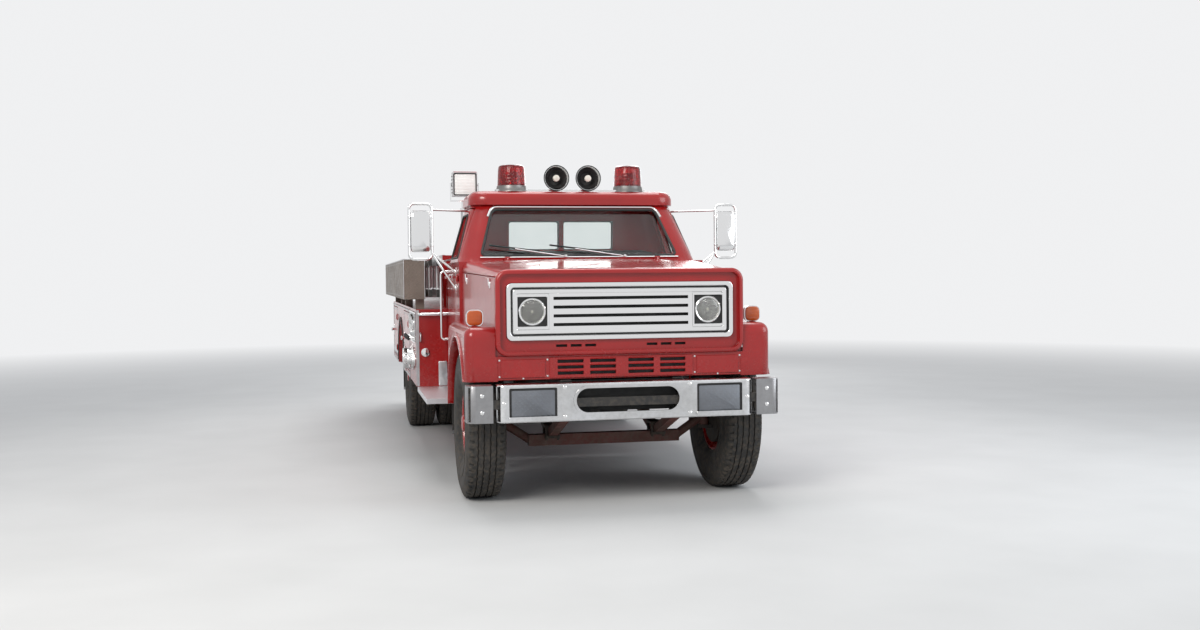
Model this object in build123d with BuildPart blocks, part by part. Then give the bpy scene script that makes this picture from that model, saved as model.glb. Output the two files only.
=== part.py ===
"""A conventional-cab fire pumper: commercial truck chassis, midship pump house,
hose body with lockers, roof beacons and siren horns, and a telescoping floodlight.

Millimetres, +Z up, ground at Z = 0. The truck faces -Y, its driver sits at +X.
Stations are distances behind the front axle; at() turns one into a Y.
Pairs are (low, high) limits unless a comment says otherwise.
"""

import math
import os

from build123d import *

os.makedirs("parts", exist_ok=True)

SIDES = (-1, 1)
RUNNING = 0.3          # radial gap of a bearing or pivot
DOOR_GAP = 8.0         # gap round a hinged panel
OVERCUT = 1.0          # how far a cut runs past the face it opens

# Wheels and track
TYRE_RADIUS = 527.5
TYRE_WIDTH = 278.0
BEAD_RADIUS = 258.0
RIM_HALF = 94.0
RIM_GAUGE = 14.0
RIM_WELL = 34.0        # depth of the drop centre below the bead
RIM_SHOULDER = 26.0
TYRE_BULGE = 110.0     # height above the bead of the widest line
TYRE_SHOULDER = 75.0   # depth below the tread of the shoulder line
TREAD_EDGE, TREAD_EASE, TREAD_DROP = 60.0, 36.0, 12.0
HUB_RADIUS = 82.0
HAND_HOLES = 5
HAND_HOLE_RADIUS = 28.0
HAND_HOLE_CIRCLE = 165.0
FRONT_TRACK = 1830.0
DUAL_SPACING = 312.0
REAR_OUTER_TRACK = 2090.0
WHEELBASE = 4450.0
AXLE_Z = TYRE_RADIUS
HUB_X = FRONT_TRACK / 2
REAR_OUTER_X = REAR_OUTER_TRACK / 2
REAR_INNER_X = REAR_OUTER_X - DUAL_SPACING
FRONT_DISC = (935.0, 949.0)
FRONT_HUB = (868.0, 1000.0, 1040.0)                # inner end, outer end, end of the cap
REAR_DISC_INNER, REAR_DISC_OUTER = (866.0, 880.0), (880.0, 894.0)
REAR_HUB = (760.0, 1150.0, 1180.0)
CAP_STEP = 22.0
CAP_LAP = 10.0
SPACER_LAP, SPACER_STEP = 30.0, 6.0
HOLE_CLEAR = 5.0

# Lengthways layout, as stations behind the front axle
FRONT_OVERHANG = 800.0
CAB_FRONT = 700.0
CAB_LENGTH = 1020.0
CAB_TO_PUMP = 80.0
PUMP_LENGTH = 960.0
BODY_LENGTH = 3350.0
TAILBOARD_DEPTH = 450.0
CAB_BACK = CAB_FRONT + CAB_LENGTH
PUMP_FRONT = CAB_BACK + CAB_TO_PUMP
PUMP_BACK = PUMP_FRONT + PUMP_LENGTH
BODY_FRONT = PUMP_BACK
BODY_BACK = BODY_FRONT + BODY_LENGTH
OVERALL = FRONT_OVERHANG + BODY_BACK + TAILBOARD_DEPTH
FRONT_AXLE = -OVERALL / 2 + FRONT_OVERHANG

# Ladder frame
RAIL_OUTER = 430.0
RAIL_FLANGE = 75.0
RAIL_INNER = RAIL_OUTER - RAIL_FLANGE
RAIL_GAUGE = 8.0
RAIL_WEB = RAIL_OUTER - RAIL_GAUGE
RAIL_BOTTOM = 640.0
RAIL_TOP = 870.0
RAIL_FRONT = -620.0
CROSSMEMBER_DEPTH = 52.0
CROSSMEMBER_HALF = 50.0
CROSSMEMBERS = (RAIL_FRONT + 110, CAB_BACK - 40, BODY_FRONT + 120, 3700.0, 5200.0, BODY_BACK - 60)
HORN_Z = (690.0, 770.0)                            # frame horns behind the bumper
BUMPER_BAR_Z = (700.0, 760.0)
BUMPER_BAR_HALF = 1060.0
BUMPER_BAR_DEPTH = 20.0
BUMPER_BAR_GAP = 3.0
TOW_STATION = BODY_BACK - 70
TOW_Z = 600.0
TOW_BORE = 22.0
TOW_HALF = 48.0
TOW_GAUGE = 20.0
TOW_LENGTH = 150.0
TOW_RISE = 90.0

# Tank, silencer and exhaust
TANK_STATIONS = (CAB_FRONT + 330, PUMP_FRONT - 190)
TANK_X = (460.0, 820.0)
TANK_Z = (470.0, 800.0)
TANK_ROUND = 60.0
TANK_HANGER_Z = (660.0, 780.0)
SILENCER_X = -580.0
SILENCER_Z = 585.0
SILENCER_RADIUS = 95.0
SILENCER_HANGERS = (TANK_STATIONS[0] + 100, TANK_STATIONS[1] - 140)
HANGER_WIDTH = 40.0
HANGER_Z = (645.0, 675.0)
PIPE_RADIUS = 32.0
PIPE_BEND = 75.0
PIPE_FRONT, PIPE_REAR = 660.0, 1900.0
PIPE_OUTLET = -1190.0
MANIFOLD_X = -225.0
MANIFOLD_STATIONS = (190.0, 310.0)
MANIFOLD_Z = (760.0, 840.0)

# Bumper
BUMPER_BOTTOM = 607.0
BUMPER_TOP = 860.0
BUMPER_MID = (BUMPER_BOTTOM + BUMPER_TOP) / 2
BUMPER_HALF = 880.0
BUMPER_DEPTH = 140.0
BUMPER_GAUGE = 10.0
BUMPER_ROUND = 55.0
BUMPER_EDGE = 14.0
BUMPER_END_X = (905.0, 1075.0)
BUMPER_END_BACK = -630.0
BUMPER_END_INSET = 4.0
BUMPER_END_SET_BACK = 8.0
STEP_LIP = 20.0
STEP_LIP_HEIGHT = 28.0
BUMPER_FACE = -(FRONT_OVERHANG - STEP_LIP)
PAD_X, PAD_WIDTH, PAD_HEIGHT, PAD_CORNER = 640.0, 320.0, 205.0, 10.0
PAD_GAUGE = 8.0
PAD_LAP = 12.0
SLOT_LENGTH, SLOT_HEIGHT, SLOT_Z = 706.0, 160.0, 745.0
SLOT_RIM, SLOT_RIM_DEPTH = 18.0, 12.0
BAR_FACE = BUMPER_FACE + BUMPER_GAUGE + PAD_GAUGE

# Axles, springs and drive line
BEAM_Z = (350.0, 430.0)
BEAM_HALF = 560.0
BEAM_DEPTH = 38.0
KINGPIN_X = 760.0
PIN_RADIUS = 20.0
EYE_RADIUS = 38.0
EYE_HALF = 66.0
ARM_RADIUS = 31.0
SPRING_X, SPRING_HALF, SPRING_LEAVES = 392.0, 32.0, 60.0
SPRING_EYE = 55.0
SPRING_SEAT = 110.0
FRONT_SPRING_ENDS = (-560.0, 600.0)
REAR_SPRING_ENDS = (3720.0, 5180.0)
REAR_SPRING_RISE = 45.0
SPINDLE_RADIUS, SPINDLE_END = 34.0, 985.0
DRUM_RADIUS = 200.0
FRONT_DRUM = (822.0, 862.0)
EAR_GAUGE, EAR_GAP, EAR_HALF = 26.0, 2.0, 34.0
REAR_DRUM = (550.0, 590.0)
HOUSING_RADIUS, BOWL_RADIUS, HALF_SHAFT_RADIUS = 70.0, 175.0, 50.0
REAR_AXLE_END = 1130.0
HOUSING_LAP = 10.0
NOSE_PIECE = 330.0
NOSE_PIECE_RISE = 20.0
GEARBOX_BACK = 1150.0
GEARBOX_Z = 760.0
SHAFT_RADIUS = 42.0
FLANGE_RADIUS, FLANGE_LENGTH = 56.0, 70.0

# Engine
ENGINE_X, ENGINE_STATIONS, ENGINE_Z = 190.0, (-330.0, 560.0), (690.0, 1290.0)
GEARBOX_X, GEARBOX_HEIGHTS = 120.0, (650.0, 900.0)
ENGINE_MOUNTS = (-200.0, 420.0)
ENGINE_MOUNT_Z = (700.0, 760.0)
MOUNT_HALF = 40.0
ROCKER_X, ROCKER_STATIONS, ROCKER_HEIGHT = (80.0, 180.0), (-260.0, 470.0), 46.0
CARBURETTOR_STATION, CARBURETTOR_RADIUS, CARBURETTOR_HEIGHT = 60.0, 60.0, 60.0
CLEANER_RADIUS, CLEANER_HEIGHT = 190.0, 80.0
FAN_STATION, FAN_Z, FAN_HUB, FAN_BLADES = -346.0, 1120.0, 60.0, 5
FAN_BLADE_CIRCLE, FAN_BLADE, FAN_GAUGE = 135.0, (200.0, 72.0), 12.0
FAN_SHAFT = 26.0

# Nose, hood and fenders
NOSE_START = -580.0
RIM_DEPTH = 55.0
RIM_LIP = 30.0
RIM_CORNER = 85.0
RIM_EASE = 20.0
HOOD_FRONT_GAP = 16.0
HOOD_BACK_GAUGE = 40.0
NOSE_HALF = (865.0, 955.0)                         # half width at the front and at the rear
NOSE_TOP = (1600.0, 1690.0)                        # height at the front and at the rear
NOSE_BOTTOM = 1036.0
NOSE_CROWN = 18.0
NOSE_CORNER = 70.0
NOSE_GAUGE = 12.0
SUNK_PLATE = 18.0
SEAM_Z = (1560.0, 1605.0)                          # height at the front and at the rear
HOOD_SEAM_GAP = 6.0
HOOD_AXIS = (CAB_FRONT - DOOR_GAP / 2, 1716.0)     # station, height
HOOD_HINGE_X = 600.0
WHEEL_CUT = 620.0
NOSE_SLOTS_X = (215.0, 315.0, 415.0)
NOSE_SLOT_HALF = 38.0
NOSE_SLOT_Z = (1092.0, 1110.0)
SUPPORT_STATIONS = (NOSE_START + 75, NOSE_START + 115)
SUPPORT_LOW_HALF, SUPPORT_WINDOW_HALF, CORE_HALF = 700.0, 760.0, 520.0
SUPPORT_Z, SUPPORT_WINDOW_Z, CORE_Z = (1120.0, 1440.0), (1150.0, 1400.0), (930.0, 1380.0)
CORE_DEPTH = 100.0
FENDER_HALF = 1070.0
FENDER_TOP = 1235.0
FENDER_BOTTOM = 868.0
FENDER_FRONT = -605.0
FENDER_GAUGE = 14.0
FENDER_ROUND = 62.0
FENDER_BEND = 70.0
FENDER_SLOPE = (90.0, 110.0)                       # rear shoulder: along the truck, down
FENDER_CUT_Z = 400.0
FENDER_INSIDE = 840.0
ARCH_LIP = 30.0
ARCH_STAND = 12.0

# Valance
VALANCE_RAISE = 8.0
VALANCE_MIDDLE = 500.0
VALANCE_SIDE = (530.0, 830.0)
VALANCE_MARGIN = 12.0
LOUVRE_Z = (905.0, 945.0, 985.0)
LOUVRE_HEIGHT = 22.0
LOUVRE_LIP = (16.0, 5.0)                           # how far it stands out, its thickness
LOUVRE_GROUPS = ((44.0, 222.0), (268.0, 446.0))    # inner, outer X on each side
VALANCE_STAY_X = (650.0, 690.0)
VALANCE_STAY_Z = (RAIL_TOP + 20, 1010.0)

# Grille and lamps
GRILLE_HALF, GRILLE_Z, GRILLE_CORNER = 793.0, (1137.0, 1529.0), 42.0
GRILLE_FACE = NOSE_START - 12.0
GRILLE_MID = (GRILLE_Z[0] + GRILLE_Z[1]) / 2
GRILLE_HEIGHT = GRILLE_Z[1] - GRILLE_Z[0]
GRILLE_BACKING = 12.0
RING = 30.0
RING_GAP = 16.0
RING_ROWS = ((2.0, 32.0), (RING + RING_GAP, 22.0))  # inset from the edge, depth
RING_GUTTER = 12.0
RING_EASE = 6.0
BAR_HALF, BAR_POST, BAR_DEPTH = 470.0, 30.0, 20.0
SLOTS_Z = (1244.0, 1303.0, 1362.0, 1421.0)
BAR_SLOT = 21.0
LAMP_X, LAMP_Z, LAMP_R = 614.0, 1333.0, 89.0
LAMP_WELL, LAMP_WELL_WALL, LAMP_WELL_DEPTH = 202.0, 12.0, 22.0
LAMP_DEPTH, LAMP_TAPER = 16.0, 30.0
SIGNAL_X, SIGNAL_STATION, SIGNAL_Z = 986.0, -440.0, 1293.0
SIGNAL_WIDTH, SIGNAL_HEIGHT, SIGNAL_DEPTH, SIGNAL_CORNER = 114.0, 112.0, 56.0, 32.0
SIGNAL_FOOT = 20.0
MARKERS_X = (-600.0, -150.0, 0.0, 150.0, 600.0)
MARKER_HALF, MARKER_STATIONS, MARKER_Z = 26.0, (1096.0, 1150.0), (2205.0, 2240.0)
TAIL_LAMP_X, TAIL_LAMPS_Z, TAIL_LAMP_R, TAIL_LAMP_DEPTH = 1130.0, (960.0, 1060.0), 46.0, 26.0

# Cab
CAB_HALF = 975.0
CAB_BOTTOM = 830.0
BELT = 1690.0
ROOF_RAIL = 2150.0
ROOF_TOP = 2262.0
ROOF_HALF, ROOF_FRONT, ROOF_ROUND, ROOF_GAUGE = 850.0, 1050.0, 70.0, 30.0
ROOF_HOLLOW_HALF, ROOF_HOLLOW, ROOF_HOLLOW_CORNER = 740.0, (1150.0, CAB_BACK - 60), 90.0
CAB_GAUGE = 48.0
CAB_CORNER = 150.0
FLOOR_TOP = 960.0
FLOOR_GAUGE = 30.0
FLOOR_UNDER = FLOOR_TOP - FLOOR_GAUGE
CAB_RAIL_CUT = RAIL_OUTER + 15
CAB_FOOT = 90.0
CAB_FEET = (CAB_FRONT + 20, CAB_BACK - 120)
GREENHOUSE_FRONT = (790.0, 1085.0)                 # station at the belt and at the roof rail
GREENHOUSE_HALF = (965.0, 830.0)                   # half width at the belt and at the roof rail
GREENHOUSE_BACK_LEAN = 30.0
SCREEN_Z = (1735.0, 2110.0)
SCREEN_HALF = (790.0, 672.0)                       # half width at the sill and at the head
SCREEN_CORNER = 45.0
SCREEN_PLANE, SCREEN_REACH = 1200.0, 600.0
REAR_PANES = ((-455.0, -20.0), (20.0, 455.0))
CAB_BANDS = (0.0, FLOOR_UNDER, FLOOR_TOP, *SCREEN_Z)  # levels at which the shell is parted
ROOF_SKIN = ROOF_TOP - ROOF_GAUGE  # underside of the roof sheet
ROOF_RING = (ROOF_HOLLOW[0], CAB_BACK - 80.0)  # run of the two side panels under the roof
REAR_PANE_Z = (1800.0, 2045.0)
REAR_PANE_INSET = 38.0
GLASS = 6.0
DOOR_STATIONS = (775.0, 1590.0)
DOOR_Z = (870.0, 2120.0)
DOOR_SHOULDER_Z = 1640.0
DOOR_SHOULDER, DOOR_LEAN = 130.0, 350.0
DOOR_INSIDE = CAB_HALF - CAB_GAUGE
DOOR_EASE = 9.0
DOOR_HINGES = (1000.0, 1560.0)
WINDOW_Z = (1725.0, 2075.0)
WINDOW_FRONT = (190.0, 385.0)                      # behind the door's front, at the sill and at the head
WINDOW_BACK = 65.0
WINDOW_CORNER = 35.0
HANDLE_STATIONS, HANDLE_Z = (1330.0, 1520.0), (1560.0, 1582.0)
HANDLE_OUT, HANDLE_GAUGE = 42.0, 12.0
HINGE_OUT = 10.0
HINGE_PIN, HINGE_HALF, HINGE_ARM, KNUCKLE_HALF = 5.0, 36.0, 30.0, 22.0
HINGE_SET = 5.0
HINGE_ROOT, LOCKER_HINGE_ROOT, HOOD_HINGE_ROOT = 25.0, 17.0, 20.0  # strap of the pin half
KNUCKLE_ROOT, HOOD_KNUCKLE_ROOT = 30.0, 45.0  # strap of the moving half
PARTING_OUT, PARTING_DEPTH, PARTING_MARGIN = 260.0, 740.0, 60.0  # volume that frees the doors
PARTING_TOP = BELT - 40.0
FENDER_STEP = 30.0  # the fender clears the running board by this
FENDER_LAP = 9.0
GRILLE_WINDOW = 50.0
HORN_SADDLE = 20.0

# Mirrors
MIRROR_X = (1160.0, 1338.0)                        # inner and outer upright
MIRROR_Z = (1712.0, 2148.0)
MIRROR_STATION = 950.0
MIRROR_TUBE, MIRROR_BEND, MIRROR_STRUT = 11.0, 46.0, 9.0
MIRROR_SINK = 4.0                                  # how far a strut runs into the door
MIRROR_STRUTS = (1480.0, 1612.0)                   # heights at the door
MIRROR_ARM_END = (838.0, 1200.0, 2100.0)           # x, station, z
MIRROR_HEAD_Z = (1770.0, 2096.0)
MIRROR_HEAD_DEPTH = (20.0, 12.0)                   # ahead of the tubes, behind them

# Inside the cab
DASH_HALF, DASH_BACK, DASH_Z = 905.0, 930.0, (1480.0, 1640.0)
BINNACLE_HALF, BINNACLE_STATIONS, BINNACLE_Z = 190.0, (930.0, 952.0), (1500.0, 1640.0)
COLUMN_X, COLUMN_TILT, COLUMN_RADIUS, COLUMN_LENGTH = 420.0, 38.0, 26.0, 458.0
COLUMN_BRACKET = (34.0, (860.0, 930.0), (1360.0, 1480.0))  # half width, stations, heights
STEER_STATION, STEER_Z, STEER_RADIUS, STEER_RIM, STEER_GAUGE = 1130.0, 1560.0, 222.0, 22.0, 18.0
STEER_SPOKES, STEER_SPOKE_WIDTH, STEER_BOSS = (30.0, 150.0, 270.0), 24.0, 12.0
SEAT_HALF = 800.0
CUSHION_STATIONS, CUSHION_Z, CUSHION_ROUND = (1240.0, 1640.0), (1210.0, 1370.0), 45.0
BACKREST_STATIONS, BACKREST_Z, BACKREST_ROUND = (1560.0, 1660.0), (1300.0, 1800.0), 35.0
SEAT_BASE_INSET, SEAT_BASE_FRONT = 60.0, 1300.0

# Roof equipment
BAR_STATION, BAR_Z, BAR_REACH, BAR_WIDTH, BAR_GAUGE = 1230.0, ROOF_TOP, 620.0, 60.0, 20.0
BEACON_X, BEACON_BASE, BEACON_RADIUS, BEACON_HEIGHT = 488.0, (112.0, 92.0), 88.0, 162.0
BEACON_BASE_HEIGHT, BEACON_ROUND, BEACON_TAPER = 60.0, 20.0, 3.0
HORN_X, HORN_HEIGHT, HORN_R, HORN_THROAT, HORN_WALL = 132.0, 2372.0, 106.0, 46.0, 8.0
HORN_MOUTH, HORN_NECK, HORN_END = 110.0, 10.0, 90.0  # ahead of the bar, behind it, rear end
HORN_PLUG, HORN_STALK, HORN_STALK_BACK = 24.0, 16.0, 50.0

# Steps and boards
BOARD_TOP = 640.0
BOARD_GAUGE = 40.0
BOARD_HALF = 1235.0
BOARD_INNER = 850.0
BOARD_RISER = 20.0
BOARD_BRACKETS = (CAB_FRONT + 250, PUMP_FRONT - 150)
BRACKET_WIDTH, BRACKET_Z = 60.0, (BOARD_TOP + 20, BOARD_TOP + 70)

# Pump house and body
BODY_HALF = BOARD_HALF + 5
SILL = BOARD_TOP
DECK = 1300.0
OVERHEAD = 2 * DECK  # a level above the cab and its body
BODY_GAUGE = 22.0
SKIN = BODY_HALF - BODY_GAUGE
UNDERDECK = DECK - BODY_GAUGE
POD_INNER = 700.0
LOCKER_INNER = POD_INNER + BODY_GAUGE
BED_HALF = 930.0
BED_TOP = 1780.0
DIVIDER_HALF, DIVIDER_SET_BACK, DIVIDER_DROP = 12.0, 300.0, 150.0
CROSSLAY_TOP = 1730.0
CROSSLAY_FRONT = PUMP_FRONT + 160
CROSSLAY_TRAY = (PUMP_BACK - CROSSLAY_FRONT - 3 * BODY_GAUGE) / 2
RAIL_NOTCH = RAIL_OUTER + 15
CASING_STATIONS, CASING_TOP = (PUMP_FRONT + 250, PUMP_BACK - 250), 1150.0
SUCTION_STATION, SUCTION_Z, SUCTION_BORE = PUMP_FRONT + 420, 980.0, 80.0
REAR_ARCH = 600.0
ARCH_STATIONS = (WHEELBASE - REAR_ARCH, WHEELBASE + REAR_ARCH)
LOCKERS = ((BODY_FRONT, ARCH_STATIONS[0]), (ARCH_STATIONS[1], BODY_BACK))
LOCKER_Z = (690.0, 1250.0)
LOCKER_EDGE = 45.0
LOCKER_HINGES = (800.0, 1140.0)
LOCKER_DOOR_GAUGE = 20.0
KNOB_INSET, KNOB_Z, KNOB_RADIUS, KNOB_REACH = 130.0, 970.0, 14.0, 35.0
BEARERS = (BODY_FRONT + 200, 3700.0, 5200.0, BODY_BACK - 260)
BEARER_WIDTH, BEARER_BOTTOM = 60.0, 1100.0
REAR_WALL_BOTTOM = RAIL_TOP + 5
HANDRAIL_X, HANDRAIL_Z, HANDRAIL_OUT = 800.0, (720.0, 1230.0), 60.0
HANDRAIL_RADIUS, HANDRAIL_BEND = 13.0, 25.0
TAIL_HALF = BODY_HALF - 70
TAIL_Z = (RAIL_BOTTOM - 80, RAIL_BOTTOM - 40)
TAIL_ARMS = (BODY_BACK - 300, BODY_BACK + TAILBOARD_DEPTH - 50)

# Pump fittings, each row a station, its radius and its reach out of the skin
FITTING_Z = 860.0
INLET_STATION = PUMP_FRONT + 420
INLET_R, INLET_REACH = 89.0, 95.0
OUTLET_R, OUTLET_REACH = 39.0, 70.0
FLANGE_LIP, FLANGE_GAUGE = 14.0, 12.0
FITTINGS = (
    (INLET_STATION, INLET_R, INLET_REACH),
    (PUMP_FRONT + 180, OUTLET_R, OUTLET_REACH),
    (PUMP_FRONT + 660, OUTLET_R, OUTLET_REACH),
    (PUMP_FRONT + 820, OUTLET_R, OUTLET_REACH),
)
PANEL_STATIONS, PANEL_Z, PANEL_GAUGE = (PUMP_FRONT + 90, PUMP_BACK - 90), (1010.0, 1270.0), 6.0
GAUGES = ((PUMP_FRONT + 250, 62.0), (PUMP_FRONT + 420, 76.0), (PUMP_FRONT + 590, 62.0))  # station, radius
GAUGE_Z, GAUGE_REACH = 1170.0, 24.0
PULLS, PULL_PITCH, PULL_Z, PULL_RADIUS, PULL_REACH = 5, 130.0, 1050.0, 15.0, 52.0
PUMP_RAIL_X, PUMP_RAIL_Z, PUMP_RAIL_OUT = (950.0, 1215.0), 1260.0, 40.0
PULLS_START = PUMP_FRONT + 180

# Ladders, suction hose and trough
LADDER_Z = (DECK + 105, DECK + 435)
LADDER_BEAM, LADDER_GAUGE = 62.0, 30.0
LADDER_INNER = BED_HALF + 96
LADDER_PITCH = 69.0
LADDER_STATIONS = (PUMP_FRONT + 60, BODY_BACK - 150)
RUNGS, RUNG_FIRST, RUNG_PITCH, RUNG_RADIUS = 12, PUMP_FRONT + 200, 340.0, 14.0
LADDER_BRACKETS = (BODY_FRONT + 200, WHEELBASE - 50, BODY_BACK - 400)
LADDER_BRACKET = (50.0, 20.0)                      # width, depth
RUNG_SINK = 12.0
HOSE_X, HOSE_RADIUS, HOSE_LIFT = 1085.0, 72.0, 20.0
HOSE_STATIONS = (BODY_FRONT + 120, BODY_BACK - 250)
COUPLING_LENGTH, COUPLING_LIP = 80.0, 16.0
CRADLES = (BODY_FRONT + 500, WHEELBASE, BODY_BACK - 700)
CRADLE_HALF, CRADLE_WIDTH, CRADLE_HEIGHT = 110.0, 60.0, 50.0
TROUGH_X = (-BODY_HALF - 95, -LADDER_INNER - 125)
TROUGH_STATIONS = (PUMP_FRONT + 120, BODY_BACK - 120)
TROUGH_Z = (DECK + 85, DECK + 430)
TROUGH_GAUGE = 6.0
TROUGH_BRACKETS = (PUMP_FRONT + 200, BODY_FRONT + 900, WHEELBASE, BODY_BACK - 300)
TROUGH_BRACKET_WIDTH = 60.0
TROUGH_BRACKET_X = (10 - BODY_HALF, TROUGH_X[1] - 5)

# Floodlight mast
MAST_X, MAST_STATION = -806.0, PUMP_FRONT + 80
MAST_OUTER, MAST_BORE, MAST_INNER = 34.0, 27.0, 26.7
MAST_TOP, MAST_LOW, MAST_HIGH = 2150.0, 1420.0, 2246.0
MAST_FOOT, MAST_FOOT_GAUGE, MAST_SEAT = (75.0, 65.0), 14.0, 30.0
MAST_STAY_HALF, MAST_STAY_SINK, MAST_STAY_Z = 20.0, 4.0, (1600.0, 1660.0)
YOKE_HALF, YOKE_DEPTH, YOKE_GAUGE, YOKE_BASE = 124.0, 18.0, 8.0, (22.0, 10.0)
HEAD_AXIS_Z, HEAD_HALF, HEAD_DEPTH, HEAD_HEIGHT = 2368.0, 106.0, (60.0, 50.0), (100.0, 106.0)
HEAD_RIM, HEAD_LENS_DEPTH = 12.0, 20.0
TRUNNION, TRUNNION_DEPTH = 7.0, 14.0


def at(station):
    """Y of a station behind the front axle."""
    return FRONT_AXLE + station


def spot(x, station, z):
    """A point from an X, a station and a height."""
    return (x, at(station), z)


def handed(side, low, high):
    """A (low, high) pair of X on one side of the truck."""
    return tuple(sorted((side * low, side * high)))


def cross_plane(station):
    """A plane across the truck: local x is X, local y is Z, normal towards the front."""
    return Plane(origin=(0, at(station), 0), x_dir=(1, 0, 0), z_dir=(0, -1, 0))


def block(x, station, z, mode=Mode.ADD):
    """A box from three (low, high) pairs, the middle one in stations."""
    y = (at(station[0]), at(station[1]))
    with Locations(((x[0] + x[1]) / 2, (y[0] + y[1]) / 2, (z[0] + z[1]) / 2)):
        Box(x[1] - x[0], y[1] - y[0], z[1] - z[0], mode=mode)


def plates(*rows):
    """Plates that meet at their faces, each a solid of its own, from rows of x, station and z pairs."""
    made = []
    for x, station, z in rows:
        with BuildPart() as plate:
            block(x, station, z)
        made.append(plate.part)
    return made


def rod(start, end, radius, mode=Mode.ADD):
    """A round bar between two points."""
    a, b = Vector(*start), Vector(*end)
    with BuildSketch(Plane(origin=a, z_dir=(b - a).normalized())) as disc:
        Circle(radius)
    extrude(disc.sketch, amount=(b - a).length, mode=mode)


def tube_path(points, radius, bend, closed=False):
    """A round tube along straight runs joined by equal bends."""
    with BuildLine() as route:
        FilletPolyline(*points, radius=bend, close=closed)
    with BuildSketch(Plane(origin=route.line @ 0, z_dir=route.line % 0)) as disc:
        Circle(radius)
    sweep(disc.sketch, path=route.line)


def pin_half(centre, along, arm):
    """A hinge pin on the standing side: the pin and two arms back to the sheet metal."""
    c, a, t = Vector(*centre), Vector(*along), Vector(*arm)
    rod(tuple(c - a * HINGE_HALF), tuple(c + a * HINGE_HALF), HINGE_PIN)
    for end in (-HINGE_ARM, HINGE_ARM):
        rod(tuple(c + a * end), tuple(t + a * end), HINGE_PIN + 0.5)


def knuckle_half(centre, along, arm):
    """The moving side of a hinge: a bored knuckle and its arm."""
    c, a, t = Vector(*centre), Vector(*along), Vector(*arm)
    rod(tuple(c - a * KNUCKLE_HALF), tuple(c + a * KNUCKLE_HALF), 2 * HINGE_PIN)
    rod(tuple(c), tuple(t), 1.5 * HINGE_PIN)
    bore_half = a * (KNUCKLE_HALF + OVERCUT)
    rod(tuple(c - bore_half), tuple(c + bore_half), HINGE_PIN + RUNNING, mode=Mode.SUBTRACT)


def save(part, name):
    """Labels a piece and writes its STEP file."""
    part.label = name
    export_step(part, f"parts/{name}.step")


def save_pair(part, name):
    """Writes a left piece and its mirror image on the right."""
    save(part, f"{name}_left")
    save(mirror(part, about=Plane.YZ), f"{name}_right")


# Ladder frame: two channel rails, crossmembers, frame horns, the bar behind the bumper and tow plates
with BuildPart() as rails:
    with BuildSketch(cross_plane(BODY_BACK)):
        with BuildLine():
            Polyline(
                (RAIL_OUTER, RAIL_BOTTOM),
                (RAIL_OUTER, RAIL_TOP),
                (RAIL_INNER, RAIL_TOP),
                (RAIL_INNER, RAIL_TOP - RAIL_GAUGE),
                (RAIL_WEB, RAIL_TOP - RAIL_GAUGE),
                (RAIL_WEB, RAIL_BOTTOM + RAIL_GAUGE),
                (RAIL_INNER, RAIL_BOTTOM + RAIL_GAUGE),
                (RAIL_INNER, RAIL_BOTTOM),
                close=True,
            )
        make_face()
        mirror(about=Plane.YZ)
    extrude(amount=BODY_BACK - RAIL_FRONT)
CROSS_Z = (RAIL_TOP - RAIL_GAUGE - CROSSMEMBER_DEPTH, RAIL_TOP - RAIL_GAUGE)
crossmembers = plates(
    *[
        ((-RAIL_WEB, RAIL_WEB), (station - CROSSMEMBER_HALF, station + CROSSMEMBER_HALF), CROSS_Z)
        for station in CROSSMEMBERS
    ]
)
horns = plates(
    ((-BUMPER_BAR_HALF, BUMPER_BAR_HALF), (BAR_FACE, BAR_FACE + BUMPER_BAR_DEPTH), BUMPER_BAR_Z),
    *[
        (handed(side, RAIL_INNER, RAIL_OUTER), (BAR_FACE + BUMPER_BAR_DEPTH, RAIL_FRONT), HORN_Z)
        for side in SIDES
    ],
)
with BuildPart() as tow_plates:
    for side in SIDES:
        plate = handed(side, RAIL_OUTER, RAIL_OUTER + TOW_GAUGE)
        block(
            plate,
            (TOW_STATION - TOW_LENGTH, TOW_STATION + TOW_HALF),
            (TOW_Z - TOW_HALF, RAIL_BOTTOM + TOW_RISE),
        )
        rod(
            spot(plate[0] - OVERCUT, TOW_STATION, TOW_Z),
            spot(plate[1] + OVERCUT, TOW_STATION, TOW_Z),
            TOW_BORE,
            mode=Mode.SUBTRACT,
        )
save(Compound(children=[rails.part, *crossmembers, *horns, tow_plates.part]), "frame_rails")

# Fuel tank hung from the left rail
with BuildPart() as tank:
    block(TANK_X, TANK_STATIONS, TANK_Z)
    fillet(tank.edges().filter_by(Axis.Y), TANK_ROUND)
save(
    Compound(children=[tank.part, *plates(((RAIL_OUTER, TANK_X[0]), TANK_STATIONS, TANK_HANGER_Z))]),
    "fuel_tank",
)

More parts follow.
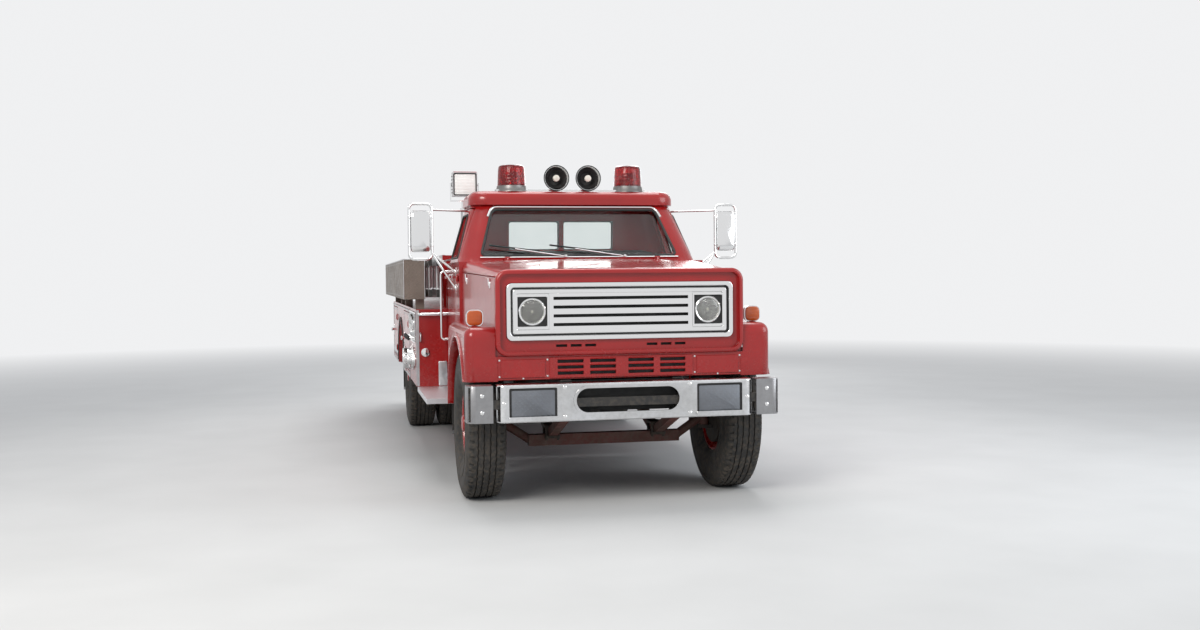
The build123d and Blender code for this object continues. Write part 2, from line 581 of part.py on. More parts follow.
# Silencer under the right rail with its exhaust pipe from the manifold to the side of the truck
with BuildPart() as silencer:
    rod(
        spot(SILENCER_X, TANK_STATIONS[0], SILENCER_Z),
        spot(SILENCER_X, TANK_STATIONS[1], SILENCER_Z),
        SILENCER_RADIUS,
    )
    tube_path(
        [
            spot(SILENCER_X, TANK_STATIONS[0] + HANGER_WIDTH, SILENCER_Z),
            spot(SILENCER_X, PIPE_FRONT, SILENCER_Z),
            spot(MANIFOLD_X, PIPE_FRONT, SILENCER_Z),
            spot(MANIFOLD_X, sum(MANIFOLD_STATIONS) / 2, SILENCER_Z),
            spot(MANIFOLD_X, sum(MANIFOLD_STATIONS) / 2, MANIFOLD_Z[0]),
        ],
        PIPE_RADIUS,
        PIPE_BEND,
    )
    tube_path(
        [
            spot(SILENCER_X, TANK_STATIONS[1] - HANGER_WIDTH, SILENCER_Z),
            spot(SILENCER_X, PIPE_REAR, SILENCER_Z),
            spot(PIPE_OUTLET, PIPE_REAR, SILENCER_Z),
        ],
        PIPE_RADIUS,
        PIPE_BEND,
    )
    for station in SILENCER_HANGERS:
        block((SILENCER_X, -RAIL_OUTER), (station, station + HANGER_WIDTH), HANGER_Z)
save(silencer.part, "silencer")

# Chrome bumper: a wrapped bar with a rounded slot and two recessed step pads, and two end pieces
PADS = ((-PAD_X, BUMPER_MID), (PAD_X, BUMPER_MID))
with BuildPart() as front_bumper:
    block(
        (-BUMPER_HALF, BUMPER_HALF),
        (BUMPER_FACE, BUMPER_FACE + BUMPER_DEPTH),
        (BUMPER_BOTTOM, BUMPER_TOP),
    )
    fillet(front_bumper.edges().filter_by(Axis.Z).group_by(Axis.Y)[0], BUMPER_ROUND)
    front_face = front_bumper.faces().filter_by(Axis.Y).sort_by(Axis.Y)[0]
    fillet(front_face.edges().filter_by(Axis.X), BUMPER_EDGE)
    with BuildSketch(Plane.XY.offset(BUMPER_BOTTOM + BUMPER_GAUGE)):
        with Locations((0, at(BUMPER_FACE + BUMPER_GAUGE + BUMPER_DEPTH / 2))):
            Rectangle(2 * (BUMPER_HALF - BUMPER_GAUGE), BUMPER_DEPTH)
    extrude(amount=BUMPER_TOP - BUMPER_BOTTOM - 2 * BUMPER_GAUGE, mode=Mode.SUBTRACT)
    with BuildSketch(cross_plane(BUMPER_FACE)):
        with Locations((0, SLOT_Z)):
            SlotOverall(SLOT_LENGTH + 2 * SLOT_RIM, SLOT_HEIGHT + 2 * SLOT_RIM)
            SlotOverall(SLOT_LENGTH, SLOT_HEIGHT, mode=Mode.SUBTRACT)
    extrude(amount=SLOT_RIM_DEPTH)
    with BuildSketch(cross_plane(BUMPER_FACE + BUMPER_GAUGE)):
        with Locations((0, SLOT_Z)):
            SlotOverall(SLOT_LENGTH, SLOT_HEIGHT)
        with Locations(*PADS):
            RectangleRounded(PAD_WIDTH, PAD_HEIGHT, PAD_CORNER)
    extrude(amount=BUMPER_GAUGE, mode=Mode.SUBTRACT)
    with BuildSketch(cross_plane(BAR_FACE)):
        with Locations(*PADS):
            Rectangle(PAD_WIDTH + PAD_LAP, PAD_HEIGHT + PAD_LAP)
    extrude(amount=PAD_GAUGE)
    with BuildSketch(cross_plane(BUMPER_FACE)):
        with Locations(*[(x, BUMPER_BOTTOM + STEP_LIP_HEIGHT) for x, _ in PADS]):
            RectangleRounded(PAD_WIDTH + PAD_LAP, STEP_LIP_HEIGHT, PAD_CORNER)
    extrude(amount=STEP_LIP)
    block(
        (-BUMPER_HALF, BUMPER_HALF),
        (BAR_FACE, BUMPER_FACE + BUMPER_DEPTH),
        (BUMPER_BAR_Z[0] - BUMPER_BAR_GAP, BUMPER_BAR_Z[1] + BUMPER_BAR_GAP),
        mode=Mode.SUBTRACT,
    )
END_Z = (BUMPER_BOTTOM + BUMPER_END_INSET, BUMPER_TOP - BUMPER_END_INSET)
with BuildPart() as bumper_end:
    block(BUMPER_END_X, (BUMPER_FACE + BUMPER_END_SET_BACK, BUMPER_END_BACK), END_Z)
    fillet(bumper_end.edges().filter_by(Axis.Z).group_by(Axis.Y)[0].sort_by(Axis.X)[-1], BUMPER_ROUND)
    block(
        (BUMPER_END_X[0] - OVERCUT, BUMPER_END_X[1] - BUMPER_GAUGE),
        (BAR_FACE, BUMPER_END_BACK + OVERCUT),
        (END_Z[0] + BUMPER_GAUGE, END_Z[1] - BUMPER_GAUGE),
        mode=Mode.SUBTRACT,
    )
save(
    Compound(children=[front_bumper.part, bumper_end.part, mirror(bumper_end.part, about=Plane.YZ)]),
    "front_bumper",
)


def leaf_spring(ends, axle_station, low, side):
    """A leaf pack arched down from two hangers under a rail to its seat on an axle."""
    eye = RAIL_BOTTOM - SPRING_EYE
    top = RAIL_BOTTOM - SPRING_EYE / 2
    with BuildSketch(Plane.YZ.offset(side * SPRING_X - SPRING_HALF)) as leaves:
        with BuildLine():
            Polyline(
                (at(ends[0]), RAIL_BOTTOM),
                (at(ends[0]), eye),
                (at(axle_station - SPRING_SEAT), low),
                (at(axle_station + SPRING_SEAT), low),
                (at(ends[1]), eye),
                (at(ends[1]), RAIL_BOTTOM),
                (at(ends[1] - 1.2 * SPRING_EYE), RAIL_BOTTOM),
                (at(ends[1] - 1.6 * SPRING_EYE), top),
                (at(axle_station + SPRING_SEAT), low + SPRING_LEAVES),
                (at(axle_station - SPRING_SEAT), low + SPRING_LEAVES),
                (at(ends[0] + 1.6 * SPRING_EYE), top),
                (at(ends[0] + 1.2 * SPRING_EYE), RAIL_BOTTOM),
                close=True,
            )
        make_face()
    extrude(leaves.sketch, amount=2 * SPRING_HALF)


# Front axle: a dropped beam on two leaf springs, with king-pin eyes at its ends
with BuildPart() as front_axle:
    block((-BEAM_HALF, BEAM_HALF), (-BEAM_DEPTH, BEAM_DEPTH), BEAM_Z)
    for side in SIDES:
        rod(
            spot(side * (BEAM_HALF - ARM_RADIUS / 2), 0, sum(BEAM_Z) / 2),
            spot(side * (KINGPIN_X - EYE_RADIUS / 4), 0, AXLE_Z),
            ARM_RADIUS,
        )
        rod(
            spot(side * KINGPIN_X, 0, AXLE_Z - EYE_HALF),
            spot(side * KINGPIN_X, 0, AXLE_Z + EYE_HALF),
            EYE_RADIUS,
        )
        leaf_spring(FRONT_SPRING_ENDS, 0, BEAM_Z[1], side)
    for side in SIDES:
        rod(
            spot(side * KINGPIN_X, 0, AXLE_Z - EYE_HALF - OVERCUT),
            spot(side * KINGPIN_X, 0, AXLE_Z + EYE_HALF + OVERCUT),
            PIN_RADIUS + RUNNING,
            mode=Mode.SUBTRACT,
        )
save(front_axle.part, "front_axle")

# Steering knuckles: the pin between two ears, a spindle out to the hub and a backing drum
EAR = EYE_HALF + EAR_GAP
with BuildPart() as knuckle:
    rod(
        spot(KINGPIN_X, 0, AXLE_Z - EAR - EAR_GAUGE - EAR_GAP),
        spot(KINGPIN_X, 0, AXLE_Z + EAR + EAR_GAUGE + EAR_GAP),
        PIN_RADIUS,
    )
    for low in (AXLE_Z - EAR - EAR_GAUGE, AXLE_Z + EAR):
        block(
            (KINGPIN_X - 1.5 * PIN_RADIUS, FRONT_DRUM[0]),
            (-EAR_HALF, EAR_HALF),
            (low, low + EAR_GAUGE),
        )
    block(
        (KINGPIN_X + EYE_RADIUS + 3 * EAR_GAP, FRONT_DRUM[0]),
        (-EAR_HALF, EAR_HALF),
        (AXLE_Z - EAR - EAR_GAUGE, AXLE_Z + EAR + EAR_GAUGE),
    )
    rod(spot(FRONT_DRUM[0], 0, AXLE_Z), spot(FRONT_DRUM[1], 0, AXLE_Z), DRUM_RADIUS)
    rod(spot(FRONT_DRUM[1] - OVERCUT, 0, AXLE_Z), spot(SPINDLE_END, 0, AXLE_Z), SPINDLE_RADIUS)
save_pair(knuckle.part, "steering_knuckle")

# Rear axle: housing, bowl, drums, tubes to the dual hubs, propeller shaft and two leaf springs
with BuildPart() as rear_axle:
    rod(
        spot(-REAR_DRUM[0] - HOUSING_LAP, WHEELBASE, AXLE_Z),
        spot(REAR_DRUM[0] + HOUSING_LAP, WHEELBASE, AXLE_Z),
        HOUSING_RADIUS,
    )
    with Locations(spot(0, WHEELBASE, AXLE_Z)):
        Sphere(BOWL_RADIUS)
    companion = spot(0, WHEELBASE - NOSE_PIECE, AXLE_Z + NOSE_PIECE_RISE)
    rod(spot(0, WHEELBASE, AXLE_Z), companion, HOUSING_RADIUS)
    rod(
        spot(0, WHEELBASE - NOSE_PIECE + HOUSING_LAP, AXLE_Z + NOSE_PIECE_RISE),
        spot(0, GEARBOX_BACK + FLANGE_LENGTH / 2, GEARBOX_Z),
        SHAFT_RADIUS,
    )
    rod(spot(0, GEARBOX_BACK + FLANGE_LENGTH, GEARBOX_Z), spot(0, GEARBOX_BACK, GEARBOX_Z), FLANGE_RADIUS)
    for side in SIDES:
        rod(
            spot(side * REAR_DRUM[0], WHEELBASE, AXLE_Z),
            spot(side * REAR_DRUM[1], WHEELBASE, AXLE_Z),
            DRUM_RADIUS,
        )
        rod(
            spot(side * (REAR_DRUM[1] - HOUSING_LAP), WHEELBASE, AXLE_Z),
            spot(side * REAR_AXLE_END, WHEELBASE, AXLE_Z),
            HALF_SHAFT_RADIUS,
        )
        leaf_spring(REAR_SPRING_ENDS, WHEELBASE, AXLE_Z + REAR_SPRING_RISE, side)
save(rear_axle.part, "rear_axle")


def tyre_ring(x):
    """A tyre of revolution centred on x, its shoulders and side walls in straight runs."""
    half = TYRE_WIDTH / 2
    bulge = BEAD_RADIUS + TYRE_BULGE
    shoulder = TYRE_RADIUS - TYRE_SHOULDER
    with BuildSketch(Plane.XZ) as profile:
        with BuildLine():
            Polyline(
                (x - RIM_HALF, BEAD_RADIUS),
                (x - half, bulge),
                (x - half + 4, shoulder),
                (x - half + TREAD_EASE, TYRE_RADIUS - TREAD_DROP),
                (x - half + TREAD_EDGE, TYRE_RADIUS),
                (x + half - TREAD_EDGE, TYRE_RADIUS),
                (x + half - TREAD_EASE, TYRE_RADIUS - TREAD_DROP),
                (x + half - 4, shoulder),
                (x + half, bulge),
                (x + RIM_HALF, BEAD_RADIUS),
                close=True,
            )
        make_face()
    revolve(profile.sketch, axis=Axis.X)


def rim_ring(x, disc, hub, bore):
    """A rim band centred on x with a disc and hub between the given X pairs."""
    with BuildSketch(Plane.XZ) as profile:
        with BuildLine():
            Polyline(
                (x - RIM_HALF, BEAD_RADIUS),
                (x + RIM_HALF, BEAD_RADIUS),
                (x + RIM_HALF, BEAD_RADIUS - RIM_GAUGE),
                (x + RIM_HALF - RIM_SHOULDER, BEAD_RADIUS - RIM_WELL),
                (x - RIM_HALF + RIM_SHOULDER, BEAD_RADIUS - RIM_WELL),
                (x - RIM_HALF, BEAD_RADIUS - RIM_GAUGE),
                close=True,
            )
        make_face()
        edge = BEAD_RADIUS - RIM_WELL + 4
        with Locations((sum(disc) / 2, (edge + bore) / 2)):
            Rectangle(disc[1] - disc[0], edge - bore)
        with Locations((sum(hub) / 2, (HUB_RADIUS + bore) / 2)):
            Rectangle(hub[1] - hub[0], HUB_RADIUS - bore)
    revolve(profile.sketch, axis=Axis.X)


def ring_about_x(x_pair, outer, inner=0.0):
    """A ring, or with no inner radius a disc, round the X axis."""
    with BuildSketch(Plane.YZ.offset(x_pair[0])) as ring:
        Circle(outer)
        if inner:
            Circle(inner, mode=Mode.SUBTRACT)
    extrude(ring.sketch, amount=x_pair[1] - x_pair[0])


def hand_holes(x_pair):
    """Cuts the round holes of a wheel's disc between two X values."""
    with BuildSketch(Plane.YZ.offset(x_pair[0])) as holes:
        with PolarLocations(HAND_HOLE_CIRCLE, HAND_HOLES):
            Circle(HAND_HOLE_RADIUS)
    extrude(holes.sketch, amount=x_pair[1] - x_pair[0], mode=Mode.SUBTRACT)


# Wheels: a tyre with beads on a disc rim; the rears carry two on one hub
with BuildPart() as front_tyre:
    tyre_ring(HUB_X)
with BuildPart() as front_rim:
    rim_ring(HUB_X, FRONT_DISC, FRONT_HUB[:2], SPINDLE_RADIUS + RUNNING)
    ring_about_x((FRONT_HUB[1] - CAP_LAP, FRONT_HUB[2]), HUB_RADIUS - CAP_STEP)
    hand_holes((FRONT_DISC[0] - HOLE_CLEAR, FRONT_DISC[1] + HOLE_CLEAR))
with BuildPart() as rear_tyres:
    tyre_ring(REAR_OUTER_X)
    tyre_ring(REAR_INNER_X)
with BuildPart() as rear_rims:
    rim_ring(REAR_OUTER_X, REAR_DISC_OUTER, REAR_HUB[:2], HALF_SHAFT_RADIUS + RUNNING)
    inner_hub = (REAR_HUB[0], REAR_DISC_INNER[1])
    rim_ring(REAR_INNER_X, REAR_DISC_INNER, inner_hub, HALF_SHAFT_RADIUS + RUNNING)
    ring_about_x(
        (REAR_INNER_X + RIM_HALF - SPACER_LAP, REAR_OUTER_X - RIM_HALF + SPACER_LAP),
        BEAD_RADIUS - RIM_GAUGE - SPACER_STEP,
        BEAD_RADIUS - RIM_WELL,
    )
    ring_about_x((REAR_HUB[1] - CAP_LAP, REAR_HUB[2]), HUB_RADIUS - CAP_STEP)
    hand_holes((REAR_DISC_INNER[0] - HOLE_CLEAR, REAR_DISC_OUTER[1] + HOLE_CLEAR))
front_wheel = Pos(0, at(0), AXLE_Z) * Compound(children=[front_tyre.part, front_rim.part])
rear_wheel = Pos(0, at(WHEELBASE), AXLE_Z) * Compound(children=[rear_tyres.part, rear_rims.part])
save_pair(front_wheel, "front_wheel")
save_pair(rear_wheel, "rear_wheels")

# Engine with its mounts, rocker covers, air cleaner and fan, and the gearbox behind it
block_plates = plates(
    ((-ENGINE_X, ENGINE_X), ENGINE_STATIONS, ENGINE_Z),
    ((-GEARBOX_X, GEARBOX_X), (ENGINE_STATIONS[1], GEARBOX_BACK), GEARBOX_HEIGHTS),
    ((MANIFOLD_X - PIPE_RADIUS, -ENGINE_X), MANIFOLD_STATIONS, MANIFOLD_Z),
    *[
        (handed(side, ENGINE_X, RAIL_WEB), (station - MOUNT_HALF, station + MOUNT_HALF), ENGINE_MOUNT_Z)
        for side in SIDES
        for station in ENGINE_MOUNTS
    ],
    *[
        (handed(side, *ROCKER_X), ROCKER_STATIONS, (ENGINE_Z[1], ENGINE_Z[1] + ROCKER_HEIGHT))
        for side in SIDES
    ],
)
with BuildPart() as air_cleaner:
    cleaner_low = ENGINE_Z[1] + CARBURETTOR_HEIGHT
    rod(
        spot(0, CARBURETTOR_STATION, ENGINE_Z[1]),
        spot(0, CARBURETTOR_STATION, cleaner_low + OVERCUT),
        CARBURETTOR_RADIUS,
    )
    rod(
        spot(0, CARBURETTOR_STATION, cleaner_low),
        spot(0, CARBURETTOR_STATION, cleaner_low + CLEANER_HEIGHT),
        CLEANER_RADIUS,
    )
with BuildPart() as fan:
    with BuildSketch(cross_plane(FAN_STATION)):
        with Locations((0, FAN_Z)):
            Circle(FAN_HUB)
            with PolarLocations(FAN_BLADE_CIRCLE, FAN_BLADES):
                Rectangle(*FAN_BLADE)
    extrude(amount=FAN_GAUGE)
    rod(spot(0, FAN_STATION - OVERCUT, FAN_Z), spot(0, ENGINE_STATIONS[0], FAN_Z), FAN_SHAFT)
save(Compound(children=[*block_plates, air_cleaner.part, fan.part]), "engine_block")


def nose_loft(inset, start, end, mode=Mode.ADD):
    """The tapering nose volume, drawn in by an inset on its sides and top."""
    sections = []
    low = NOSE_BOTTOM - inset
    bend = NOSE_CORNER
    for station in (start, end):
        share = (station - NOSE_START) / (CAB_FRONT - NOSE_START)
        half = NOSE_HALF[0] + share * (NOSE_HALF[1] - NOSE_HALF[0]) - inset
        top = NOSE_TOP[0] + share * (NOSE_TOP[1] - NOSE_TOP[0]) - inset
        with BuildSketch(cross_plane(station)) as section:
            with BuildLine():
                Polyline((-half, top - bend), (-half, low), (half, low), (half, top - bend))
                ThreePointArc((half, top - bend), (half - 0.3 * bend, top - 0.3 * bend), (half - bend, top))
                ThreePointArc((half - bend, top), (0, top + NOSE_CROWN), (bend - half, top))
                ThreePointArc((bend - half, top), (0.3 * bend - half, top - 0.3 * bend), (-half, top - bend))
            make_face()
        sections.append(section.sketch.face())
    loft(sections, ruled=True, mode=mode)


def side_cut(points):
    """Cuts a side-view outline, given as (station, z) pairs, right across the truck."""
    with BuildSketch(Plane.YZ.offset(-BODY_HALF)) as outline:
        with BuildLine():
            Polyline(*[(at(s), z) for s, z in points], close=True)
        make_face()
    extrude(outline.sketch, amount=2 * BODY_HALF, mode=Mode.SUBTRACT)


def rim_outline(inset, corner):
    """The rounded outline of the nose's rim, drawn in by an inset."""
    height = NOSE_TOP[0] + NOSE_CROWN - NOSE_BOTTOM
    with Locations((0, NOSE_BOTTOM + height / 2)):
        RectangleRounded(2 * (NOSE_HALF[0] - inset), height - 2 * inset, corner)


def grille_outline(inset, corner, mode=Mode.ADD):
    """The rounded outline of the grille, drawn in by an inset."""
    with Locations((0, GRILLE_MID)):
        RectangleRounded(2 * (GRILLE_HALF - inset), GRILLE_HEIGHT - 2 * inset, corner, mode=mode)


# Nose: side walls, a standing rim, the sunken panel round the grille and the radiator on its support
FAR_FRONT, FAR_BACK = NOSE_START - 2 * RIM_DEPTH, CAB_FRONT + DOOR_GAP
with BuildPart() as nose_panel:
    nose_loft(0, NOSE_START, CAB_FRONT)
    nose_loft(NOSE_GAUGE, NOSE_START + NOSE_GAUGE, CAB_FRONT + OVERCUT, mode=Mode.SUBTRACT)
    side_cut(((FAR_FRONT, SEAM_Z[0]), (FAR_BACK, SEAM_Z[1]), (FAR_BACK, ROOF_TOP), (FAR_FRONT, ROOF_TOP)))
    rod(spot(-BODY_HALF, 0, AXLE_Z), spot(BODY_HALF, 0, AXLE_Z), WHEEL_CUT, mode=Mode.SUBTRACT)
    with BuildSketch(cross_plane(NOSE_START)):
        rim_outline(0, RIM_CORNER)
    extrude(amount=RIM_DEPTH)
    rim_face = nose_panel.faces().filter_by(Axis.Y).sort_by(Axis.Y)[0]
    fillet(rim_face.edges(), RIM_EASE)
    with BuildSketch(cross_plane(NOSE_START)):
        rim_outline(RIM_LIP, RIM_CORNER - RIM_LIP)
    extrude(amount=RIM_DEPTH + OVERCUT, mode=Mode.SUBTRACT)
    with BuildSketch(cross_plane(NOSE_START)):
        rim_outline(RIM_LIP - 5, RIM_CORNER - RIM_LIP)
        grille_outline(0, GRILLE_CORNER, mode=Mode.SUBTRACT)
    extrude(amount=SUNK_PLATE)
    block(
        (-BAR_HALF - BAR_POST / 2, BAR_HALF + BAR_POST / 2),
        (NOSE_START - OVERCUT, NOSE_START + 3 * NOSE_GAUGE),
        (GRILLE_Z[0] + GRILLE_WINDOW, GRILLE_Z[1] - GRILLE_WINDOW),
        mode=Mode.SUBTRACT,
    )
    for side in SIDES:
        for x in NOSE_SLOTS_X:
            block(
                handed(side, x - NOSE_SLOT_HALF, x + NOSE_SLOT_HALF),
                (NOSE_START - 2 * SUNK_PLATE, NOSE_START + 3 * NOSE_GAUGE),
                NOSE_SLOT_Z,
                mode=Mode.SUBTRACT,
            )
    block((3 - NOSE_HALF[0], NOSE_HALF[0] - 3), SUPPORT_STATIONS, SUPPORT_Z)
    block((-SUPPORT_LOW_HALF, SUPPORT_LOW_HALF), SUPPORT_STATIONS, (RAIL_TOP, SUPPORT_Z[0] + OVERCUT))
    block(
        (-SUPPORT_WINDOW_HALF, SUPPORT_WINDOW_HALF),
        (SUPPORT_STATIONS[0] - OVERCUT, SUPPORT_STATIONS[1] + OVERCUT),
        SUPPORT_WINDOW_Z,
        mode=Mode.SUBTRACT,
    )
    block((-CORE_HALF, CORE_HALF), (SUPPORT_STATIONS[0], SUPPORT_STATIONS[0] + CORE_DEPTH), CORE_Z)
save(nose_panel.part, "nose_panel")

# Alligator hood over the seam, hinged at the cowl
HOOD_START, HOOD_END = NOSE_START + HOOD_FRONT_GAP, CAB_FRONT - DOOR_GAP
with BuildPart() as hood:
    nose_loft(0, HOOD_START, HOOD_END)
    nose_loft(NOSE_GAUGE, HOOD_START + NOSE_GAUGE, HOOD_END - HOOD_BACK_GAUGE, mode=Mode.SUBTRACT)
    side_cut(
        (
            (FAR_FRONT, SEAM_Z[0] + HOOD_SEAM_GAP),
            (FAR_BACK, SEAM_Z[1] + HOOD_SEAM_GAP),
            (FAR_BACK, NOSE_BOTTOM - 2 * NOSE_GAUGE),
            (FAR_FRONT, NOSE_BOTTOM - 2 * NOSE_GAUGE),
        )
    )
    for side in SIDES:
        knuckle_half(
            spot(side * HOOD_HINGE_X, *HOOD_AXIS),
            (1, 0, 0),
            spot(side * HOOD_HINGE_X, CAB_FRONT - HOOD_KNUCKLE_ROOT, NOSE_TOP[1] - HINGE_SET),
        )
save(hood.part, "hood")

# Valance under the grille with its louvres, flush with the flared fenders
with BuildPart() as valance:
    raised = (FENDER_FRONT - VALANCE_RAISE, FENDER_FRONT + OVERCUT)
    block(
        (-BOARD_INNER, BOARD_INNER),
        (FENDER_FRONT, FENDER_FRONT + FENDER_GAUGE),
        (FENDER_BOTTOM + VALANCE_RAISE, NOSE_BOTTOM),
    )
    block(
        (-VALANCE_MIDDLE, VALANCE_MIDDLE),
        raised,
        (FENDER_BOTTOM + 2 * VALANCE_RAISE, NOSE_BOTTOM - VALANCE_MARGIN),
    )
    for side in SIDES:
        block(
            handed(side, *VALANCE_SIDE),
            raised,
            (FENDER_BOTTOM + 2 * VALANCE_MARGIN, NOSE_BOTTOM - 2 * VALANCE_MARGIN),
        )
        for group in LOUVRE_GROUPS:
            for z in LOUVRE_Z:
                block(
                    handed(side, *group),
                    (FENDER_FRONT - VALANCE_RAISE - OVERCUT, FENDER_FRONT + FENDER_GAUGE + OVERCUT),
                    (z, z + LOUVRE_HEIGHT),
                    mode=Mode.SUBTRACT,
                )
                block(
                    handed(side, *group),
                    (FENDER_FRONT - LOUVRE_LIP[0], FENDER_FRONT + 2),
                    (z + LOUVRE_HEIGHT, z + LOUVRE_HEIGHT + LOUVRE_LIP[1]),
                )
        block(
            handed(side, *VALANCE_STAY_X),
            (FENDER_FRONT + FENDER_GAUGE - OVERCUT, SUPPORT_STATIONS[0]),
            VALANCE_STAY_Z,
        )
save(valance.part, "front_valance")


def fender_volume(inset, inner, mode=Mode.ADD):
    """The fender's outer volume from the nose outwards, drawn in by an inset, its shoulder rounded."""
    with BuildSketch(Plane.YZ.offset(inner)) as outline:
        with BuildLine():
            FilletPolyline(
                (at(FENDER_FRONT + inset), FENDER_CUT_Z),
                (at(FENDER_FRONT + inset), FENDER_TOP - inset),
                (at(CAB_FRONT - FENDER_SLOPE[0] - inset), FENDER_TOP - inset),
                (at(CAB_FRONT - inset), FENDER_TOP - FENDER_SLOPE[1] - inset),
                (at(CAB_FRONT - inset), FENDER_CUT_Z),
                radius=FENDER_BEND - inset,
                close=True,
            )
        make_face()
    volume = extrude(outline.sketch, amount=FENDER_HALF - inset - inner, mode=Mode.PRIVATE)
    shoulder = volume.faces().sort_by(Axis.X)[-1].edges()
    add(volume.fillet(FENDER_ROUND - inset, shoulder), mode=mode)


with BuildPart() as fender:
    fender_volume(0, BOARD_INNER)
    fender_volume(FENDER_GAUGE, FENDER_INSIDE, mode=Mode.SUBTRACT)
    nose_loft(0, NOSE_START - RIM_DEPTH, CAB_FRONT + OVERCUT, mode=Mode.SUBTRACT)
    block(
        (FENDER_INSIDE, NOSE_HALF[0]),
        (NOSE_START - RIM_DEPTH - OVERCUT, NOSE_START),
        (NOSE_BOTTOM, NOSE_TOP[0]),
        mode=Mode.SUBTRACT,
    )
    with BuildSketch(Plane.YZ.offset(FENDER_HALF - FENDER_ROUND)):
        with Locations((at(0), AXLE_Z)):
            Circle(WHEEL_CUT + ARCH_LIP)
            Circle(WHEEL_CUT, mode=Mode.SUBTRACT)
    extrude(amount=FENDER_ROUND + ARCH_STAND)
    rod(spot(FENDER_INSIDE, 0, AXLE_Z), spot(BODY_HALF, 0, AXLE_Z), WHEEL_CUT, mode=Mode.SUBTRACT)
    outside = (FENDER_INSIDE, BODY_HALF)
    block(outside, (FAR_FRONT, 0), (-FENDER_BOTTOM, FENDER_BOTTOM), mode=Mode.SUBTRACT)
    block(outside, (FAR_FRONT, CAB_FRONT), (-FENDER_BOTTOM, BOARD_TOP - FENDER_STEP), mode=Mode.SUBTRACT)
    block(
        outside,
        (CAB_FRONT - OVERCUT, CAB_FRONT + FENDER_LAP),
        (-FENDER_BOTTOM, ROOF_TOP),
        mode=Mode.SUBTRACT,
    )
save_pair(fender.part, "fender")


def greenhouse(inset, low, high, mode=Mode.ADD):
    """The leaning glass house between two heights, drawn in by an inset."""
    sections = []
    for z in (low, high):
        share = (z - BELT) / (ROOF_RAIL - BELT)
        front = GREENHOUSE_FRONT[0] + share * (GREENHOUSE_FRONT[1] - GREENHOUSE_FRONT[0]) + inset
        half = GREENHOUSE_HALF[0] + share * (GREENHOUSE_HALF[1] - GREENHOUSE_HALF[0]) - inset
        back = CAB_BACK - share * GREENHOUSE_BACK_LEAN - inset
        with BuildSketch(Plane.XY.offset(z)) as section:
            with Locations((0, at((front + back) / 2))):
                RectangleRounded(2 * half, back - front, CAB_CORNER - inset)
        sections.append(section.sketch.face())
    loft(sections, ruled=True, mode=mode)


def cab_volume(inset, low, mode=Mode.ADD):
    """The cab's whole outer volume, drawn in by an inset."""
    top = BELT - inset
    block(
        (-CAB_HALF + inset, CAB_HALF - inset),
        (CAB_FRONT + inset, CAB_BACK - inset),
        (low, top),
        mode=mode,
    )
    greenhouse(inset, top - OVERCUT, ROOF_RAIL, mode)


def screen_cut(mode):
    """Cuts or keeps the windscreen opening, seen from the front."""
    with BuildSketch(cross_plane(SCREEN_PLANE)) as outline:
        with BuildLine():
            Polyline(
                (-SCREEN_HALF[0], SCREEN_Z[0]),
                (SCREEN_HALF[0], SCREEN_Z[0]),
                (SCREEN_HALF[1], SCREEN_Z[1]),
                (-SCREEN_HALF[1], SCREEN_Z[1]),
                close=True,
            )
        make_face()
        fillet(outline.vertices(), SCREEN_CORNER)
    extrude(outline.sketch, amount=SCREEN_REACH, mode=mode)


def door_outline(margin, ease=0.0):
    """The door in side view, drawn in by a margin, its upper rear corner eased to swing clear."""
    front, back = DOOR_STATIONS
    low, high = DOOR_Z
    return [
        (front + margin, low + margin),
        (front + margin, DOOR_SHOULDER_Z),
        (front + DOOR_SHOULDER + margin, BELT - 10),
        (front + DOOR_LEAN + margin, high - margin),
        (back - margin - ease, high - margin),
        (back - margin, BELT),
        (back - margin, low + margin),
    ]


def side_window(mode):
    """The left door's window opening, cut or kept."""
    front, back = DOOR_STATIONS
    with BuildSketch(Plane.YZ.offset(POD_INNER)) as outline:
        with BuildLine():
            Polyline(
                (at(front + WINDOW_FRONT[0]), WINDOW_Z[0]),
                (at(front + WINDOW_FRONT[1]), WINDOW_Z[1]),
                (at(back - WINDOW_BACK), WINDOW_Z[1]),
                (at(back - WINDOW_BACK), WINDOW_Z[0]),
                close=True,
            )
        make_face()
        fillet(outline.vertices(), WINDOW_CORNER)
    extrude(outline.sketch, amount=BODY_HALF - POD_INNER, mode=mode)


# Cab: a box to the belt line, a leaning glass house above it and a rounded roof
with BuildPart() as cab_skin:
    cab_volume(0, CAB_BOTTOM)
    with BuildSketch(Plane.XY.offset(ROOF_RAIL)):
        with Locations((0, at((ROOF_FRONT + CAB_BACK) / 2))):
            RectangleRounded(2 * ROOF_HALF, CAB_BACK - ROOF_FRONT, CAB_CORNER)
    extrude(amount=ROOF_TOP - ROOF_RAIL)
    fillet(cab_skin.faces().sort_by(Axis.Z)[-1].edges(), ROOF_ROUND)
    cab_volume(CAB_GAUGE, FLOOR_TOP, mode=Mode.SUBTRACT)
    with BuildSketch(Plane.XY.offset(ROOF_RAIL - OVERCUT)):
        with Locations((0, at(sum(ROOF_HOLLOW) / 2))):
            RectangleRounded(2 * ROOF_HOLLOW_HALF, ROOF_HOLLOW[1] - ROOF_HOLLOW[0], ROOF_HOLLOW_CORNER)
    extrude(amount=ROOF_TOP - ROOF_RAIL - ROOF_GAUGE, mode=Mode.SUBTRACT)
    block(
        (-DOOR_INSIDE, DOOR_INSIDE),
        (CAB_FRONT + CAB_GAUGE, CAB_BACK - CAB_GAUGE),
        (CAB_BOTTOM - OVERCUT, FLOOR_UNDER),
        mode=Mode.SUBTRACT,
    )


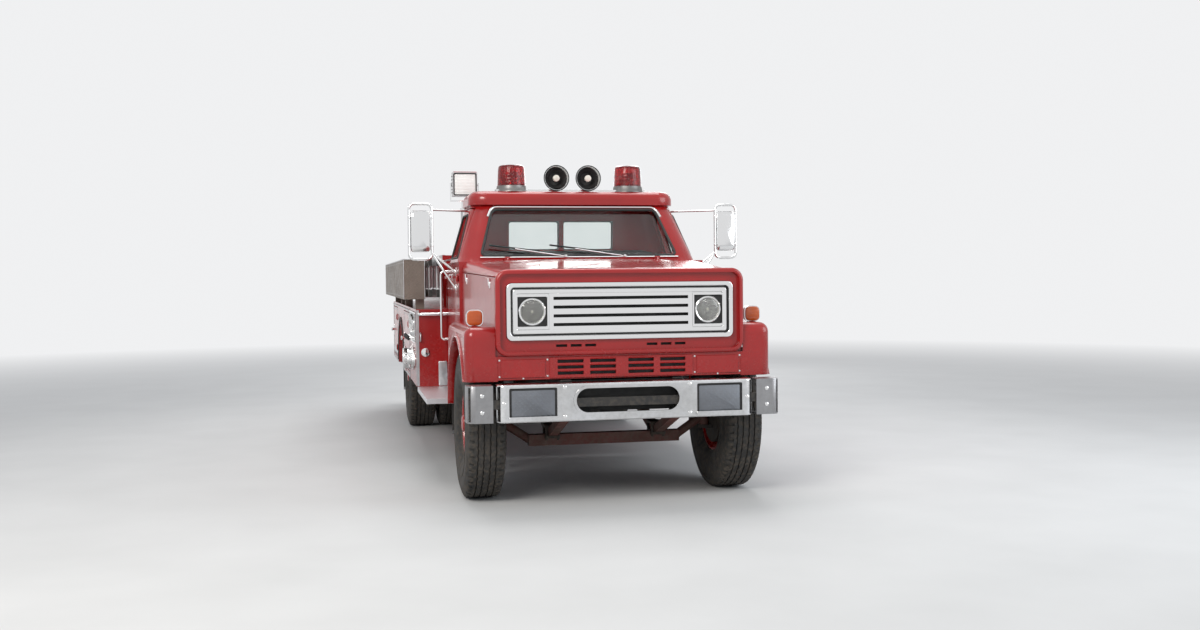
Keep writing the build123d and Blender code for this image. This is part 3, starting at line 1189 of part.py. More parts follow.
def door_tool(margin, reach, ease=0.0):
    """The volume that parts the right-hand and left-hand doors from the cab's skin."""
    with BuildPart() as tool:
        for side in SIDES:
            low, _ = handed(side, BODY_HALF + PARTING_OUT - PARTING_DEPTH, BODY_HALF + PARTING_OUT)
            with BuildSketch(Plane.YZ.offset(low)) as outline:
                with BuildLine():
                    Polyline(*[(at(s), z) for s, z in door_outline(margin, ease)], close=True)
                make_face()
            extrude(outline.sketch, amount=PARTING_DEPTH)
        block(
            (-reach, reach),
            (DOOR_STATIONS[0] - PARTING_MARGIN, DOOR_STATIONS[1] + PARTING_MARGIN),
            (DOOR_Z[0] - PARTING_MARGIN, PARTING_TOP),
            mode=Mode.SUBTRACT,
        )
    return tool.part


with BuildPart() as cab_body:
    add(cab_skin.part)
    screen_cut(Mode.SUBTRACT)
    for pane in REAR_PANES:
        block(pane, (CAB_BACK - 2.5 * CAB_GAUGE, CAB_BACK + OVERCUT), REAR_PANE_Z, mode=Mode.SUBTRACT)
    add(door_tool(-DOOR_GAP, DOOR_INSIDE - DOOR_GAP), mode=Mode.SUBTRACT)
    block(
        (-CAB_RAIL_CUT, CAB_RAIL_CUT),
        (CAB_FRONT - OVERCUT, CAB_BACK + OVERCUT),
        (CAB_BOTTOM - OVERCUT, FLOOR_UNDER),
        mode=Mode.SUBTRACT,
    )
    for side in SIDES:
        for z in DOOR_HINGES:
            pin_half(
                spot(side * (CAB_HALF + HINGE_OUT), DOOR_STATIONS[0] - DOOR_GAP / 2, z),
                (0, 0, 1),
                spot(side * (CAB_HALF - HINGE_SET), DOOR_STATIONS[0] - HINGE_ROOT, z),
            )
        pin_half(
            spot(side * HOOD_HINGE_X, *HOOD_AXIS),
            (1, 0, 0),
            spot(side * HOOD_HINGE_X, CAB_FRONT + HOOD_HINGE_ROOT, BELT - HINGE_SET),
        )
# the shell in touching panels: level bands, a ring of four under the roof, and the roof skin
whole_width = (-BODY_HALF, BODY_HALF)
whole_run = (0, PUMP_BACK)
ring_z = (SCREEN_Z[1], ROOF_SKIN)
cells = [(whole_width, whole_run, band) for band in zip(CAB_BANDS, CAB_BANDS[1:])]
cells += [
    (whole_width, (0, ROOF_RING[0]), ring_z),
    (whole_width, (ROOF_RING[1], PUMP_BACK), ring_z),
    ((-BODY_HALF, 0), ROOF_RING, ring_z),
    ((0, BODY_HALF), ROOF_RING, ring_z),
    (whole_width, whole_run, (ROOF_SKIN, OVERHEAD)),
]
cab_panels = []
for cell in cells:
    with BuildPart() as panel:
        add(cab_body.part)
        block(*cell, mode=Mode.INTERSECT)
    cab_panels.append(panel.part)
cab_feet = plates(
    *[
        (handed(side, RAIL_INNER, RAIL_OUTER), (station, station + CAB_FOOT), (RAIL_TOP, FLOOR_UNDER))
        for side in SIDES
        for station in CAB_FEET
    ]
)
save(Compound(children=[*cab_panels, *cab_feet]), "cab_shell")

with BuildPart() as screen_pane:
    greenhouse(CAB_GAUGE / 2, BELT, ROOF_RAIL)
    greenhouse(CAB_GAUGE / 2 + GLASS, BELT - OVERCUT, ROOF_RAIL + OVERCUT, mode=Mode.SUBTRACT)
    screen_cut(Mode.INTERSECT)
PANE_BACK = CAB_BACK - REAR_PANE_INSET
rear_panes = plates(*[(pane, (PANE_BACK, PANE_BACK + GLASS), REAR_PANE_Z) for pane in REAR_PANES])
save(Compound(children=[screen_pane.part, *rear_panes]), "cab_glass")

# Doors, cut from the same skin so that they close flush, with their pull handles
with BuildPart() as door:
    add(cab_skin.part)
    add(door_tool(0, DOOR_INSIDE, DOOR_EASE), mode=Mode.INTERSECT)
    block((-BODY_HALF, 0), (0, BODY_BACK), (0, OVERHEAD), mode=Mode.SUBTRACT)
    side_window(Mode.SUBTRACT)
    for z in DOOR_HINGES:
        knuckle_half(
            spot(CAB_HALF + HINGE_OUT, DOOR_STATIONS[0] - DOOR_GAP / 2, z),
            (0, 0, 1),
            spot(CAB_HALF - HINGE_SET, DOOR_STATIONS[0] + BODY_GAUGE, z),
        )
    block((CAB_HALF + HANDLE_OUT - HANDLE_GAUGE, CAB_HALF + HANDLE_OUT), HANDLE_STATIONS, HANDLE_Z)
    for station in (HANDLE_STATIONS[0], HANDLE_STATIONS[1] - HANDLE_GAUGE):
        block((CAB_HALF - OVERCUT, CAB_HALF + HANDLE_OUT), (station, station + HANDLE_GAUGE), HANDLE_Z)
save_pair(door.part, "door")
with BuildPart() as door_glass:
    greenhouse(CAB_GAUGE / 2, BELT, ROOF_RAIL)
    greenhouse(CAB_GAUGE / 2 + GLASS, BELT - OVERCUT, ROOF_RAIL + OVERCUT, mode=Mode.SUBTRACT)
    side_window(Mode.INTERSECT)
save_pair(door_glass.part, "door_glass")

# Mirrors: a closed loop of tube held by two struts and a top arm, the head inside the loop
with BuildPart() as mirror_frame:
    tube_path(
        [
            spot(MIRROR_X[0], MIRROR_STATION, MIRROR_Z[0]),
            spot(MIRROR_X[1], MIRROR_STATION, MIRROR_Z[0]),
            spot(MIRROR_X[1], MIRROR_STATION, MIRROR_Z[1]),
            spot(MIRROR_X[0], MIRROR_STATION, MIRROR_Z[1]),
        ],
        MIRROR_TUBE,
        MIRROR_BEND,
        closed=True,
    )
    strut_end = spot(MIRROR_X[0], MIRROR_STATION, MIRROR_Z[0] + MIRROR_BEND)
    for z in MIRROR_STRUTS:
        rod(spot(CAB_HALF - MIRROR_SINK, MIRROR_STATION, z), strut_end, MIRROR_STRUT)
    arm_start = spot(MIRROR_X[0], MIRROR_STATION, MIRROR_Z[1] - MIRROR_BEND)
    rod(arm_start, spot(*MIRROR_ARM_END), MIRROR_STRUT)
    block(
        MIRROR_X,
        (MIRROR_STATION - MIRROR_HEAD_DEPTH[0], MIRROR_STATION + MIRROR_HEAD_DEPTH[1]),
        MIRROR_HEAD_Z,
    )
    cab_volume(0, CAB_BOTTOM, mode=Mode.SUBTRACT)
save_pair(mirror_frame.part, "mirror")

# Dashboard with its binnacle, steering column and wheel
with BuildPart() as dashboard:
    block((-DASH_HALF, DASH_HALF), (CAB_FRONT + CAB_GAUGE, DASH_BACK), DASH_Z)
    block((COLUMN_X - BINNACLE_HALF, COLUMN_X + BINNACLE_HALF), BINNACLE_STATIONS, BINNACLE_Z)
    wheel_centre = Vector(*spot(COLUMN_X, STEER_STATION, STEER_Z))
    axis = Vector(0, math.cos(math.radians(COLUMN_TILT)), math.sin(math.radians(COLUMN_TILT)))
    block((COLUMN_X - COLUMN_BRACKET[0], COLUMN_X + COLUMN_BRACKET[0]), *COLUMN_BRACKET[1:])
    rod(tuple(wheel_centre - axis * COLUMN_LENGTH), tuple(wheel_centre + axis * STEER_BOSS), COLUMN_RADIUS)
    with BuildSketch(Plane(origin=wheel_centre, z_dir=axis)):
        Circle(STEER_RADIUS)
        Circle(STEER_RADIUS - STEER_RIM, mode=Mode.SUBTRACT)
        for turn in STEER_SPOKES:
            with Locations(Rot(0, 0, turn)):
                with Locations((STEER_RADIUS / 2 - 8, 0)):
                    Rectangle(STEER_RADIUS - STEER_RIM / 2, STEER_SPOKE_WIDTH)
    extrude(amount=STEER_GAUGE)
save(dashboard.part, "dashboard")

with BuildPart() as bench_seat:
    block((-SEAT_HALF, SEAT_HALF), CUSHION_STATIONS, CUSHION_Z)
    fillet(bench_seat.edges().filter_by(Axis.X).group_by(Axis.Y)[0], CUSHION_ROUND)
    block((-SEAT_HALF, SEAT_HALF), BACKREST_STATIONS, BACKREST_Z)
    fillet(bench_seat.edges().filter_by(Axis.X).group_by(Axis.Z)[-1], BACKREST_ROUND)
    block(
        (-SEAT_HALF + SEAT_BASE_INSET, SEAT_HALF - SEAT_BASE_INSET),
        (SEAT_BASE_FRONT, CUSHION_STATIONS[1]),
        (FLOOR_TOP, CUSHION_Z[0] + OVERCUT),
    )
save(bench_seat.part, "bench_seat")

# Grille: two chrome rings, one in the other, round square lamp wells and a slotted middle
with BuildPart() as grille:
    with BuildSketch(cross_plane(GRILLE_FACE + GRILLE_BACKING)):
        grille_outline(2, GRILLE_CORNER)
    extrude(amount=GRILLE_BACKING)
    for inset, depth in RING_ROWS:
        with BuildSketch(cross_plane(GRILLE_FACE + OVERCUT)):
            grille_outline(inset, GRILLE_CORNER - inset / 2)
            grille_outline(inset + RING, GRILLE_CORNER - inset / 2 - RING_GUTTER, mode=Mode.SUBTRACT)
        extrude(amount=depth)
    ring_faces = grille.faces().filter_by(Axis.Y).group_by(Axis.Y)[:2]
    fillet([edge for group in ring_faces for face in group for edge in face.edges()], RING_EASE)
    with BuildSketch(cross_plane(GRILLE_FACE + OVERCUT)):
        with Locations((0, LAMP_Z)):
            Rectangle(2 * (BAR_HALF + BAR_POST), GRILLE_HEIGHT - 4 * RING - 2 * RING_GAP + 8)
    extrude(amount=BAR_DEPTH)
    for z in SLOTS_Z:
        block(
            (-BAR_HALF, BAR_HALF),
            (GRILLE_FACE - 2 * BAR_DEPTH, GRILLE_FACE + 2 * BAR_DEPTH),
            (z - BAR_SLOT / 2, z + BAR_SLOT / 2),
            mode=Mode.SUBTRACT,
        )
    for side in SIDES:
        with BuildSketch(cross_plane(GRILLE_FACE + OVERCUT)):
            with Locations((side * LAMP_X, LAMP_Z)):
                Rectangle(LAMP_WELL + 2 * LAMP_WELL_WALL, LAMP_WELL + 2 * LAMP_WELL_WALL)
                Rectangle(LAMP_WELL, LAMP_WELL, mode=Mode.SUBTRACT)
        extrude(amount=LAMP_WELL_DEPTH)
        with BuildSketch(cross_plane(GRILLE_FACE + 2 * BAR_DEPTH)):
            with Locations((side * LAMP_X, LAMP_Z)):
                Circle(LAMP_R)
        extrude(amount=3 * BAR_DEPTH, mode=Mode.SUBTRACT)
save(grille.part, "grille")

# Lamps: sealed headlamps, square turn signals, roof markers and red tail lamps
with BuildPart() as lamps:
    for side in SIDES:
        with BuildSketch(cross_plane(GRILLE_FACE + GRILLE_BACKING)):
            with Locations((side * LAMP_X, LAMP_Z)):
                Circle(LAMP_R - OVERCUT)
        extrude(amount=LAMP_DEPTH, taper=LAMP_TAPER)
        with BuildSketch(cross_plane(SIGNAL_STATION + SIGNAL_DEPTH / 2)):
            with Locations((side * SIGNAL_X, SIGNAL_Z)):
                RectangleRounded(SIGNAL_WIDTH, SIGNAL_HEIGHT, SIGNAL_CORNER)
        extrude(amount=SIGNAL_DEPTH)
        rod(
            spot(side * SIGNAL_X, SIGNAL_STATION, FENDER_TOP),
            spot(side * SIGNAL_X, SIGNAL_STATION, SIGNAL_Z),
            SIGNAL_FOOT,
        )
        for z in TAIL_LAMPS_Z:
            rod(
                spot(side * TAIL_LAMP_X, BODY_BACK, z),
                spot(side * TAIL_LAMP_X, BODY_BACK + TAIL_LAMP_DEPTH, z),
                TAIL_LAMP_R,
            )
    for x in MARKERS_X:
        block((x - MARKER_HALF, x + MARKER_HALF), MARKER_STATIONS, MARKER_Z)
    add(cab_skin.part, mode=Mode.SUBTRACT)
save(lamps.part, "lamps")

# Roof bar with two siren horns between the flared bases of the beacons
with BuildPart() as roof_bar:
    block(
        (-BAR_REACH, BAR_REACH),
        (BAR_STATION - BAR_WIDTH, BAR_STATION + BAR_WIDTH),
        (BAR_Z, BAR_Z + BAR_GAUGE),
    )
    for side in SIDES:
        for front, back, mouth_r, throat_r, mode in (
            (HORN_MOUTH, -HORN_NECK, HORN_R, HORN_THROAT, Mode.ADD),
            (HORN_MOUTH + OVERCUT, 2 * HORN_NECK, HORN_R - HORN_WALL, HORN_THROAT + 6, Mode.SUBTRACT),
        ):
            with BuildSketch(cross_plane(BAR_STATION - front)) as mouth:
                with Locations((side * HORN_X, HORN_HEIGHT)):
                    Circle(mouth_r)
            with BuildSketch(cross_plane(BAR_STATION - back)) as throat:
                with Locations((side * HORN_X, HORN_HEIGHT)):
                    Circle(throat_r)
            loft([mouth.sketch.face(), throat.sketch.face()], mode=mode)
        rod(
            spot(side * HORN_X, BAR_STATION + HORN_NECK - OVERCUT, HORN_HEIGHT),
            spot(side * HORN_X, BAR_STATION + HORN_END, HORN_HEIGHT),
            HORN_THROAT,
        )
        rod(
            spot(side * HORN_X, BAR_STATION - HORN_MOUTH + HORN_NECK, HORN_HEIGHT),
            spot(side * HORN_X, BAR_STATION, HORN_HEIGHT),
            HORN_PLUG,
        )
        rod(
            spot(side * HORN_X, BAR_STATION + HORN_STALK_BACK, BAR_Z + BAR_GAUGE / 2),
            spot(side * HORN_X, BAR_STATION + HORN_STALK_BACK, HORN_HEIGHT - HORN_SADDLE),
            HORN_STALK,
        )
        with Locations(spot(side * BEACON_X, BAR_STATION, BAR_Z + BEACON_BASE_HEIGHT / 2)):
            Cone(*BEACON_BASE, BEACON_BASE_HEIGHT)
save(roof_bar.part, "roof_bar")
with BuildPart() as beacon:
    with BuildSketch(Plane.XY.offset(BAR_Z + BEACON_BASE_HEIGHT)):
        with Locations((BEACON_X, at(BAR_STATION))):
            Circle(BEACON_RADIUS)
    extrude(amount=BEACON_HEIGHT, taper=BEACON_TAPER)
    fillet(beacon.faces().sort_by(Axis.Z)[-1].edges(), BEACON_ROUND)
save(Compound(children=[beacon.part, mirror(beacon.part, about=Plane.YZ)]), "beacons")

# Running boards on brackets from the rails, and the tailboard
board_rows = []
for side in SIDES:
    run = (CAB_FRONT, PUMP_FRONT)
    board_rows.append((handed(side, BOARD_INNER, BOARD_HALF), run, (BOARD_TOP - BOARD_GAUGE, BOARD_TOP)))
    riser = handed(side, BOARD_INNER, BOARD_INNER + BOARD_RISER)
    board_rows.append((riser, run, (BOARD_TOP, CAB_BOTTOM)))
    arm = handed(side, RAIL_OUTER, BOARD_INNER)
    for station in BOARD_BRACKETS:
        board_rows.append((arm, (station, station + BRACKET_WIDTH), BRACKET_Z))
save(Compound(children=plates(*board_rows)), "running_boards")
tail_rows = [((-TAIL_HALF, TAIL_HALF), (BODY_BACK, BODY_BACK + TAILBOARD_DEPTH), TAIL_Z)]
for side in SIDES:
    tail_rows.append((handed(side, RAIL_INNER, RAIL_OUTER), TAIL_ARMS, (TAIL_Z[1], RAIL_BOTTOM)))
save(Compound(children=plates(*tail_rows)), "tailboard")

# Pump house: skins and end walls round the pump casing, with open crosslay trays above
pump_run = (PUMP_FRONT, PUMP_BACK)
skin_z = (SILL, UNDERDECK)
pump_rows = [
    ((-BODY_HALF, BODY_HALF), pump_run, (UNDERDECK, DECK)),
    ((-RAIL_OUTER, RAIL_OUTER), CASING_STATIONS, (RAIL_TOP, CASING_TOP)),
]
for side in SIDES:
    pump_rows.append((handed(side, SKIN, BODY_HALF), pump_run, skin_z))
for wall in ((PUMP_FRONT, PUMP_FRONT + BODY_GAUGE), (PUMP_BACK - BODY_GAUGE, PUMP_BACK)):
    pump_rows.append(((-RAIL_NOTCH, RAIL_NOTCH), wall, (RAIL_TOP, UNDERDECK)))
    for side in SIDES:
        pump_rows.append((handed(side, RAIL_NOTCH, SKIN), wall, skin_z))
for i in range(3):
    start = CROSSLAY_FRONT + i * (CROSSLAY_TRAY + BODY_GAUGE)
    pump_rows.append(((-BED_HALF, BED_HALF), (start, start + BODY_GAUGE), (DECK, CROSSLAY_TOP)))
with BuildPart() as suction_tubes:
    for side in SIDES:
        rod(
            spot(side * RAIL_OUTER, SUCTION_STATION, SUCTION_Z),
            spot(side * SKIN, SUCTION_STATION, SUCTION_Z),
            SUCTION_BORE,
        )
save(Compound(children=[*plates(*pump_rows), suction_tubes.part]), "pump_house")

# Pump fittings: capped inlets and outlets, panels with gauges and valve pulls, rails ahead of the house
fitting_solids = []
for side in SIDES:
    skin = side * BODY_HALF
    for station, radius, reach in FITTINGS:
        with BuildPart() as stub:
            rod(spot(skin, station, FITTING_Z), spot(skin + side * reach, station, FITTING_Z), radius)
            rod(
                spot(skin, station, FITTING_Z),
                spot(skin + side * FLANGE_GAUGE, station, FITTING_Z),
                radius + FLANGE_LIP,
            )
        fitting_solids.append(stub.part)
    with BuildPart() as panel:
        block(handed(side, BODY_HALF, BODY_HALF + PANEL_GAUGE), PANEL_STATIONS, PANEL_Z)
        for station, radius in GAUGES:
            rod(spot(skin, station, GAUGE_Z), spot(skin + side * GAUGE_REACH, station, GAUGE_Z), radius)
        for i in range(PULLS):
            station = PULLS_START + PULL_PITCH * i
            rod(spot(skin, station, PULL_Z), spot(skin + side * PULL_REACH, station, PULL_Z), PULL_RADIUS)
    with BuildPart() as rail:
        near, far = PUMP_FRONT, PUMP_FRONT - PUMP_RAIL_OUT
        inner, outer = PUMP_RAIL_X
        corners = ((inner, near), (inner, far), (outer, far), (outer, near))
        tube_path([spot(side * x, s, PUMP_RAIL_Z) for x, s in corners], HANDRAIL_RADIUS, HANDRAIL_BEND)
    fitting_solids += [panel.part, rail.part]
save(Compound(children=fitting_solids), "pump_fittings")

# Hose body: deck, bed walls, divider and rear wall on bearers over the rails, with two rear handrails
body_run = (BODY_FRONT, BODY_BACK)
wall_z = (DECK, BED_TOP)
bed_rows = [
    ((-BODY_HALF, BODY_HALF), body_run, (UNDERDECK, DECK)),
    ((BODY_GAUGE - BED_HALF, BED_HALF - BODY_GAUGE), (BODY_FRONT, BODY_FRONT + BODY_GAUGE), wall_z),
    (
        (-DIVIDER_HALF, DIVIDER_HALF),
        (BODY_FRONT + DIVIDER_SET_BACK, BODY_BACK),
        (DECK, BED_TOP - DIVIDER_DROP),
    ),
    ((-POD_INNER, POD_INNER), (BODY_BACK - BODY_GAUGE, BODY_BACK), (REAR_WALL_BOTTOM, UNDERDECK)),
]
bed_rows += [(handed(side, BED_HALF - BODY_GAUGE, BED_HALF), body_run, wall_z) for side in SIDES]
for station in BEARERS:
    bearer_run = (station, station + BEARER_WIDTH)
    bed_rows.append(((-POD_INNER, POD_INNER), bearer_run, (BEARER_BOTTOM, UNDERDECK)))
    for side in SIDES:
        bed_rows.append((handed(side, RAIL_INNER, RAIL_OUTER), bearer_run, (RAIL_TOP, BEARER_BOTTOM)))
with BuildPart() as handrails:
    near, far = BODY_BACK, BODY_BACK + HANDRAIL_OUT
    for side in SIDES:
        low, high = HANDRAIL_Z
        corners = ((near, low), (far, low), (far, high), (near, high))
        tube_path([spot(side * HANDRAIL_X, s, z) for s, z in corners], HANDRAIL_RADIUS, HANDRAIL_BEND)
save(Compound(children=[*plates(*bed_rows), handrails.part]), "hose_body")

# Locker pods under the deck: two open-sided lockers and the wheel arch between them
pod_solids = []
for start, stop in LOCKERS:
    run = (start, stop)
    inside_z = (SILL + BODY_GAUGE, UNDERDECK)
    pod_solids += plates(
        ((POD_INNER, SKIN), run, (SILL, SILL + BODY_GAUGE)),
        ((POD_INNER, LOCKER_INNER), run, inside_z),
        ((LOCKER_INNER, SKIN), (start, start + BODY_GAUGE), inside_z),
        ((LOCKER_INNER, SKIN), (stop - BODY_GAUGE, stop), inside_z),
    )
    opening = (start + LOCKER_EDGE, stop - LOCKER_EDGE)
    pod_solids += plates(
        ((SKIN, BODY_HALF), run, (SILL, LOCKER_Z[0])),
        ((SKIN, BODY_HALF), run, (LOCKER_Z[1], UNDERDECK)),
        ((SKIN, BODY_HALF), (opening[1], stop), LOCKER_Z),
    )
    with BuildPart() as hinge_post:
        block((SKIN, BODY_HALF), (start, opening[0]), LOCKER_Z)
        for z in LOCKER_HINGES:
            pin_half(
                spot(BODY_HALF + HINGE_OUT, opening[0] + DOOR_GAP / 2, z),
                (0, 0, 1),
                spot(BODY_HALF - HINGE_SET, opening[0] - LOCKER_HINGE_ROOT, z),
            )
    pod_solids.append(hinge_post.part)
with BuildPart() as arch:
    block((SKIN, BODY_HALF), ARCH_STATIONS, skin_z)
    rod(spot(POD_INNER, WHEELBASE, AXLE_Z), spot(BODY_HALF, WHEELBASE, AXLE_Z), REAR_ARCH + BODY_GAUGE)
    block((POD_INNER, BODY_HALF), ARCH_STATIONS, skin_z, mode=Mode.INTERSECT)
    rod(
        spot(POD_INNER - OVERCUT, WHEELBASE, AXLE_Z),
        spot(BODY_HALF + OVERCUT, WHEELBASE, AXLE_Z),
        REAR_ARCH,
        mode=Mode.SUBTRACT,
    )
pod_solids.append(arch.part)
save_pair(Compound(children=pod_solids), "locker_pod")


def locker_door(start, stop):
    """A flush locker door with its knuckles and latch knob, hinged at its front edge."""
    edge = start + LOCKER_EDGE
    with BuildPart() as leaf:
        block(
            (BODY_HALF - LOCKER_DOOR_GAUGE, BODY_HALF),
            (edge + DOOR_GAP, stop - LOCKER_EDGE - DOOR_GAP),
            (LOCKER_Z[0] + DOOR_GAP, LOCKER_Z[1] - DOOR_GAP),
        )
        for z in LOCKER_HINGES:
            knuckle_half(
                spot(BODY_HALF + HINGE_OUT, edge + DOOR_GAP / 2, z),
                (0, 0, 1),
                spot(BODY_HALF - HINGE_SET, edge + KNUCKLE_ROOT, z),
            )
        rod(
            spot(BODY_HALF, stop - KNOB_INSET, KNOB_Z),
            spot(BODY_HALF + KNOB_REACH, stop - KNOB_INSET, KNOB_Z),
            KNOB_RADIUS,
        )
    return leaf.part


save_pair(locker_door(*LOCKERS[0]), "front_locker_door")
save_pair(locker_door(*LOCKERS[1]), "rear_locker_door")

# Two ladders hung on edge along the right side on three brackets
ladder_solids = []
for inner in (LADDER_INNER, LADDER_INNER + LADDER_PITCH):
    x = (-inner - LADDER_GAUGE, -inner)
    with BuildPart() as ladder:
        for low in (LADDER_Z[0], LADDER_Z[1] - LADDER_BEAM):
            block(x, LADDER_STATIONS, (low, low + LADDER_BEAM))
        for i in range(RUNGS):
            station = RUNG_FIRST + RUNG_PITCH * i
            rod(
                spot(sum(x) / 2, station, LADDER_Z[0] + LADDER_BEAM - RUNG_SINK),
                spot(sum(x) / 2, station, LADDER_Z[1] - LADDER_BEAM + RUNG_SINK),
                RUNG_RADIUS,
            )
    ladder_solids.append(ladder.part)
bracket_x = (-LADDER_INNER - LADDER_PITCH - LADDER_GAUGE, -BED_HALF)
bracket_z = (LADDER_Z[0] - LADDER_BRACKET[1], LADDER_Z[0])
ladder_solids += plates(
    *[
        (bracket_x, (station, station + LADDER_BRACKET[0]), bracket_z)
        for station in LADDER_BRACKETS
    ]
)
save(Compound(children=ladder_solids), "ladders")

# Hard suction hose with its couplings, in three cradles on the left
with BuildPart() as suction_hose:
    hose_z = DECK + HOSE_LIFT + HOSE_RADIUS
    rod(spot(HOSE_X, HOSE_STATIONS[0], hose_z), spot(HOSE_X, HOSE_STATIONS[1], hose_z), HOSE_RADIUS)
    for station in (HOSE_STATIONS[0], HOSE_STATIONS[1] - COUPLING_LENGTH):
        rod(
            spot(HOSE_X, station, hose_z),
            spot(HOSE_X, station + COUPLING_LENGTH, hose_z),
            HOSE_RADIUS + COUPLING_LIP,
        )
    for station in CRADLES:
        block(
            (HOSE_X - CRADLE_HALF, HOSE_X + CRADLE_HALF),
            (station, station + CRADLE_WIDTH),
            (DECK, DECK + CRADLE_HEIGHT),
        )
save(suction_hose.part, "suction_hose")

# Tread-plate trough outboard of the ladders, open at the top, on four brackets
with BuildPart() as trough:
    block(TROUGH_X, TROUGH_STATIONS, TROUGH_Z)
    block(
        (TROUGH_X[0] + TROUGH_GAUGE, TROUGH_X[1] - TROUGH_GAUGE),
        (TROUGH_STATIONS[0] + TROUGH_GAUGE, TROUGH_STATIONS[1] - TROUGH_GAUGE),
        (TROUGH_Z[0] + TROUGH_GAUGE, TROUGH_Z[1] + OVERCUT),
        mode=Mode.SUBTRACT,
    )
trough_brackets = plates(
    *[
        (TROUGH_BRACKET_X, (station, station + TROUGH_BRACKET_WIDTH), (DECK, TROUGH_Z[0]))
        for station in TROUGH_BRACKETS
    ]
)
save(Compound(children=[trough.part, *trough_brackets]), "side_trough")

# Floodlight mast on the right of the pump house: outer tube, sliding inner tube, tilting lamp head
with BuildPart() as mast_outer:
    block(
        (MAST_X - MAST_FOOT[0], MAST_X + MAST_FOOT[0]),
        (MAST_STATION - MAST_FOOT[1], MAST_STATION + MAST_FOOT[1]),
        (DECK, DECK + MAST_FOOT_GAUGE),
    )
    rod(spot(MAST_X, MAST_STATION, DECK), spot(MAST_X, MAST_STATION, MAST_TOP), MAST_OUTER)
    rod(
        spot(MAST_X, MAST_STATION, DECK + MAST_SEAT),
        spot(MAST_X, MAST_STATION, MAST_TOP + OVERCUT),
        MAST_BORE,
        mode=Mode.SUBTRACT,
    )
    block(
        (MAST_X - MAST_STAY_HALF, MAST_X + MAST_STAY_HALF),
        (MAST_STATION + MAST_OUTER - MAST_STAY_SINK, CROSSLAY_FRONT),
        MAST_STAY_Z,
    )
save(mast_outer.part, "mast_outer")
with BuildPart() as mast_inner:
    yoke_z = (MAST_HIGH - YOKE_BASE[0], MAST_HIGH - YOKE_BASE[1])
    yoke_run = (MAST_STATION - YOKE_DEPTH, MAST_STATION + YOKE_DEPTH)
    rod(spot(MAST_X, MAST_STATION, MAST_LOW), spot(MAST_X, MAST_STATION, yoke_z[0] + 2), MAST_INNER)
    block((MAST_X - YOKE_HALF, MAST_X + YOKE_HALF), yoke_run, yoke_z)
    for side in SIDES:
        arm_x = sorted((MAST_X + side * (YOKE_HALF - YOKE_GAUGE), MAST_X + side * YOKE_HALF))
        block(arm_x, yoke_run, (yoke_z[0], HEAD_AXIS_Z + YOKE_DEPTH))
        rod(
            spot(MAST_X + side * YOKE_HALF, MAST_STATION, HEAD_AXIS_Z),
            spot(MAST_X + side * (HEAD_HALF - TRUNNION_DEPTH), MAST_STATION, HEAD_AXIS_Z),
            TRUNNION,
        )
save(mast_inner.part, "mast_inner")
with BuildPart() as floodlight:
    front = MAST_STATION - HEAD_DEPTH[0]
    block(
        (MAST_X - HEAD_HALF, MAST_X + HEAD_HALF),
        (front, MAST_STATION + HEAD_DEPTH[1]),
        (HEAD_AXIS_Z - HEAD_HEIGHT[0], HEAD_AXIS_Z + HEAD_HEIGHT[1]),
    )
    block(
        (MAST_X - HEAD_HALF + HEAD_RIM, MAST_X + HEAD_HALF - HEAD_RIM),
        (front - OVERCUT, front + HEAD_LENS_DEPTH),
        (HEAD_AXIS_Z - HEAD_HEIGHT[0] + HEAD_RIM, HEAD_AXIS_Z + HEAD_HEIGHT[1] - HEAD_RIM),
        mode=Mode.SUBTRACT,
    )
    for side in SIDES:
        rod(
            spot(MAST_X + side * (HEAD_HALF + OVERCUT), MAST_STATION, HEAD_AXIS_Z),
            spot(MAST_X + side * (HEAD_HALF - TRUNNION_DEPTH - OVERCUT), MAST_STATION, HEAD_AXIS_Z),
            TRUNNION + RUNNING,
            mode=Mode.SUBTRACT,
        )
save(floodlight.part, "floodlight")
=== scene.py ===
"""Looks of a conventional-cab fire pumper: finishes, wheels, lamps, trim and seat.

Metres, +Z up. The truck faces -Y and its driver sits at +X. Stations are
millimetres behind the front axle; y_at() turns one into a Y.
"""

import logging
import math
from dataclasses import dataclass, field
from enum import Enum
from itertools import product

import bmesh
import bpy
from bpy.types import Material, Node, NodeSocket, Object
from mathutils import Matrix, Vector


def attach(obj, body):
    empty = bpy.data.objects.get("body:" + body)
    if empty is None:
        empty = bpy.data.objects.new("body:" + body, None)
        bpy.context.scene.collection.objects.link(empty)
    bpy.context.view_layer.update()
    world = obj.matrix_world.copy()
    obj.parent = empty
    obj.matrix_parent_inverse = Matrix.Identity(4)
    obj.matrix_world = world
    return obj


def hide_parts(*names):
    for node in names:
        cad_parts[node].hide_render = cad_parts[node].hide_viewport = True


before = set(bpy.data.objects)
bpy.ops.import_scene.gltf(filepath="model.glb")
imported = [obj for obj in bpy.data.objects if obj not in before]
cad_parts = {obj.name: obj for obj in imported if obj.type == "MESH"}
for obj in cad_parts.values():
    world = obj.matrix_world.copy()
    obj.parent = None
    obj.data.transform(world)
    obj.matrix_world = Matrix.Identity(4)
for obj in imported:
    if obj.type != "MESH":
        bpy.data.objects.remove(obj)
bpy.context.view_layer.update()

Point = tuple[float, float, float]
Flat = tuple[float, float]
Colour = tuple[float, float, float]
Row = tuple[float, ...]
Flats = tuple[Flat, ...]

FRONT_AXLE_Y = -2.88
AXLE_Z = 0.5275
WHEELBASE = 4450.0
SIDES = (-1, 1)
AHEAD, ASTERN, UP = (0, -1, 0), (0, 1, 0), (0, 0, 1)

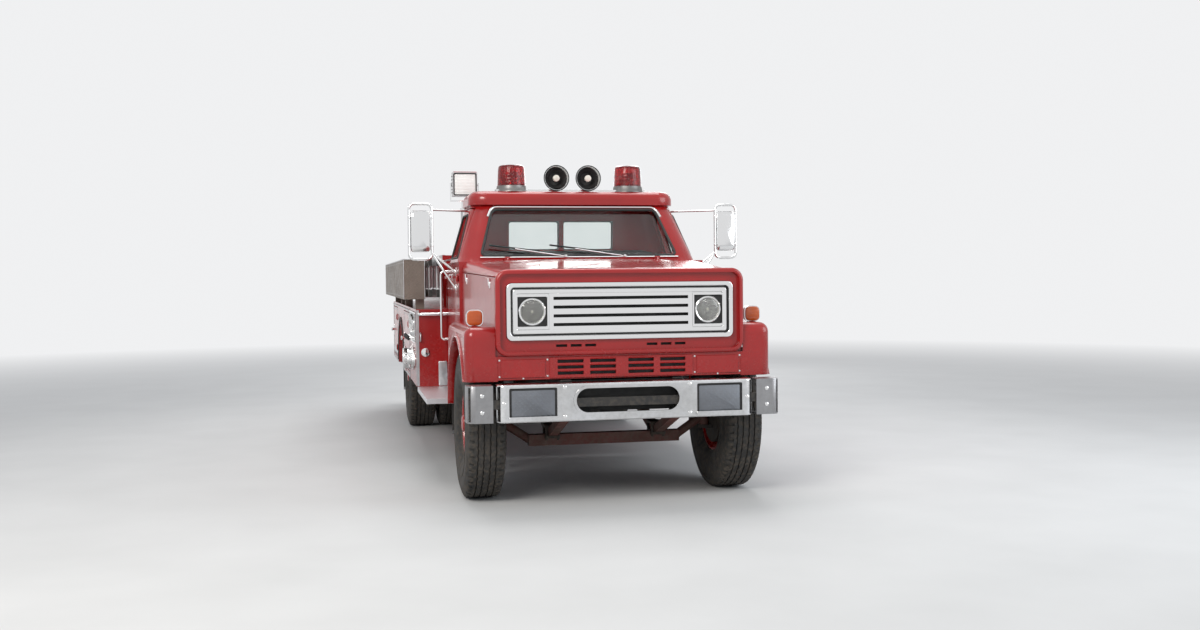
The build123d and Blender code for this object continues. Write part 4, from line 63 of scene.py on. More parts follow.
CLOUDS, PATCHES, SPOTS = 3.1, 17.0, 38.0  # noise cells in a metre: tone, gloss and road film
MIDDLE_BAND = (0.35, 0.65)                # noise values over which tone and gloss change
DIRTY_BAND = (0.42, 0.66)                 # noise values over which road film shows
FILM_Z = (0.25, 1.25)                     # heights between which road film fades out
ROAD_DIRT = (0.115, 0.095, 0.075)
DIRT_ROUGH, ENDS_ROUGH = 0.5, 0.22        # roughness that road film and the darker ends add
COAT_ROUGH = 0.06
GLASS_IOR = 1.45
SHARP_FROM, ROUND_FROM = 38.0, 40.0       # degrees at which an edge is sharp, and is rounded
WELD_GAP = 0.00002
LOG = logging.getLogger("pumper")


def y_at(station: float) -> float:
    """Y in metres of a station, which is in millimetres behind the front axle."""
    return FRONT_AXLE_Y + station / 1000


def place(thing: Object) -> None:
    """Puts an object in the scene."""
    bpy.context.scene.collection.objects.link(thing)


def side_name(side: int) -> str:
    """Name of a side: +X is the left, driver's side."""
    return "left" if side > 0 else "right"


class Grain(Enum):
    """The small relief of a finish."""

    ENAMEL = "enamel"
    BRUSHED = "brushed"
    CAST = "cast"
    VINYL = "vinyl"
    LOZENGE = "lozenge"
    FLUTED = "fluted"
    MESH = "mesh"


class Graph:
    """A material's node tree with short calls for nodes, sums and links."""

    def __init__(self, name: str) -> None:
        """Starts a material with a principled shader.

        Args:
            name: the material's name.
        """
        self.material = bpy.data.materials.new(name)
        self.material.use_nodes = True
        self.tree = self.material.node_tree
        self.shader = self.tree.nodes["Principled BSDF"]
        self.place = self.node("ShaderNodeTexCoord").outputs["Object"]
        split = self.node("ShaderNodeSeparateXYZ")
        self.tree.links.new(self.place, split.inputs[0])
        self.x, self.y, self.z = split.outputs[0], split.outputs[1], split.outputs[2]

    def node(self, kind: str) -> Node:
        """A new node of a kind."""
        return self.tree.nodes.new(kind)

    def feed(self, socket: NodeSocket, value: object) -> None:
        """Links an output to a socket, or sets the socket to a value.

        Args:
            socket: the input to feed.
            value: an output socket, a number or a colour.
        """
        if isinstance(value, NodeSocket):
            self.tree.links.new(value, socket)
        else:
            socket.default_value = value

    def sum(self, operation: str, *values: object) -> NodeSocket:
        """A math node's result.

        Args:
            operation: the math node's operation, such as ADD.
            values: its inputs in order.

        Returns:
            The output socket.
        """
        node = self.node("ShaderNodeMath")
        node.operation = operation
        for socket, value in zip(node.inputs, values):
            self.feed(socket, value)
        return node.outputs[0]

    def noise(self, scale: float, detail: float = 3.0, stretch: Point = (1, 1, 1)) -> NodeSocket:
        """Noise over the object, finer with a larger scale.

        Args:
            scale: noise cells in a metre.
            detail: octaves.
            stretch: scale of each axis, to draw the noise out.

        Returns:
            The noise factor, about 0.3 to 0.7.
        """
        mapping = self.node("ShaderNodeMapping")
        mapping.inputs["Scale"].default_value = stretch
        self.feed(mapping.inputs[0], self.place)
        node = self.node("ShaderNodeTexNoise")
        self.feed(node.inputs["Vector"], mapping.outputs[0])
        node.inputs["Scale"].default_value = scale
        node.inputs["Detail"].default_value = detail
        return node.outputs["Fac"]

    def span(self, value: object, low: float, high: float, to_low: float, to_high: float) -> NodeSocket:
        """Maps a range onto another with clamping.

        Args:
            value: what is mapped.
            low: start of its range.
            high: end of its range.
            to_low: result at the start.
            to_high: result at the end.

        Returns:
            The mapped output.
        """
        node = self.node("ShaderNodeMapRange")
        for index, number in enumerate((value, low, high, to_low, to_high)):
            self.feed(node.inputs[index], number)
        return node.outputs[0]

    def blend(self, share: object, first: object, second: object) -> NodeSocket:
        """Mixes two colours.

        Args:
            share: 0 gives the first, 1 the second.
            first: a colour or output.
            second: a colour or output.

        Returns:
            The mixed colour.
        """
        node = self.node("ShaderNodeMix")
        node.data_type = "RGBA"
        self.feed(node.inputs[0], share)
        for socket, value in ((node.inputs[6], first), (node.inputs[7], second)):
            self.feed(socket, (*value, 1.0) if isinstance(value, tuple) else value)
        return node.outputs[2]

    def pick(self, share: object, first: object, second: object) -> NodeSocket:
        """A value between two others: share 0 gives the first, 1 the second."""
        return self.sum("ADD", first, self.sum("MULTIPLY", share, self.sum("SUBTRACT", second, first)))

    def lozenges(self, pitch: float) -> NodeSocket:
        """Raised lozenges of tread plate, laid in the plane that a face is nearest to.

        Args:
            pitch: distance between lozenges in metres.

        Returns:
            Relief from 0 to 1.
        """
        shape = self.node("ShaderNodeNewGeometry")
        normal = self.node("ShaderNodeSeparateXYZ")
        self.feed(normal.inputs[0], shape.outputs["Normal"])
        facing_from, length, slimness, shoulder = 0.6, 5.5, 60.0, 0.55
        facing = [self.sum("GREATER_THAN", self.sum("ABSOLUTE", n), facing_from) for n in normal.outputs]
        across = self.pick(facing[0], self.x, self.y)
        up = self.pick(facing[2], self.z, self.y)
        u = self.sum("DIVIDE", self.sum("ADD", across, up), pitch)
        v = self.sum("DIVIDE", self.sum("SUBTRACT", across, up), pitch)
        cell = self.sum("ADD", self.sum("FLOOR", u), self.sum("FLOOR", v))
        parity = self.sum("FLOORED_MODULO", cell, 2.0)
        inside = [self.sum("POWER", self.sum("SUBTRACT", self.sum("FRACT", w), 0.5), 2.0) for w in (u, v)]
        shapes = []
        for long, short in (inside, inside[::-1]):
            ends, flanks = self.sum("MULTIPLY", long, length), self.sum("MULTIPLY", short, slimness)
            shapes.append(self.sum("ADD", ends, flanks))
        return self.span(self.pick(parity, *shapes), shoulder, 1.0, 1.0, 0.0)

    def lines(self, along: object, pitch: float, width: float = 0.5) -> NodeSocket:
        """Soft parallel ridges.

        Args:
            along: coordinate across the ridges.
            pitch: distance between ridges.
            width: share of the pitch that is high.

        Returns:
            Relief from 0 to 1.
        """
        phase = self.sum("FRACT", self.sum("DIVIDE", along, pitch))
        distance = self.sum("ABSOLUTE", self.sum("SUBTRACT", phase, 0.5))
        return self.span(distance, width / 2, width / 2 + 0.1, 1.0, 0.0)


@dataclass(frozen=True)
class Finish:
    """One surface finish: tones, gloss, relief and road film.

    Attributes:
        shade: second tone, in clouds over the main one.
        rough: range of the roughness.
        scale: relief cells in a metre.
        bump: height of the relief in metres.
        clear: share of light let through.
        film: share of road film low on the truck.
        ends_tone: tone beyond ends_from either side of the middle, such as a darker, duller end piece.
        ends_from: distance from the middle at which it starts.
    """

    name: str
    colour: Colour
    shade: Colour
    rough: Flat = (0.25, 0.4)
    metallic: float = 0.0
    grain: Grain = Grain.ENAMEL
    scale: float = 260.0
    bump: float = 0.0002
    coat: float = 0.0
    clear: float = 0.0
    glow: float = 0.0
    film: float = 0.0
    ends_tone: Colour | None = None
    ends_from: float = 0.89

    def relief(self, graph: Graph) -> NodeSocket:
        """The height pattern of the grain.

        Args:
            graph: the material being made.

        Returns:
            Relief from 0 to 1.
        """
        if self.grain is Grain.BRUSHED:
            return graph.noise(self.scale, 2.0, (1.0, 0.04, 1.0))
        if self.grain is Grain.LOZENGE:
            return graph.lozenges(0.034)
        if self.grain is Grain.FLUTED:
            return graph.sum("ADD", graph.lines(graph.x, 0.009), graph.lines(graph.z, 0.027))
        if self.grain is Grain.MESH:
            wires = [graph.lines(graph.sum(way, graph.x, graph.z), 0.012) for way in ("ADD", "SUBTRACT")]
            return graph.sum("MULTIPLY", *wires)
        detail = {Grain.ENAMEL: 1.0, Grain.CAST: 6.0, Grain.VINYL: 2.0}[self.grain]
        return graph.noise(self.scale, detail)

    def material(self) -> Material:
        """The finish as a node material, made once.

        Returns:
            The material.
        """
        made = bpy.data.materials.get(self.name)
        if made:
            return made
        graph = Graph(self.name)
        sockets = graph.shader.inputs
        clouds = graph.span(graph.noise(CLOUDS, 4.0), *MIDDLE_BAND, 0.0, 1.0)
        tone = graph.blend(clouds, self.colour, self.shade)
        gloss = graph.span(graph.noise(PATCHES, 5.0), *MIDDLE_BAND, *self.rough)
        if self.ends_tone:
            ends = graph.sum("GREATER_THAN", graph.sum("ABSOLUTE", graph.x), self.ends_from)
            tone = graph.blend(ends, tone, self.ends_tone)
            gloss = graph.sum("ADD", gloss, graph.sum("MULTIPLY", ends, ENDS_ROUGH))
        if self.film:
            low = graph.span(graph.z, *FILM_Z, 1.0, 0.0)
            spots = graph.span(graph.noise(SPOTS, 6.0), *DIRTY_BAND, 0.0, 1.0)
            share = graph.sum("MULTIPLY", graph.sum("MULTIPLY", low, spots), self.film)
            tone = graph.blend(share, tone, ROAD_DIRT)
            gloss = graph.sum("ADD", gloss, graph.sum("MULTIPLY", share, DIRT_ROUGH))
        graph.feed(sockets["Base Color"], tone)
        graph.feed(sockets["Roughness"], gloss)
        weights = {"Metallic": self.metallic, "Coat Weight": self.coat, "Transmission Weight": self.clear}
        for name, weight in weights.items():
            sockets[name].default_value = weight
        sockets["Coat Roughness"].default_value = COAT_ROUGH
        if self.clear:
            sockets["IOR"].default_value = GLASS_IOR
        if self.glow:
            sockets["Emission Color"].default_value = (*self.colour, 1.0)
            sockets["Emission Strength"].default_value = self.glow
        bump = graph.node("ShaderNodeBump")
        bump.inputs["Strength"].default_value = 1.0
        bump.inputs["Distance"].default_value = self.bump
        graph.feed(bump.inputs["Height"], self.relief(graph))
        graph.feed(sockets["Normal"], bump.outputs[0])
        return graph.material


RED = Finish(
    "red_enamel", (0.33, 0.006, 0.006), (0.29, 0.005, 0.005), (0.22, 0.27), bump=0.00012, coat=0.35,
    film=0.2,
)
AXLE_RED = Finish("axle_primer", (0.12, 0.026, 0.02), (0.07, 0.03, 0.022), (0.55, 0.75), film=0.6)
BLACK = Finish("black_enamel", (0.014, 0.014, 0.015), (0.022, 0.02, 0.018), (0.35, 0.55), film=0.6)
MATT_BLACK = Finish("matt_black", (0.008, 0.008, 0.009), (0.013, 0.013, 0.013), (0.55, 0.75))
CHROME = Finish(
    "chrome", (0.8, 0.81, 0.83), (0.72, 0.72, 0.73), (0.04, 0.13), metallic=1.0, bump=0.00004, film=0.12,
)
BUMPER = Finish(
    "bumper_chrome", (0.78, 0.79, 0.81), (0.66, 0.66, 0.66), (0.07, 0.2), metallic=1.0, bump=0.0001,
    film=0.2, ends_tone=(0.33, 0.33, 0.34),
)
STEEL = Finish(
    "brushed_steel", (0.55, 0.56, 0.57), (0.47, 0.47, 0.48), (0.28, 0.42), metallic=1.0,
    grain=Grain.BRUSHED, scale=420.0, bump=0.00006, film=0.15,
)
ALUMINIUM = Finish(
    "ladder_aluminium", (0.6, 0.61, 0.62), (0.5, 0.5, 0.5), (0.32, 0.5), metallic=1.0,
    grain=Grain.BRUSHED, scale=300.0, bump=0.00008, film=0.15,
)
TREAD = Finish(
    "tread_plate", (0.5, 0.5, 0.51), (0.38, 0.37, 0.36), (0.28, 0.45), metallic=1.0,
    grain=Grain.LOZENGE, bump=0.0016, film=0.3,
)
IRON = Finish(
    "cast_iron", (0.03, 0.028, 0.027), (0.055, 0.042, 0.034), (0.55, 0.8), metallic=0.3,
    grain=Grain.CAST, scale=140.0, bump=0.0009, film=0.8,
)
TYRE = Finish(
    "tyre_rubber", (0.016, 0.016, 0.016), (0.03, 0.028, 0.026), (0.62, 0.82),
    grain=Grain.CAST, scale=420.0, bump=0.0003, film=0.7,
)
RUBBER = Finish(
    "black_rubber", (0.014, 0.014, 0.014), (0.024, 0.023, 0.022), (0.5, 0.7), grain=Grain.CAST,
    scale=500.0, bump=0.0002, film=0.1,
)
GLASS = Finish("window_glass", (0.86, 0.9, 0.89), (0.9, 0.93, 0.92), (0.0, 0.03), clear=1.0, bump=0.000004)
LENS = Finish(
    "lamp_lens", (0.97, 0.97, 0.95), (0.93, 0.93, 0.9), (0.02, 0.06), clear=0.95, grain=Grain.FLUTED,
    bump=0.0005,
)
REFLECTOR = Finish("reflector", (0.9, 0.9, 0.9), (0.84, 0.84, 0.84), (0.05, 0.12), metallic=1.0)
BEACON_GLASS = Finish(
    "beacon_red", (0.42, 0.006, 0.014), (0.34, 0.004, 0.01), (0.05, 0.12), clear=0.82,
    grain=Grain.FLUTED, bump=0.0004,
)
AMBER = Finish(
    "amber_lens", (0.85, 0.16, 0.02), (0.72, 0.12, 0.015), (0.12, 0.2), clear=0.35, grain=Grain.FLUTED,
    bump=0.0006, coat=0.5,
)
TAIL_RED = Finish(
    "tail_lens", (0.5, 0.008, 0.01), (0.4, 0.006, 0.01), (0.1, 0.18), clear=0.3, grain=Grain.FLUTED,
    bump=0.0006, coat=0.5,
)
VINYL = Finish(
    "seat_vinyl", (0.035, 0.012, 0.011), (0.05, 0.018, 0.015), (0.4, 0.55), grain=Grain.VINYL,
    scale=900.0, bump=0.0005,
)
DASH = Finish(
    "dash_black", (0.02, 0.02, 0.021), (0.03, 0.029, 0.028), (0.5, 0.65), grain=Grain.VINYL, scale=700.0,
    bump=0.0003,
)
WHITE_LENS = Finish(
    "floodlight_lens", (0.9, 0.9, 0.88), (0.82, 0.82, 0.8), (0.08, 0.16), grain=Grain.FLUTED, bump=0.0008,
    glow=0.12,
)
# Tread plate of the side trough: its brown-grey tone is a painted reflection of the surroundings, not the
# metal's own colour.
TREAD_PAINTED_REFLECTION = Finish(
    "tread_painted_reflection", (0.24, 0.2, 0.17), (0.17, 0.14, 0.12), (0.4, 0.6), metallic=0.6, grain=Grain.LOZENGE,
    bump=0.0016, film=0.3,
)
EXHAUST = Finish(
    "exhaust_iron", (0.11, 0.065, 0.045), (0.06, 0.05, 0.045), (0.6, 0.85), metallic=0.4, grain=Grain.CAST,
    scale=200.0, bump=0.0006, film=0.4,
)
PEWTER = Finish("pewter_grey", (0.2, 0.195, 0.19), (0.15, 0.147, 0.143), (0.32, 0.46), metallic=0.75)
STEP_PAD = Finish(
    "step_pad", (0.21, 0.225, 0.25), (0.16, 0.17, 0.19), (0.3, 0.42), metallic=0.8, grain=Grain.LOZENGE,
    bump=0.0008, film=0.2,
)
IVORY = Finish("dial_ivory", (0.75, 0.73, 0.66), (0.7, 0.68, 0.6), (0.3, 0.4))
SILVER = Finish("silver_enamel", (0.62, 0.63, 0.64), (0.55, 0.55, 0.56), (0.25, 0.38), metallic=0.5)
CORE = Finish(
    "radiator_core", (0.012, 0.012, 0.012), (0.02, 0.02, 0.02), (0.5, 0.7), metallic=0.4, grain=Grain.MESH,
    bump=0.003,
)


def bend(points: list[Point], radius: float, steps: int = 5, closed: bool = False) -> list[Point]:
    """Rounds the corners of a path.

    Args:
        points: its corners.
        radius: distance along each run at which a corner starts to turn.
        steps: points on each turn.
        closed: whether the path returns to its start.

    Returns:
        The rounded path.
    """
    path = []
    count = len(points)
    for index, point in enumerate(points):
        here = Vector(point)
        if not closed and index in (0, count - 1):
            path.append(tuple(here))
            continue
        before = Vector(points[index - 1])
        after = Vector(points[(index + 1) % count])
        reach = min(radius, (before - here).length * 0.49, (after - here).length * 0.49)
        start = here + (before - here).normalized() * reach
        end = here + (after - here).normalized() * reach
        for step in range(steps + 1):
            share = step / steps
            path.append(tuple(start * (1 - share) ** 2 + here * 2 * share * (1 - share) + end * share ** 2))
    return path


def rounded(width: float, height: float, radius: float, steps: int = 4) -> list[Flat]:
    """A rectangle with round corners about the origin.

    Args:
        width: full width.
        height: full height.
        radius: corner radius.
        steps: segments in a corner.

    Returns:
        Its outline, anticlockwise.
    """
    outline = []
    for turn, (cx, cy) in enumerate(((1, 1), (-1, 1), (-1, -1), (1, -1))):
        for step in range(steps + 1):
            angle = math.pi / 2 * (turn + step / steps)
            a = cx * (width / 2 - radius) + radius * math.cos(angle)
            b = cy * (height / 2 - radius) + radius * math.sin(angle)
            outline.append((a, b))
    return outline


def around(count: int, shift: float = 0.0) -> list[float]:
    """Angles evenly round a turn, in radians, the first turned by a share of a step."""
    return [2 * math.pi * (k + shift) / count for k in range(count)]


def circle(radius: float, count: int) -> list[Flat]:
    """Points evenly round a circle about the origin."""
    return [(radius * math.cos(angle), radius * math.sin(angle)) for angle in around(count)]


@dataclass(frozen=True)
class Bench:
    """A drawing plane: where its origin is, and where its u, v and outward directions point."""

    origin: Point
    u: Point
    v: Point

    def lift(self, outline: list[Flat], out: float = 0.0) -> list[Point]:
        """Places an outline in space.

        Args:
            outline: points in the plane.
            out: distance in front of the plane.

        Returns:
            Points in space.
        """
        u, v = Vector(self.u), Vector(self.v)
        normal = u.cross(v).normalized()
        return [tuple(Vector(self.origin) + u * a + v * b + normal * out) for a, b in outline]


def facing_front(x: float, station: float, z: float) -> Bench:
    """A plane that faces the front of the truck, its normal -Y."""
    return Bench((x, y_at(station), z), (1, 0, 0), (0, 0, 1))


def facing_side(side: int, x: float, station: float, z: float) -> Bench:
    """A plane that faces outwards on one side, its normal along side times X."""
    return Bench((x, y_at(station), z), (0, side, 0), (0, 0, 1))


@dataclass
class Workpiece:
    """A mesh being made, with one of its finishes for each face."""

    name: str
    finishes: list[Finish]
    points: list[Point] = field(default_factory=list)
    faces: list[tuple[int, ...]] = field(default_factory=list)
    marks: list[int] = field(default_factory=list)
    mark: int = 0

    def use(self, finish: Finish) -> "Workpiece":
        """Sets the finish of the faces that follow.

        Args:
            finish: one of the piece's finishes, added if it is new.

        Returns:
            The piece itself.
        """
        if finish not in self.finishes:
            self.finishes.append(finish)
        self.mark = self.finishes.index(finish)
        return self

    def settle(self) -> None:
        """Gives the faces added since the last call the finish in use."""
        self.marks.extend([self.mark] * (len(self.faces) - len(self.marks)))

    def skin(
        self, loops: list[list[Point]], closed: bool = True, capped: bool = True, wrap: bool = False
    ) -> None:
        """Bridges loops of equal length.

        Args:
            loops: the loops in order.
            closed: whether each loop returns to its start.
            capped: whether the first and last loops are filled.
            wrap: whether the last loop is bridged back to the first.
        """
        base = len(self.points)
        width = len(loops[0])
        for loop in loops:
            self.points.extend(loop)
        rows = len(loops)
        for row in range(rows if wrap else rows - 1):
            here, there = base + row * width, base + (row + 1) % rows * width
            for i in range(width if closed else width - 1):
                j = (i + 1) % width
                self.faces.append((here + i, here + j, there + j, there + i))
        if capped and closed and not wrap:
            self.faces.append(tuple(base + i for i in reversed(range(width))))
            self.faces.append(tuple(base + (rows - 1) * width + i for i in range(width)))
        self.settle()

    def lathe(
        self, centre: Point, axis: Point, profile: list[Flat], sides: int = 32, capped: bool = True
    ) -> None:
        """Turns a profile round an axis.

        Args:
            centre: origin of the profile.
            axis: direction of the profile's first number.
            profile: pairs of distance along the axis and radius.
            sides: segments in a turn.
            capped: whether the ends are filled.
        """
        a = Vector(axis).normalized()
        u = a.orthogonal().normalized()
        v = a.cross(u)
        loops = []
        for along, radius in profile:
            ring = circle(radius, sides)
            loops.append([tuple(Vector(centre) + a * along + u * p + v * q) for p, q in ring])
        self.skin(loops, capped=capped)

    def tube(self, path: list[Point], radius: float, sides: int = 10, closed: bool = False) -> None:
        """A round bar along a path.

        Args:
            path: points along its middle.
            radius: bar radius.
            sides: segments round the bar.
            closed: whether the path returns to its start.
        """
        spots = [Vector(p) for p in path]
        count = len(spots)
        loops = []
        up = None
        for index, spot in enumerate(spots):
            before = spots[index - 1] if closed or index else spot
            after = spots[(index + 1) % count] if closed or index < count - 1 else spot
            way = (after - before).normalized()
            if up is None:
                up = way.orthogonal().normalized()
            up = (up - way * up.dot(way)).normalized()
            across = way.cross(up)
            loops.append([tuple(spot + up * p + across * q) for p, q in circle(radius, sides)])
        self.skin(loops, wrap=closed)

    def plate(
        self, bench: Bench, outline: list[Flat], back: float, front: float, dome: float = 0.0
    ) -> None:
        """A flat plate of an outline.

        Args:
            bench: its plane.
            outline: its shape in that plane.
            back: where it starts, in front of the plane.
            front: where it ends.
            dome: width of a rounded front edge.
        """
        loops = [bench.lift(outline, back), bench.lift(outline, front - dome)]
        if dome:
            size = max(abs(a) for a, _ in outline)
            for share, inward in ((0.7, 0.3), (1.0, 1.0)):
                factor = 1 - dome * inward / size
                smaller = [(a * factor, b * factor) for a, b in outline]
                loops.append(bench.lift(smaller, front - dome * (1 - share)))
        self.skin(loops)

    def ring(self, bench: Bench, outer: list[Flat], inner: list[Flat], back: float, front: float) -> None:
        """A plate with a hole, whose outline has as many points as the outer one."""
        rims = ((outer, back), (outer, front), (inner, front), (inner, back))
        self.skin([bench.lift(outline, out) for outline, out in rims], wrap=True)

    def box(self, low: Point, high: Point) -> None:
        """A block between two corners."""
        outline = [(low[0], low[1]), (high[0], low[1]), (high[0], high[1]), (low[0], high[1])]
        self.skin([[(a, b, z) for a, b in outline] for z in (low[2], high[2])])

    def bolt(self, centre: Point, axis: Point, radius: float, height: float) -> None:
        """A hexagon head with a washer."""
        self.lathe(centre, axis, [(0, radius * 1.35), (height * 0.2, radius * 1.35)], 16)
        self.lathe(centre, axis, [(0, radius), (height * 0.85, radius), (height, radius * 0.8)], 6)

    def make(self, body: str = "truck", replaces: str = "") -> Object:
        """Turns the piece into an object that rides on a body.

        Args:
            body: name of the body that carries it.
            replaces: node that it stands for.

        Returns:
            The object.
        """
        mesh = bpy.data.meshes.new(self.name)
        mesh.from_pydata(self.points, [], self.faces)
        for polygon, mark in zip(mesh.polygons, self.marks):
            polygon.material_index = mark
        work = bmesh.new()
        work.from_mesh(mesh)
        bmesh.ops.recalc_face_normals(work, faces=work.faces)
        work.to_mesh(mesh)
        work.free()
        for finish in self.finishes:
            mesh.materials.append(finish.material())
        mesh.shade_smooth()
        mesh.set_sharp_from_angle(angle=math.radians(SHARP_FROM))
        piece = bpy.data.objects.new(self.name, mesh)
        place(piece)
        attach(piece, body)
        if replaces:
            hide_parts(replaces)
        LOG.info("%s: %d faces", self.name, len(self.faces))
        return piece


def soften(piece: Object, width: float) -> None:
    """Rounds the sharp edges of a piece with a modifier.

    Args:
        piece: the object.
        width: width of the rounding in metres.
    """
    weld = piece.modifiers.new("weld", "WELD")
    weld.merge_threshold = WELD_GAP
    edge = piece.modifiers.new("edges", "BEVEL")
    edge.width = width
    edge.segments = 2
    edge.limit_method = "ANGLE"
    edge.angle_limit = math.radians(ROUND_FROM)
    edge.harden_normals = True


@dataclass
class Studio:
    """Pale floor, soft lights and the camera at the photograph's place."""

    focal_px: float = 1214.4
    frame_px: float = 1200.0
    yaw: float = -0.2111
    pitch: float = -0.0308
    roll: float = -0.0095
    stand: Point = (-1.8756, -11.5375, 1.5578)
    floor_half: float = 200.0
    fade: Flat = (6.0, 19.0)
    surround: Colour = (0.87, 0.875, 0.885)
    ambient: Colour = (0.33, 0.35, 0.38)

    def camera(self) -> None:
        """Places the camera."""
        data = bpy.data.cameras.new("camera")
        data.sensor_width = 36.0
        data.lens = self.focal_px * data.sensor_width / self.frame_px
        data.clip_end = 300.0
        forward = Vector((-math.sin(self.yaw), math.cos(self.yaw), 0))
        right = Vector((math.cos(self.yaw), math.sin(self.yaw), 0))
        up = Vector((0, 0, 1))
        look = forward * math.cos(self.pitch) + up * math.sin(self.pitch)
        above = up * math.cos(self.pitch) - forward * math.sin(self.pitch)
        across = right * math.cos(self.roll) + above * math.sin(self.roll)
        top = above * math.cos(self.roll) - right * math.sin(self.roll)
        turn = Matrix((across, top, -look)).transposed()
        camera = bpy.data.objects.new("camera", data)
        camera.matrix_world = Matrix.Translation(self.stand) @ turn.to_4x4()
        place(camera)
        bpy.context.scene.camera = camera

    def lamp(self, name: str, spot: Point, aim: Point, size: float, power: float, tint: Colour) -> None:
        """Adds a soft square lamp.

        Args:
            name: its name.
            spot: where it hangs.
            aim: what it points at.
            size: its width and height.
            power: watts.
            tint: colour of its light.
        """
        data = bpy.data.lights.new(name, "AREA")
        data.size = size
        data.energy = power
        data.color = tint
        lamp = bpy.data.objects.new(name, data)
        lamp.location = spot
        lamp.rotation_euler = (Vector(aim) - Vector(spot)).to_track_quat("-Z", "Y").to_euler()
        place(lamp)

    def floor(self) -> None:
        """Lays the floor: pale, with a faint mottle, and it keeps the truck's shadow."""
        half = self.floor_half
        mesh = bpy.data.meshes.new("floor")
        corners = [(-half, -half, 0), (half, -half, 0), (half, half, 0), (-half, half, 0)]
        mesh.from_pydata(corners, [], [(0, 1, 2, 3)])
        graph = Graph("floor")
        tone = graph.blend(graph.noise(1.3, 4.0), (0.6, 0.6, 0.595), (0.68, 0.68, 0.675))
        squares = [graph.sum("POWER", axis, 2.0) for axis in (graph.x, graph.y)]
        reach = graph.sum("SQRT", graph.sum("ADD", *squares))
        far = graph.span(reach, *self.fade, 0.0, 1.0)
        graph.feed(graph.shader.inputs["Base Color"], graph.blend(far, tone, (0.0, 0.0, 0.0)))
        graph.shader.inputs["Emission Color"].default_value = (*self.surround, 1.0)
        graph.feed(graph.shader.inputs["Emission Strength"], far)
        graph.shader.inputs["Specular IOR Level"].default_value = 0.0
        graph.shader.inputs["Roughness"].default_value = 0.8
        mesh.materials.append(graph.material)
        floor = bpy.data.objects.new("floor", mesh)
        place(floor)

    def sky(self) -> None:
        """A plain dim surround for light and a pale one for what is seen or reflected."""
        world = bpy.data.worlds.new("surround")
        world.use_nodes = True
        bpy.context.scene.world = world
        tree = world.node_tree
        path = tree.nodes.new("ShaderNodeLightPath")
        seen = path.outputs["Is Camera Ray"]
        for ray in ("Is Glossy Ray", "Is Transmission Ray"):
            both = tree.nodes.new("ShaderNodeMath")
            both.operation = "MAXIMUM"
            tree.links.new(seen, both.inputs[0])
            tree.links.new(path.outputs[ray], both.inputs[1])
            seen = both.outputs[0]
        mix = tree.nodes.new("ShaderNodeMix")
        mix.data_type = "RGBA"
        tree.links.new(seen, mix.inputs[0])
        mix.inputs[6].default_value = (*self.ambient, 1.0)
        mix.inputs[7].default_value = (*self.surround, 1.0)
        tree.links.new(mix.outputs[2], tree.nodes["Background"].inputs["Color"])
        bpy.context.scene.view_settings.view_transform = "Standard"

    def build(self) -> None:
        """Sets the whole stage."""
        self.floor()
        self.sky()
        self.lamp("key", (-5.5, -9.5, 6.5), (0, -2.5, 1.2), 4.0, 620.0, (1.0, 0.97, 0.92))
        self.lamp("fill", (6.5, -6.5, 4.0), (0, -1.5, 1.0), 5.0, 260.0, (0.92, 0.96, 1.0))
        self.lamp("top", (0, 0.5, 8.0), (0, 0.3, 0), 6.0, 420.0, (1.0, 1.0, 1.0))
        self.lamp("rear", (3.0, 9.0, 5.0), (0, 2, 1.2), 4.0, 240.0, (1.0, 1.0, 1.0))
        self.camera()


@dataclass
class Tyre:
    """A ribbed highway tyre: bead to bead profile with zigzag grooves and shoulder notches.

    Attributes:
        pitch_marks: where in a pitch its sections lie.
        notched: sections of a pitch that a notch cuts.
    """

    x: float
    radius: float = 0.5255
    bead: float = 0.257
    half: float = 0.1385
    groove_depth: float = 0.012
    notch_depth: float = 0.01
    zigzag: float = 0.003
    pitches: int = 58
    pitch_marks: Row = (0.0, 0.1, 0.3, 0.4, 0.7)
    notched: tuple[int, ...] = (1, 2)

    def wall(self) -> list[Flat]:
        """Side wall from the bead to the shoulder.

        Returns:
            Pairs of distance from the middle plane and radius.
        """
        rise = self.radius - self.bead
        shares = (
            (0.0, 0.68), (0.03, 0.74), (0.05, 0.74), (0.13, 0.87), (0.27, 0.97), (0.42, 1.0), (0.445, 1.0),
            (0.455, 0.975), (0.6, 0.985), (0.75, 0.955), (0.765, 0.985), (0.86, 0.93), (0.94, 0.87),
        )
        return [(self.half * across, self.bead + rise * up) for up, across in shares]

    def tread(self) -> list[tuple[float, float, bool, bool]]:
        """Tread from one shoulder to the middle.

        Returns:
            Distance from the middle plane, depth, whether it sways with the zigzag, whether notches cut it.
        """
        deep = self.groove_depth
        return [
            (0.112, 0.006, False, True), (0.104, 0.0015, False, True), (0.088, 0.0005, False, True),
            (0.087, 0.0, False, False), (0.0665, 0.0, True, False), (0.0655, deep, True, False),
            (0.0585, deep, True, False), (0.0575, 0.0, True, False), (0.0265, 0.0, True, False),
            (0.0255, deep, True, False), (0.0185, deep, True, False), (0.0175, 0.0, True, False),
        ]

    def build(self, piece: Workpiece, y: float) -> None:
        """Adds the tyre to a piece.

        Args:
            piece: the wheel being made.
            y: Y of the axle.
        """
        half = self.tread()
        row = half + [(-a, depth, sways, cut) for a, depth, sways, cut in reversed(half)]
        wall = self.wall()
        loops = []
        for pitch in range(self.pitches):
            for index, mark in enumerate(self.pitch_marks):
                angle = 2 * math.pi * (pitch + mark) / self.pitches
                sway = self.zigzag * (1 - abs(4 * mark - 2))
                section = list(wall)
                for across, depth, sways, cut in row:
                    notch = self.notch_depth if cut and index in self.notched else 0.0
                    section.append((across + (sway if sways else 0.0), self.radius - depth - notch))
                section += [(-across, up) for across, up in reversed(wall)]
                co, si = math.cos(angle), math.sin(angle)
                loops.append([(self.x + across, y + up * co, AXLE_Z + up * si) for across, up in section])
        piece.skin(loops, closed=False, capped=False, wrap=True)


